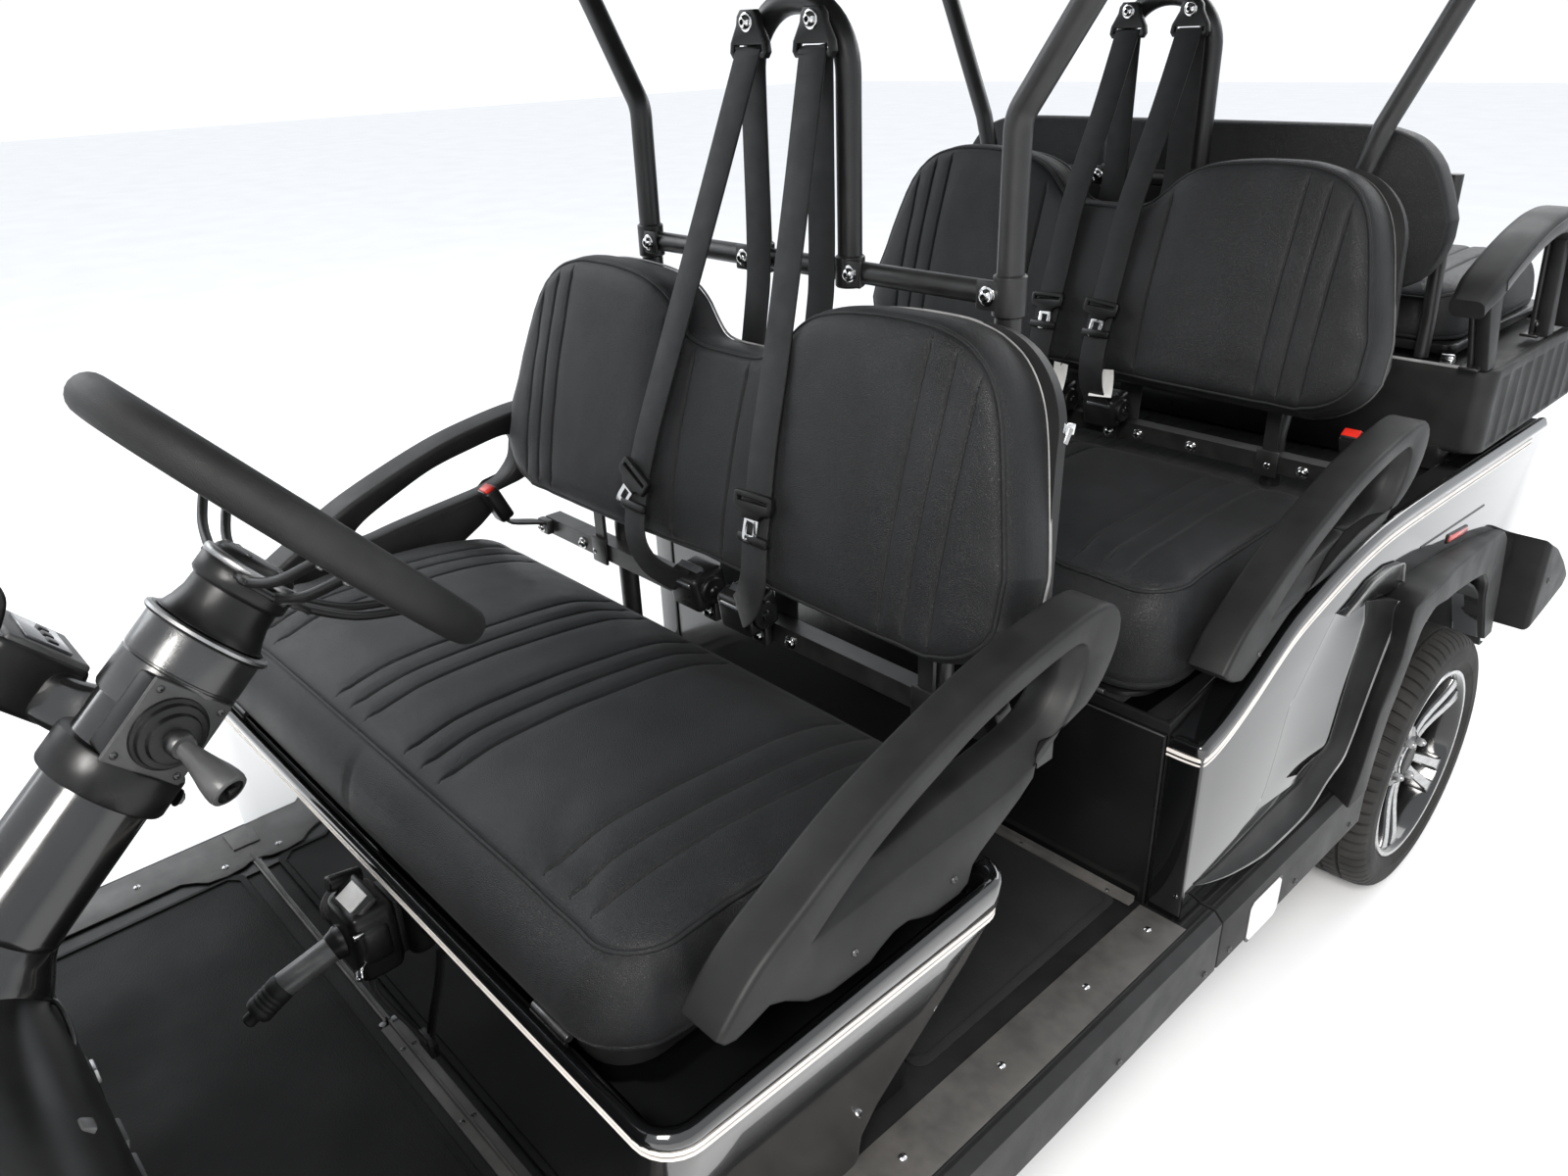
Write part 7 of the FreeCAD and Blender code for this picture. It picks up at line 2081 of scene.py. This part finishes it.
        bar = [tuple(skin(s * x, z, 0.0042)) for x, z in ((0.318, 0.6085), (0.385, 0.6265), (0.445, 0.6425), (0.478, 0.6530), (0.500, 0.6790), (0.504, 0.7050))]
        sweep(d, smooth_path(bar, 5), rrect(0.0060, 0.0030, 0.0012, 2), "blank_label", up=(0, -1, 0))
        cover = [ring(k, h) for k, h in ((0.925, 0.0066), (0.922, 0.0078), (0.90, 0.0084), (0.60, 0.0088), (0.25, 0.0090), (0.02, 0.0090))]
        back = [ring(k, h) for k, h in ((0.02, 0.0076), (0.25, 0.0076), (0.60, 0.0074), (0.90, 0.0070))]
        ring_stack(d, cover + back, "lens_clear", True)
    d.done("root", "moulded_black", ("headlights",), sharp=36)

    # bumper with slots, rounded ends and fixing screws
    bp = Build("front_bumper_bar")
    out = [(-0.540, 0.3305), (0.540, 0.3305), (0.559, 0.360), (0.545, 0.4245), (-0.545, 0.4245), (-0.559, 0.360)]
    holes = [[(x0, 0.362), (x0 + 0.10, 0.362), (x0 + 0.094, 0.394), (x0 + 0.006, 0.394)] for x0 in (-0.27, -0.155, 0.055, 0.17)]
    slab(bp, out, -1.2615, -1.2060, 0.012, lambda u, v, w: (u, w, v), "matte_black", holes=holes, seg=4)
    slab(bp, [(-0.30, 0.350), (0.30, 0.350), (0.30, 0.405), (-0.30, 0.405)], -1.2240, -1.2180, 0.001, lambda u, v, w: (u, w, v), "chassis_paint")
    for s in (1, -1):
        sweep(bp, [(s * 0.33, -1.2620, 0.378), (s * 0.50, -1.2620, 0.378)], rrect(0.010, 0.004, 0.0018, 2), "satin_black", up=(0, 0, 1))
        for x in (0.30, 0.52):
            dome_bolt(bp, (s * x, -1.2612, 0.405 if x < 0.4 else 0.355), (0, -1, 0), 0.006, "dark_metal")
    bp.done("root", "moulded_black", ("front_bumper",), sharp=36)

    # front arches: flared lip, wheel well and inner wall
    f = Build("front_arch_flares")
    for s in (1, -1):
        rings = []
        for k in range(49):
            a = math.radians(18.2 + 143.6 * k / 48)
            ring = []
            for x, r in ((0.2780, 0.3508), (0.6000, 0.3508), (0.6400, 0.3478), (0.6480, 0.3482), (0.6500, 0.3505), (0.6500, 0.3560), (0.6485, 0.3590),
                         (0.6300, 0.3612), (0.6050, 0.3612), (0.6000, 0.3600), (0.5700, 0.3600), (0.5650, 0.3612), (0.2780, 0.3612)):
                ring.append((s * x, -0.840 + r * math.cos(a), 0.260 + r * math.sin(a)))
            rings.append(ring)
        loft(f, rings, "matte_black")
        arc = [(-0.840 + 0.3600 * math.cos(math.radians(18.4 + 143.2 * k / 32)), 0.260 + 0.3600 * math.sin(math.radians(18.4 + 143.2 * k / 32))) for k in range(33)]
        slab(f, arc, 0.2765, 0.2855, 0.001, lambda u, v, w: (s * w, u, v), "chassis_paint", seg=1)
        for k in range(5):
            a = math.radians(30 + 30 * k)
            screw(f, (s * 0.588, -0.840 + 0.3607 * math.cos(a), 0.260 + 0.3607 * math.sin(a)), (0, math.cos(a), math.sin(a)), 0.005, "dark_metal")
    f.done("root", "moulded_black", ("front_fenders",), sharp=36)


nose()


# ---------------------------------------------------------------- dashboard
def dashboard():
    b = Build("dashboard_moulding")
    prof = smooth_path([(-0.3310, 0.6520, 0), (-0.3300, 0.7000, 0), (-0.3310, 0.8000, 0), (-0.3345, 0.8800, 0), (-0.3440, 0.9150, 0), (-0.3640, 0.9370, 0),
                        (-0.4000, 0.9500, 0), (-0.4600, 0.9680, 0), (-0.5200, 0.9835, 0)], 5)
    G = []
    xs = np.concatenate([[-0.5590, -0.5580, -0.5550, -0.5490], np.linspace(-0.540, 0.540, 73), [0.5490, 0.5550, 0.5580, 0.5590]])
    for x in xs:
        e = max(0.0, (abs(x) - 0.540) / 0.019)
        roll = 0.012 * (1 - math.sqrt(max(0, 1 - min(1, e) ** 2)))
        col = []
        for p in prof:
            y, z = p[0] - roll, p[1] - roll * (1 if p[1] > 0.9 else 0)
            col.append((x, y, z))
        G.append(col)
    thick_grid(b, G, 0.009, "matte_black", "satin_black")
    for s in (1, -1):
        end = [(-0.5195, 0.6520), (-0.5195, 0.9780), (-0.4000, 0.9460), (-0.3660, 0.9330), (-0.3480, 0.9130), (-0.3400, 0.8800), (-0.3385, 0.6520)]
        slab(b, end, 0.5510, 0.5585, 0.002, lambda u, v, w: (s * w, u, v), "matte_black")
    ob = b.done("root", "moulded_black", ("dashboard",), sharp=40)
    d = Build("dashboard_details")
    face = lambda z: float(np.interp(z, [p[1] for p in prof], [p[0] for p in prof]))
    # two lidded bins: frame, lid, finger pull
    for x0, x1 in ((-0.505, -0.300), (-0.270, -0.060)):
        o = [(x0, 0.702), (x1, 0.702), (x1, 0.862), (x0, 0.862)]
        o = [tuple(q) for q in corner_path([((x0 + x1) / 2, 0.702)] + [(x1, 0.702), (x1, 0.862), (x0, 0.862), (x0, 0.702)] + [((x0 + x1) / 2, 0.702)], 0.018, 4)][:-1]
        slab(d, o, -0.3360, -0.3262, 0.003, lambda u, v, w: (u, w, v), "matte_black", holes=([tuple(q) for q in inset(o, 0.010)],))
        slab(d, [tuple(q) for q in inset(o, 0.0112)], -0.3400, -0.3285, 0.0025, lambda u, v, w: (u, w, v), "satin_black")
        box(d, ((x0 + x1) / 2, -0.3270, 0.836), (0.060, 0.007, 0.012), 0.003, "grey_dark")
    # louvres beside the column, a row of blank switches, key barrel
    for x0 in (0.380, ):
        o = [(x0, 0.690), (x0 + 0.150, 0.690), (x0 + 0.150, 0.800), (x0, 0.800)]
        slab(d, o, -0.3370, -0.3270, 0.002, lambda u, v, w: (u, w, v), "matte_black", holes=([tuple(q) for q in inset(o, 0.007)],))
        for i in range(9):
            box(d, (x0 + 0.075, -0.3315, 0.7025 + i * 0.0106), (0.136, 0.009, 0.0042), 0.0014, "matte_black", basis((0, -0.55, 0.83), (1, 0, 0)))
    brow = Vector((0, 0.62, 0.78)).normalized()
    bm_ = basis(brow, (1, 0, 0))
    at = Vector((0.388, -0.3600, 0.9350))
    box(d, at + brow * 0.0010, (0.118, 0.044, 0.005), 0.002, "grey_dark", bm_, 2)
    for i in range(8):
        box(d, at + bm_ @ Vector((0, 0, 0.0036)) + bm_ @ Vector((0, (i - 3.5) * 0.0046, 0)), (0.104, 0.0022, 0.0022), 0.0006, "satin_black", bm_, 1)
    tube(d, smooth_path([(0.280, -0.3345, 0.9000), (0.286, -0.3270, 0.9040), (0.304, -0.3250, 0.8990), (0.322, -0.3270, 0.8900), (0.330, -0.3345, 0.8850)], 5), 0.0022,
         "dark_metal", seg=10)
    box(d, (0.452, -0.3440, 0.9240), (0.012, 0.010, 0.016), 0.002, "grey_knob", bm_, 2)
    for i in range(4):
        x = 0.385 + i * 0.040
        box(d, (x, -0.3300, 0.842), (0.034, 0.010, 0.026), 0.003, "satin_black")
        box(d, (x, -0.3262, 0.842), (0.027, 0.008, 0.019), 0.0025, "grey_dark", basis((0, 0.25, 1), (1, 0, 0)))
    lathe(d, [(0.017, 0.0), (0.017, 0.004), (0.0145, 0.006), (0.0125, 0.006), (0.0125, 0.013), (0.0105, 0.015), (0.003, 0.015)],
          frame_at((0.150, -0.3310, 0.842), (0, 1, 0)), "satin_metal", seg=36)
    # latch under the column
    box(d, (0.250, -0.3255, 0.790), (0.024, 0.010, 0.036), 0.003, "satin_black")
    box(d, (0.250, -0.3205, 0.796), (0.016, 0.006, 0.016), 0.002, "satin_metal")
    # blank gauge pod and cup wells on the shelf
    box(d, (0.250, -0.4560, 0.9760), (0.150, 0.075, 0.030), 0.010, "satin_black", basis((0, 0.25, 0.97), (1, 0, 0)), 4)
    box(d, (0.250, -0.4430, 0.9860), (0.118, 0.050, 0.006), 0.002, "column_gloss", basis((0, 0.42, 0.90), (1, 0, 0)), 2)
    for x in (-0.42, -0.30, 0.44):
        n = Vector((0, 0.27, 0.96)).normalized()
        q = Vector((x, -0.432, 0.9585))
        lathe(d, [(0.045, -0.003), (0.0455, 0.0015), (0.0435, 0.0045), (0.0395, 0.0045), (0.0380, 0.0010), (0.0370, -0.0040), (0.004, -0.0045)],
              frame_at(q, n), "satin_black", seg=48)
    for x in (-0.52, -0.03, 0.345, 0.535):
        for z in (0.675, 0.895):
            screw(d, (x, face(z) + 0.0006, z), (0, 1, 0), 0.005, "dark_metal")
    d.done("root", "moulded_black", (), sharp=38)
    # pedals: ribbed rubber pads on bent arms
    q = Build("pedal_set")
    for x0, x1 in ((0.118, 0.184), (0.206, 0.262)):
        cx, w = (x0 + x1) / 2, x1 - x0
        lean = basis((0, 0.97, 0.24), (1, 0, 0))
        box(q, (cx, -0.5545, 0.507), (w - 0.002, 0.008, 0.102), 0.003, "dark_metal")
        box(q, (cx, -0.5505, 0.507), (w - 0.006, 0.007, 0.096), 0.003, "rubber")
        for i in range(7):
            box(q, (cx, -0.5478, 0.469 + i * 0.0128), (w - 0.014, 0.005, 0.0058), 0.0015, "rubber", seg=1)
        sweep(q, corner_path([(cx, -0.5570, 0.480), (cx, -0.585, 0.450), (cx, -0.6290, 0.452), (cx, -0.6300, 0.400)], 0.02, 4), rrect(0.014, 0.009, 0.002, 2),
              "powder", up=(1, 0, 0))
    q.done("root", "floor_rubber", ("pedals",), sharp=40)


dashboard()


# ---------------------------------------------------------------- roof and windscreen
def roof():
    b = Build("roof_canopy")
    half, y0, y1, r = 0.6045, -0.5195, 1.9495, 0.085
    ribs = [s * x for s in (-1, 1) for x in (0.16, 0.34)]
    xs = np.array(sorted(set(list(np.round(np.linspace(-half, half, 61), 5))
                             + [round(v + d, 5) for v in ribs for d in (-0.026, -0.018, -0.010, 0.010, 0.018, 0.026)]
                             + [round(s * (half - d), 5) for s in (-1, 1) for d in (0.0015, 0.005, 0.011, 0.030)])))
    ts = np.array([0, 0.0006, 0.002, 0.0045, 0.009, 0.015] + list(np.linspace(0.024, 0.976, 50)) + [0.985, 0.991, 0.9955, 0.998, 0.9994, 1.0])
    def edge(x):
        k = np.clip((abs(x) - (half - r)) / r, 0, 1)
        return r * (1 - math.sqrt(max(0.0, 1 - k * k)))
    pts, nx, nt = [], len(xs), len(ts)
    for x in xs:
        lo, hi = y0 + edge(x), y1 - edge(x)
        for t in ts:
            y = lo + (hi - lo) * t
            d = min(half - abs(x), y - lo, hi - y) if abs(x) < half - r else min(half - abs(x) + 0.0, y - lo, hi - y)
            roll = max(0.0, 1 - d / 0.045)
            z = 2.0385 - 0.010 * (x / half) ** 2 - 0.028 * (1 - math.sqrt(max(0, 1 - roll * roll))) - 0.003 * (2 * t - 1) ** 2
            inside = float(smoothstep((d - 0.07) / 0.05))
            for v in ribs:
                z -= 0.0065 * inside * (1 - float(smoothstep((abs(x - v) - 0.012) / 0.012)))
            pts.append((x, y, z))
    faces = [[i * nt + j, (i + 1) * nt + j, (i + 1) * nt + j + 1, i * nt + j + 1] for i in range(nx - 1) for j in range(nt - 1)]
    loop = [(i, 0) for i in range(nx)] + [(nx - 1, j) for j in range(1, nt)] + [(i, nt - 1) for i in range(nx - 2, -1, -1)] + [(0, j) for j in range(nt - 2, 0, -1)]
    base = b.add(pts, faces, "shell_black")[0]
    ids = [base + i * nt + j for i, j in loop]
    lp = np.array([pts[i * nt + j] for i, j in loop])
    # edge rings drawn towards the middle
    cx, cy, hx, hy = 0.0, (y0 + y1) / 2, half, (y1 - y0) / 2
    prev = ids
    m = len(ids)
    lastz = None
    for d, z, mat in ((0.0000, 1.990, "shell_black"), (0.0000, 1.962, "shell_black"), (0.0015, 1.9500, "shell_black"), (0.006, 1.9458, "shell_black"),
                      (0.016, 1.9458, "shell_black"), (0.021, 1.950, "shell_black"), (0.0235, 1.960, "headliner"), (0.0240, 1.978, "headliner"),
                      (0.032, 1.9835, "headliner"), (0.060, 1.9848, "headliner")):
        new = []
        for p in lp:
            kx, ky = (hx - d) / hx, (hy - d) / hy
            new.append((cx + (p[0] - cx) * kx, cy + (p[1] - cy) * ky, z))
        nb = b.add(new, [], mat)[0]
        k0 = b.mi(mat)
        for k in range(m):
            k2 = (k + 1) % m
            b.f.append([prev[k], prev[k2], nb + k2, nb + k])
            b.m.append(k0)
        prev = [nb + k for k in range(m)]
    b.f.append(prev)
    b.m.append(b.mi("headliner"))
    b.done("root", "moulded_black", ("roof",), sharp=50)
    d = Build("roof_fittings")
    # gutter lines, post sockets under the liner, grab handles, dome lamp
    for s in (1, -1):
        for y in (0.743, 1.616):
            lathe(d, [(0.024, 0.0), (0.026, 0.003), (0.026, 0.010), (0.020, 0.020)], frame_at((s * 0.548, y, 1.9840), (0, 0, -1)), "satin_black", seg=28)
        lathe(d, [(0.024, 0.0), (0.026, 0.003), (0.026, 0.008), (0.020, 0.016)], frame_at((s * 0.530, -0.3400, 1.9840), (0, 0, -1)), "satin_black", seg=28)
        for y in (0.34, 1.21):
            pts = [(s * 0.520, y - 0.085, 1.9845), (s * 0.515, y - 0.080, 1.962), (s * 0.510, y - 0.045, 1.948), (s * 0.510, y + 0.045, 1.948),
                   (s * 0.515, y + 0.080, 1.962), (s * 0.520, y + 0.085, 1.9845)]
            sweep(d, smooth_path(pts, 6), rrect(0.020, 0.012, 0.005, 3), "satin_black", up=(1, 0, 0))
            for e in (1, -1):
                box(d, (s * 0.520, y + e * 0.086, 1.9820), (0.030, 0.034, 0.006), 0.0025, "satin_black")
    for y in (0.30, 1.18):
        box(d, (0, y, 1.9800), (0.130, 0.060, 0.010), 0.004, "satin_black", seg=3)
        box(d, (0, y, 1.9745), (0.104, 0.040, 0.005), 0.002, "lens_clear", seg=2)
    for x in (-0.28, 0.28):
        sweep(d, [(x, -0.44, 1.9835), (x, 1.87, 1.9835)], rrect(0.030, 0.006, 0.0025, 2), "headliner", up=(1, 0, 0))
    d.done("root", "moulded_black", (), sharp=40)
    # seal round the pane, clips and lower gasket
    w = Build("windscreen_seal")
    a = math.radians(10.3)
    on = lambda x, z, n=0.0: (x, -0.515 + z * math.sin(a) - n * math.cos(a), 0.992 + z * math.cos(a) + n * math.sin(a))
    per = []
    for x, z in ((0.507, 0.034), (0.507, 0.966), (-0.507, 0.966), (-0.507, 0.034)):
        per.append(on(x, z))
    pts = []
    for i in range(4):
        p, q = Vector(per[i]), Vector(per[(i + 1) % 4])
        pts += [p.lerp(q, t) for t in (0.012, 0.25, 0.5, 0.75, 0.988)]
    sweep(w, smooth_path([tuple(p) for p in pts], 3, True), rrect(0.012, 0.014, 0.004, 2), "rubber", closed=True, up=(0, -1, 0))
    for s in (1, -1):
        for z in (0.15, 0.50, 0.85):
            box(w, on(s * 0.520, z, 0.0), (0.030, 0.016, 0.030), 0.003, "satin_black", Matrix.Rotation(-a, 3, "X"))
            screw(w, on(s * 0.519, z, 0.0085), (0, -math.cos(a), math.sin(a)), 0.0045, "dark_metal")
    tube(w, [on(-0.40, 0.016, 0.010), on(0.40, 0.016, 0.010)], 0.006, "rubber", seg=10)
    w.done("root", "moulded_black", (), sharp=40)


roof()


# ---------------------------------------------------------------- rear end
def rear_end():
    b = Build("rear_box_body")
    rings = []
    def ribbed(half, y0, y1, r, dep):
        plan = []
        base = round_plan(half, y0, y1, r, r, 6)
        # side faces: fine upright ribs
        out = []
        n = len(base)
        for i in range(n):
            p, q = np.array(base[i]), np.array(base[(i + 1) % n])
            out.append(tuple(p))
            if abs(abs(p[0]) - half) < 1e-6 and abs(abs(q[0]) - half) < 1e-6:
                L = np.linalg.norm(q - p)
                k = max(1, int(round(L / 0.050)))
                s = 1 if p[0] > 0 else -1
                for j in range(k):
                    for t, d in ((0.06, 0), (0.16, 0.5), (0.26, 0.9), (0.38, 1), (0.62, 1), (0.74, 0.9), (0.84, 0.5), (0.94, 0)):
                        w = (j + t) / k
                        g = p + (q - p) * w
                        out.append((g[0] - s * dep * d, g[1]))
        return out
    for half, d, z, dep in ((0.5765, 0.0035, 0.8525, 0.0), (0.5790, 0.001, 0.8550, 0.0), (0.5795, 0.0, 0.8600, 0.0), (0.5795, 0.0, 0.8640, 0.0040), (0.5795, 0.0, 0.9780, 0.0040),
                            (0.5795, 0.0, 0.9820, 0.0), (0.5795, 0.0, 0.9930, 0.0), (0.5780, 0.001, 0.9970, 0.0), (0.5740, 0.004, 0.9995, 0.0), (0.5640, 0.012, 0.9995, 0.0),
                            (0.5600, 0.016, 0.9960, 0.0), (0.5590, 0.017, 0.9880, 0.0)):
        rings.append([(x, y, z) for x, y in ribbed(half, 1.751 + d, 2.274 - d, 0.030, dep)])
    base = ring_stack(b, rings, "matte_black")
    m = len(rings[0])
    b.f.append([base + k for k in range(m)][::-1])
    b.m.append(0)
    b.f.append([base + (len(rings) - 1) * m + k for k in range(m)])
    b.m.append(0)
    slab(b, [(q[0], q[1]) for q in round_plan(0.5295, 1.7505, 2.2745, 0.012, 0.012, 3)], 0.8155, 0.8600, 0.003, lambda u, v, w: (u, v, w), "satin_black")
    # pale strip along the front rim as painted highlight, hinges, lugs
    box(b, (0.0, 1.7535, 0.9985), (1.100, 0.004, 0.005), 0.0015, "painted_edge_highlight")
    for s in (1, -1):
        box(b, (s * 0.389, 2.2735, 0.998), (0.018, 0.022, 0.024), 0.003, "dark_metal")
        lathe(b, [(0.0085, -0.009), (0.009, -0.008), (0.009, 0.008), (0.0085, 0.009)], frame_at((s * 0.389, 2.285, 1.011), (1, 0, 0)), "dark_metal", seg=24)
        hex_bolt(b, (s * 0.3995, 2.285, 1.011), (s, 0, 0), 0.005, "satin_metal")
        box(b, (s * 0.500, 1.7640, 1.0030), (0.020, 0.018, 0.008), 0.002, "chrome")
        lathe(b, [(0.006, 0), (0.0062, 0.002), (0.0062, 0.018), (0.005, 0.020)], frame_at((s * 0.490, 1.764, 1.009), (s, 0, 0)), "chrome", seg=18)
        # latch on the box's rear face
        box(b, (s * 0.22, 2.2765, 0.955), (0.060, 0.006, 0.034), 0.0025, "satin_black")
    b.done("root", "moulded_black", ("rear_seat_base",), sharp=34)

    # flip pan: edge frame and underside stays with the moving seat
    p = Build("flip_pan_board")
    slab(p, [tuple(q) for q in round_plan(0.4945, 1.8005, 2.2675, 0.02, 0.02, 5)], 1.0035, 1.0205, 0.003, lambda u, v, w: (u, v, w), "satin_black")
    for s in (1, -1):
        box(p, (s * 0.410, 2.2735, 1.011), (0.018, 0.022, 0.015), 0.003, "dark_metal")
        lathe(p, [(0.0085, -0.009), (0.009, -0.008), (0.009, 0.008), (0.0085, 0.009)], frame_at((s * 0.4105, 2.285, 1.011), (1, 0, 0)), "dark_metal", seg=24)
    for x in (-0.30, 0.0, 0.30):
        box(p, (x, 2.03, 1.0030), (0.020, 0.38, 0.002), 0.0008, "satin_black", seg=1)
    p.done("flip_seat", "moulded_black", ("flip_seat_pan",), sharp=36)

    # hip restraints: padded arm on two flat posts each side
    h = Build("rear_hip_guards")
    cl = smooth_path([(0, 1.594, 1.128), (0, 1.640, 1.152), (0, 1.700, 1.177), (0, 1.780, 1.202), (0, 1.870, 1.2185), (0, 1.950, 1.217), (0, 2.010, 1.198), (0, 2.062, 1.168),
                      (0, 2.108, 1.135), (0, 2.142, 1.100), (0, 2.160, 1.060), (0, 2.170, 1.0035)], 5)
    for s in (1, -1):
        n = len(cl)
        sc = [0.80 + 0.20 * float(smoothstep(i / 6)) for i in range(n)]
        sweep(h, [(s * 0.562, q[1], q[2]) for q in cl], rrect(0.063, 0.041, 0.014, 4), "matte_black", up=(1, 0, 0), scales=sc)
        # recess line along the outer face
        sweep(h, [(s * 0.5940, q[1], q[2]) for q in cl[6:-8]], rrect(0.0016, 0.018, 0.0007, 2), "satin_black", up=(1, 0, 0))
        for quad in ([(1.662, 1.150), (1.728, 1.172), (1.789, 1.001), (1.737, 1.001)], [(2.002, 1.182), (2.043, 1.166), (2.084, 1.001), (2.036, 1.001)]):
            slab(h, quad, 0.5385, 0.5475, 0.003, lambda u, v, w: (s * w, u, v), "powder")
            inner = [(quad[0][0] + 0.006, quad[0][1]), (quad[1][0] - 0.010, quad[1][1]), (quad[2][0] - 0.010, quad[2][1]), (quad[3][0] + 0.006, quad[3][1])]
            slab(h, inner, 0.5475, 0.5700, 0.004, lambda u, v, w: (s * w, u, v), "matte_black")
            mid = ((quad[2][0] + quad[3][0]) / 2, 1.0)
            box(h, (s * 0.543, mid[0], 1.0035), (0.030, 0.070, 0.006), 0.0025, "powder")
            for e in (1, -1):
                dome_bolt(h, (s * 0.5485, mid[0] + e * 0.016, 1.024), (s, 0, 0), 0.0065)
    h.done("root", "frame_steel", ("rear_hip_restraints",), sharp=38)

    # deck with ribs, back wall
    d = Build("rear_deck_mat")
    slab(d, [(-0.5325, 1.4005), (0.5325, 1.4005), (0.5325, 2.1095), (-0.5325, 2.1095)], 0.7905, 0.8120, 0.004, lambda u, v, w: (u, v, w), "satin_black")
    slab(d, [tuple(q) for q in round_plan(0.505, 1.440, 1.742, 0.02, 0.02, 4)], 0.8100, 0.8132, 0.001, lambda u, v, w: (u, v, w), "mat_rubber")
    for i in range(30):
        box(d, (-0.48 + 0.96 * i / 29, 1.590, 0.8134), (0.012, 0.27, 0.0012), 0.0005, "mat_rubber", seg=1)
    slab(d, [(-0.5325, 0.4305), (0.5325, 0.4305), (0.5325, 0.7995), (-0.5325, 0.7995)], 2.1025, 2.1095, 0.002, lambda u, v, w: (u, w, v), "gloss_panel")
    for i in range(6):
        sweep(d, [(-0.40, 2.1098, 0.47 + i * 0.020), (0.40, 2.1098, 0.47 + i * 0.020)], rrect(0.008, 0.003, 0.0012, 2), "matte_black", up=(0, 0, 1))
    d.done("root", "moulded_black", ("rear_deck",), sharp=38)

    # tail lamps
    t = Build("tail_lamp_pair")
    for s in (1, -1):
        box(t, (s * 0.475, 2.1135, 0.690), (0.096, 0.008, 0.106), 0.003, "satin_black", seg=3)
        box(t, (s * 0.475, 2.1185, 0.706), (0.082, 0.017, 0.060), 0.006, "lens_red", seg=4)
        box(t, (s * 0.475, 2.1185, 0.658), (0.082, 0.016, 0.028), 0.005, "lens_clear", seg=4)
        box(t, (s * 0.475, 2.1150, 0.658), (0.074, 0.008, 0.022), 0.003, "reflector", seg=2)
        for k in range(3):
            lathe(t, [(0.0105, 0.0), (0.0100, 0.0015), (0.004, 0.0022)], frame_at((s * 0.475 + (k - 1) * 0.025, 2.1262, 0.706), (0, 1, 0)), "lens_red", seg=24)
        for e in (1, -1):
            screw(t, (s * 0.475 + e * 0.043, 2.1172, 0.741 - 0.002), (0, 1, 0), 0.003, "dark_metal")
    t.done("root", "lamp_red", ("tail_lights",), sharp=40)

    # bumper band with its corner wedges
    r = Build("rear_bumper_bar")
    band = [(2.1325, 0.5995), (2.1560, 0.5965), (2.1690, 0.5850), (2.1690, 0.4240), (2.1560, 0.4120), (2.1325, 0.4025)]
    slab(r, band, -0.5560, 0.5560, 0.004, lambda u, v, w: (w, u, v), "matte_black", seg=2)
    for s in (1, -1):
        corner = [(2.1165, 0.5995), (2.1600, 0.5780), (2.2000, 0.5590), (2.2700, 0.5110), (2.3240, 0.4660), (2.3260, 0.4520), (2.3090, 0.4330), (2.2200, 0.4180), (2.1165, 0.4025)]
        slab(r, corner, 0.5555, 0.6495, 0.012, lambda u, v, w: (s * w, u, v), "matte_black", seg=4)
        screw(r, (s * 0.6495, 2.165, 0.500), (s, 0, 0), 0.006, "dark_metal")
    for i in range(3):
        sweep(r, [(-0.46, 2.1700, 0.470 + i * 0.038), (0.46, 2.1700, 0.470 + i * 0.038)], rrect(0.016, 0.005, 0.002, 2), "matte_black", up=(0, 0, 1))
    for x in (-0.52, 0.52):
        box(r, (x, 2.1705, 0.508), (0.040, 0.005, 0.050), 0.002, "lens_red", seg=3)
    r.done("root", "moulded_black", ("rear_bumper",), sharp=38)

    # footplate: tread bars, rolled edge
    f = Build("rear_footplate_tread")
    lo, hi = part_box("rear_footplate")
    yb = hi[1] - DY
    plan = corner_path([(0, 2.1505), (0.5595, 2.1505), (0.5595, 2.5595), (0.4995, yb - 0.0005), (-0.4995, yb - 0.0005), (-0.5595, 2.5595), (-0.5595, 2.1505), (0, 2.1505)], 0.02, 4)[:-1]
    slab(f, [tuple(q) for q in plan], 0.3715, 0.3885, 0.005, lambda u, v, w: (u, v, w), "matte_black", seg=3)
    for i in range(17):
        y = 2.19 + i * 0.0225
        half = 0.52 if y < 2.54 else 0.49
        for k in range(9):
            x = -half + (2 * half) * (k + 0.5) / 9
            box(f, (x, y, 0.3893), (2 * half / 9 - 0.016, 0.0085, 0.0045), 0.0018, "rubber", seg=1)
    for s in (1, -1):
        for y in (2.175, 2.560):
            dome_bolt(f, (s * 0.44, y, 0.3885), (0, 0, 1), 0.004, "dark_metal", False)
    f.done("root", "floor_rubber", ("rear_footplate",), sharp=40)


rear_end()
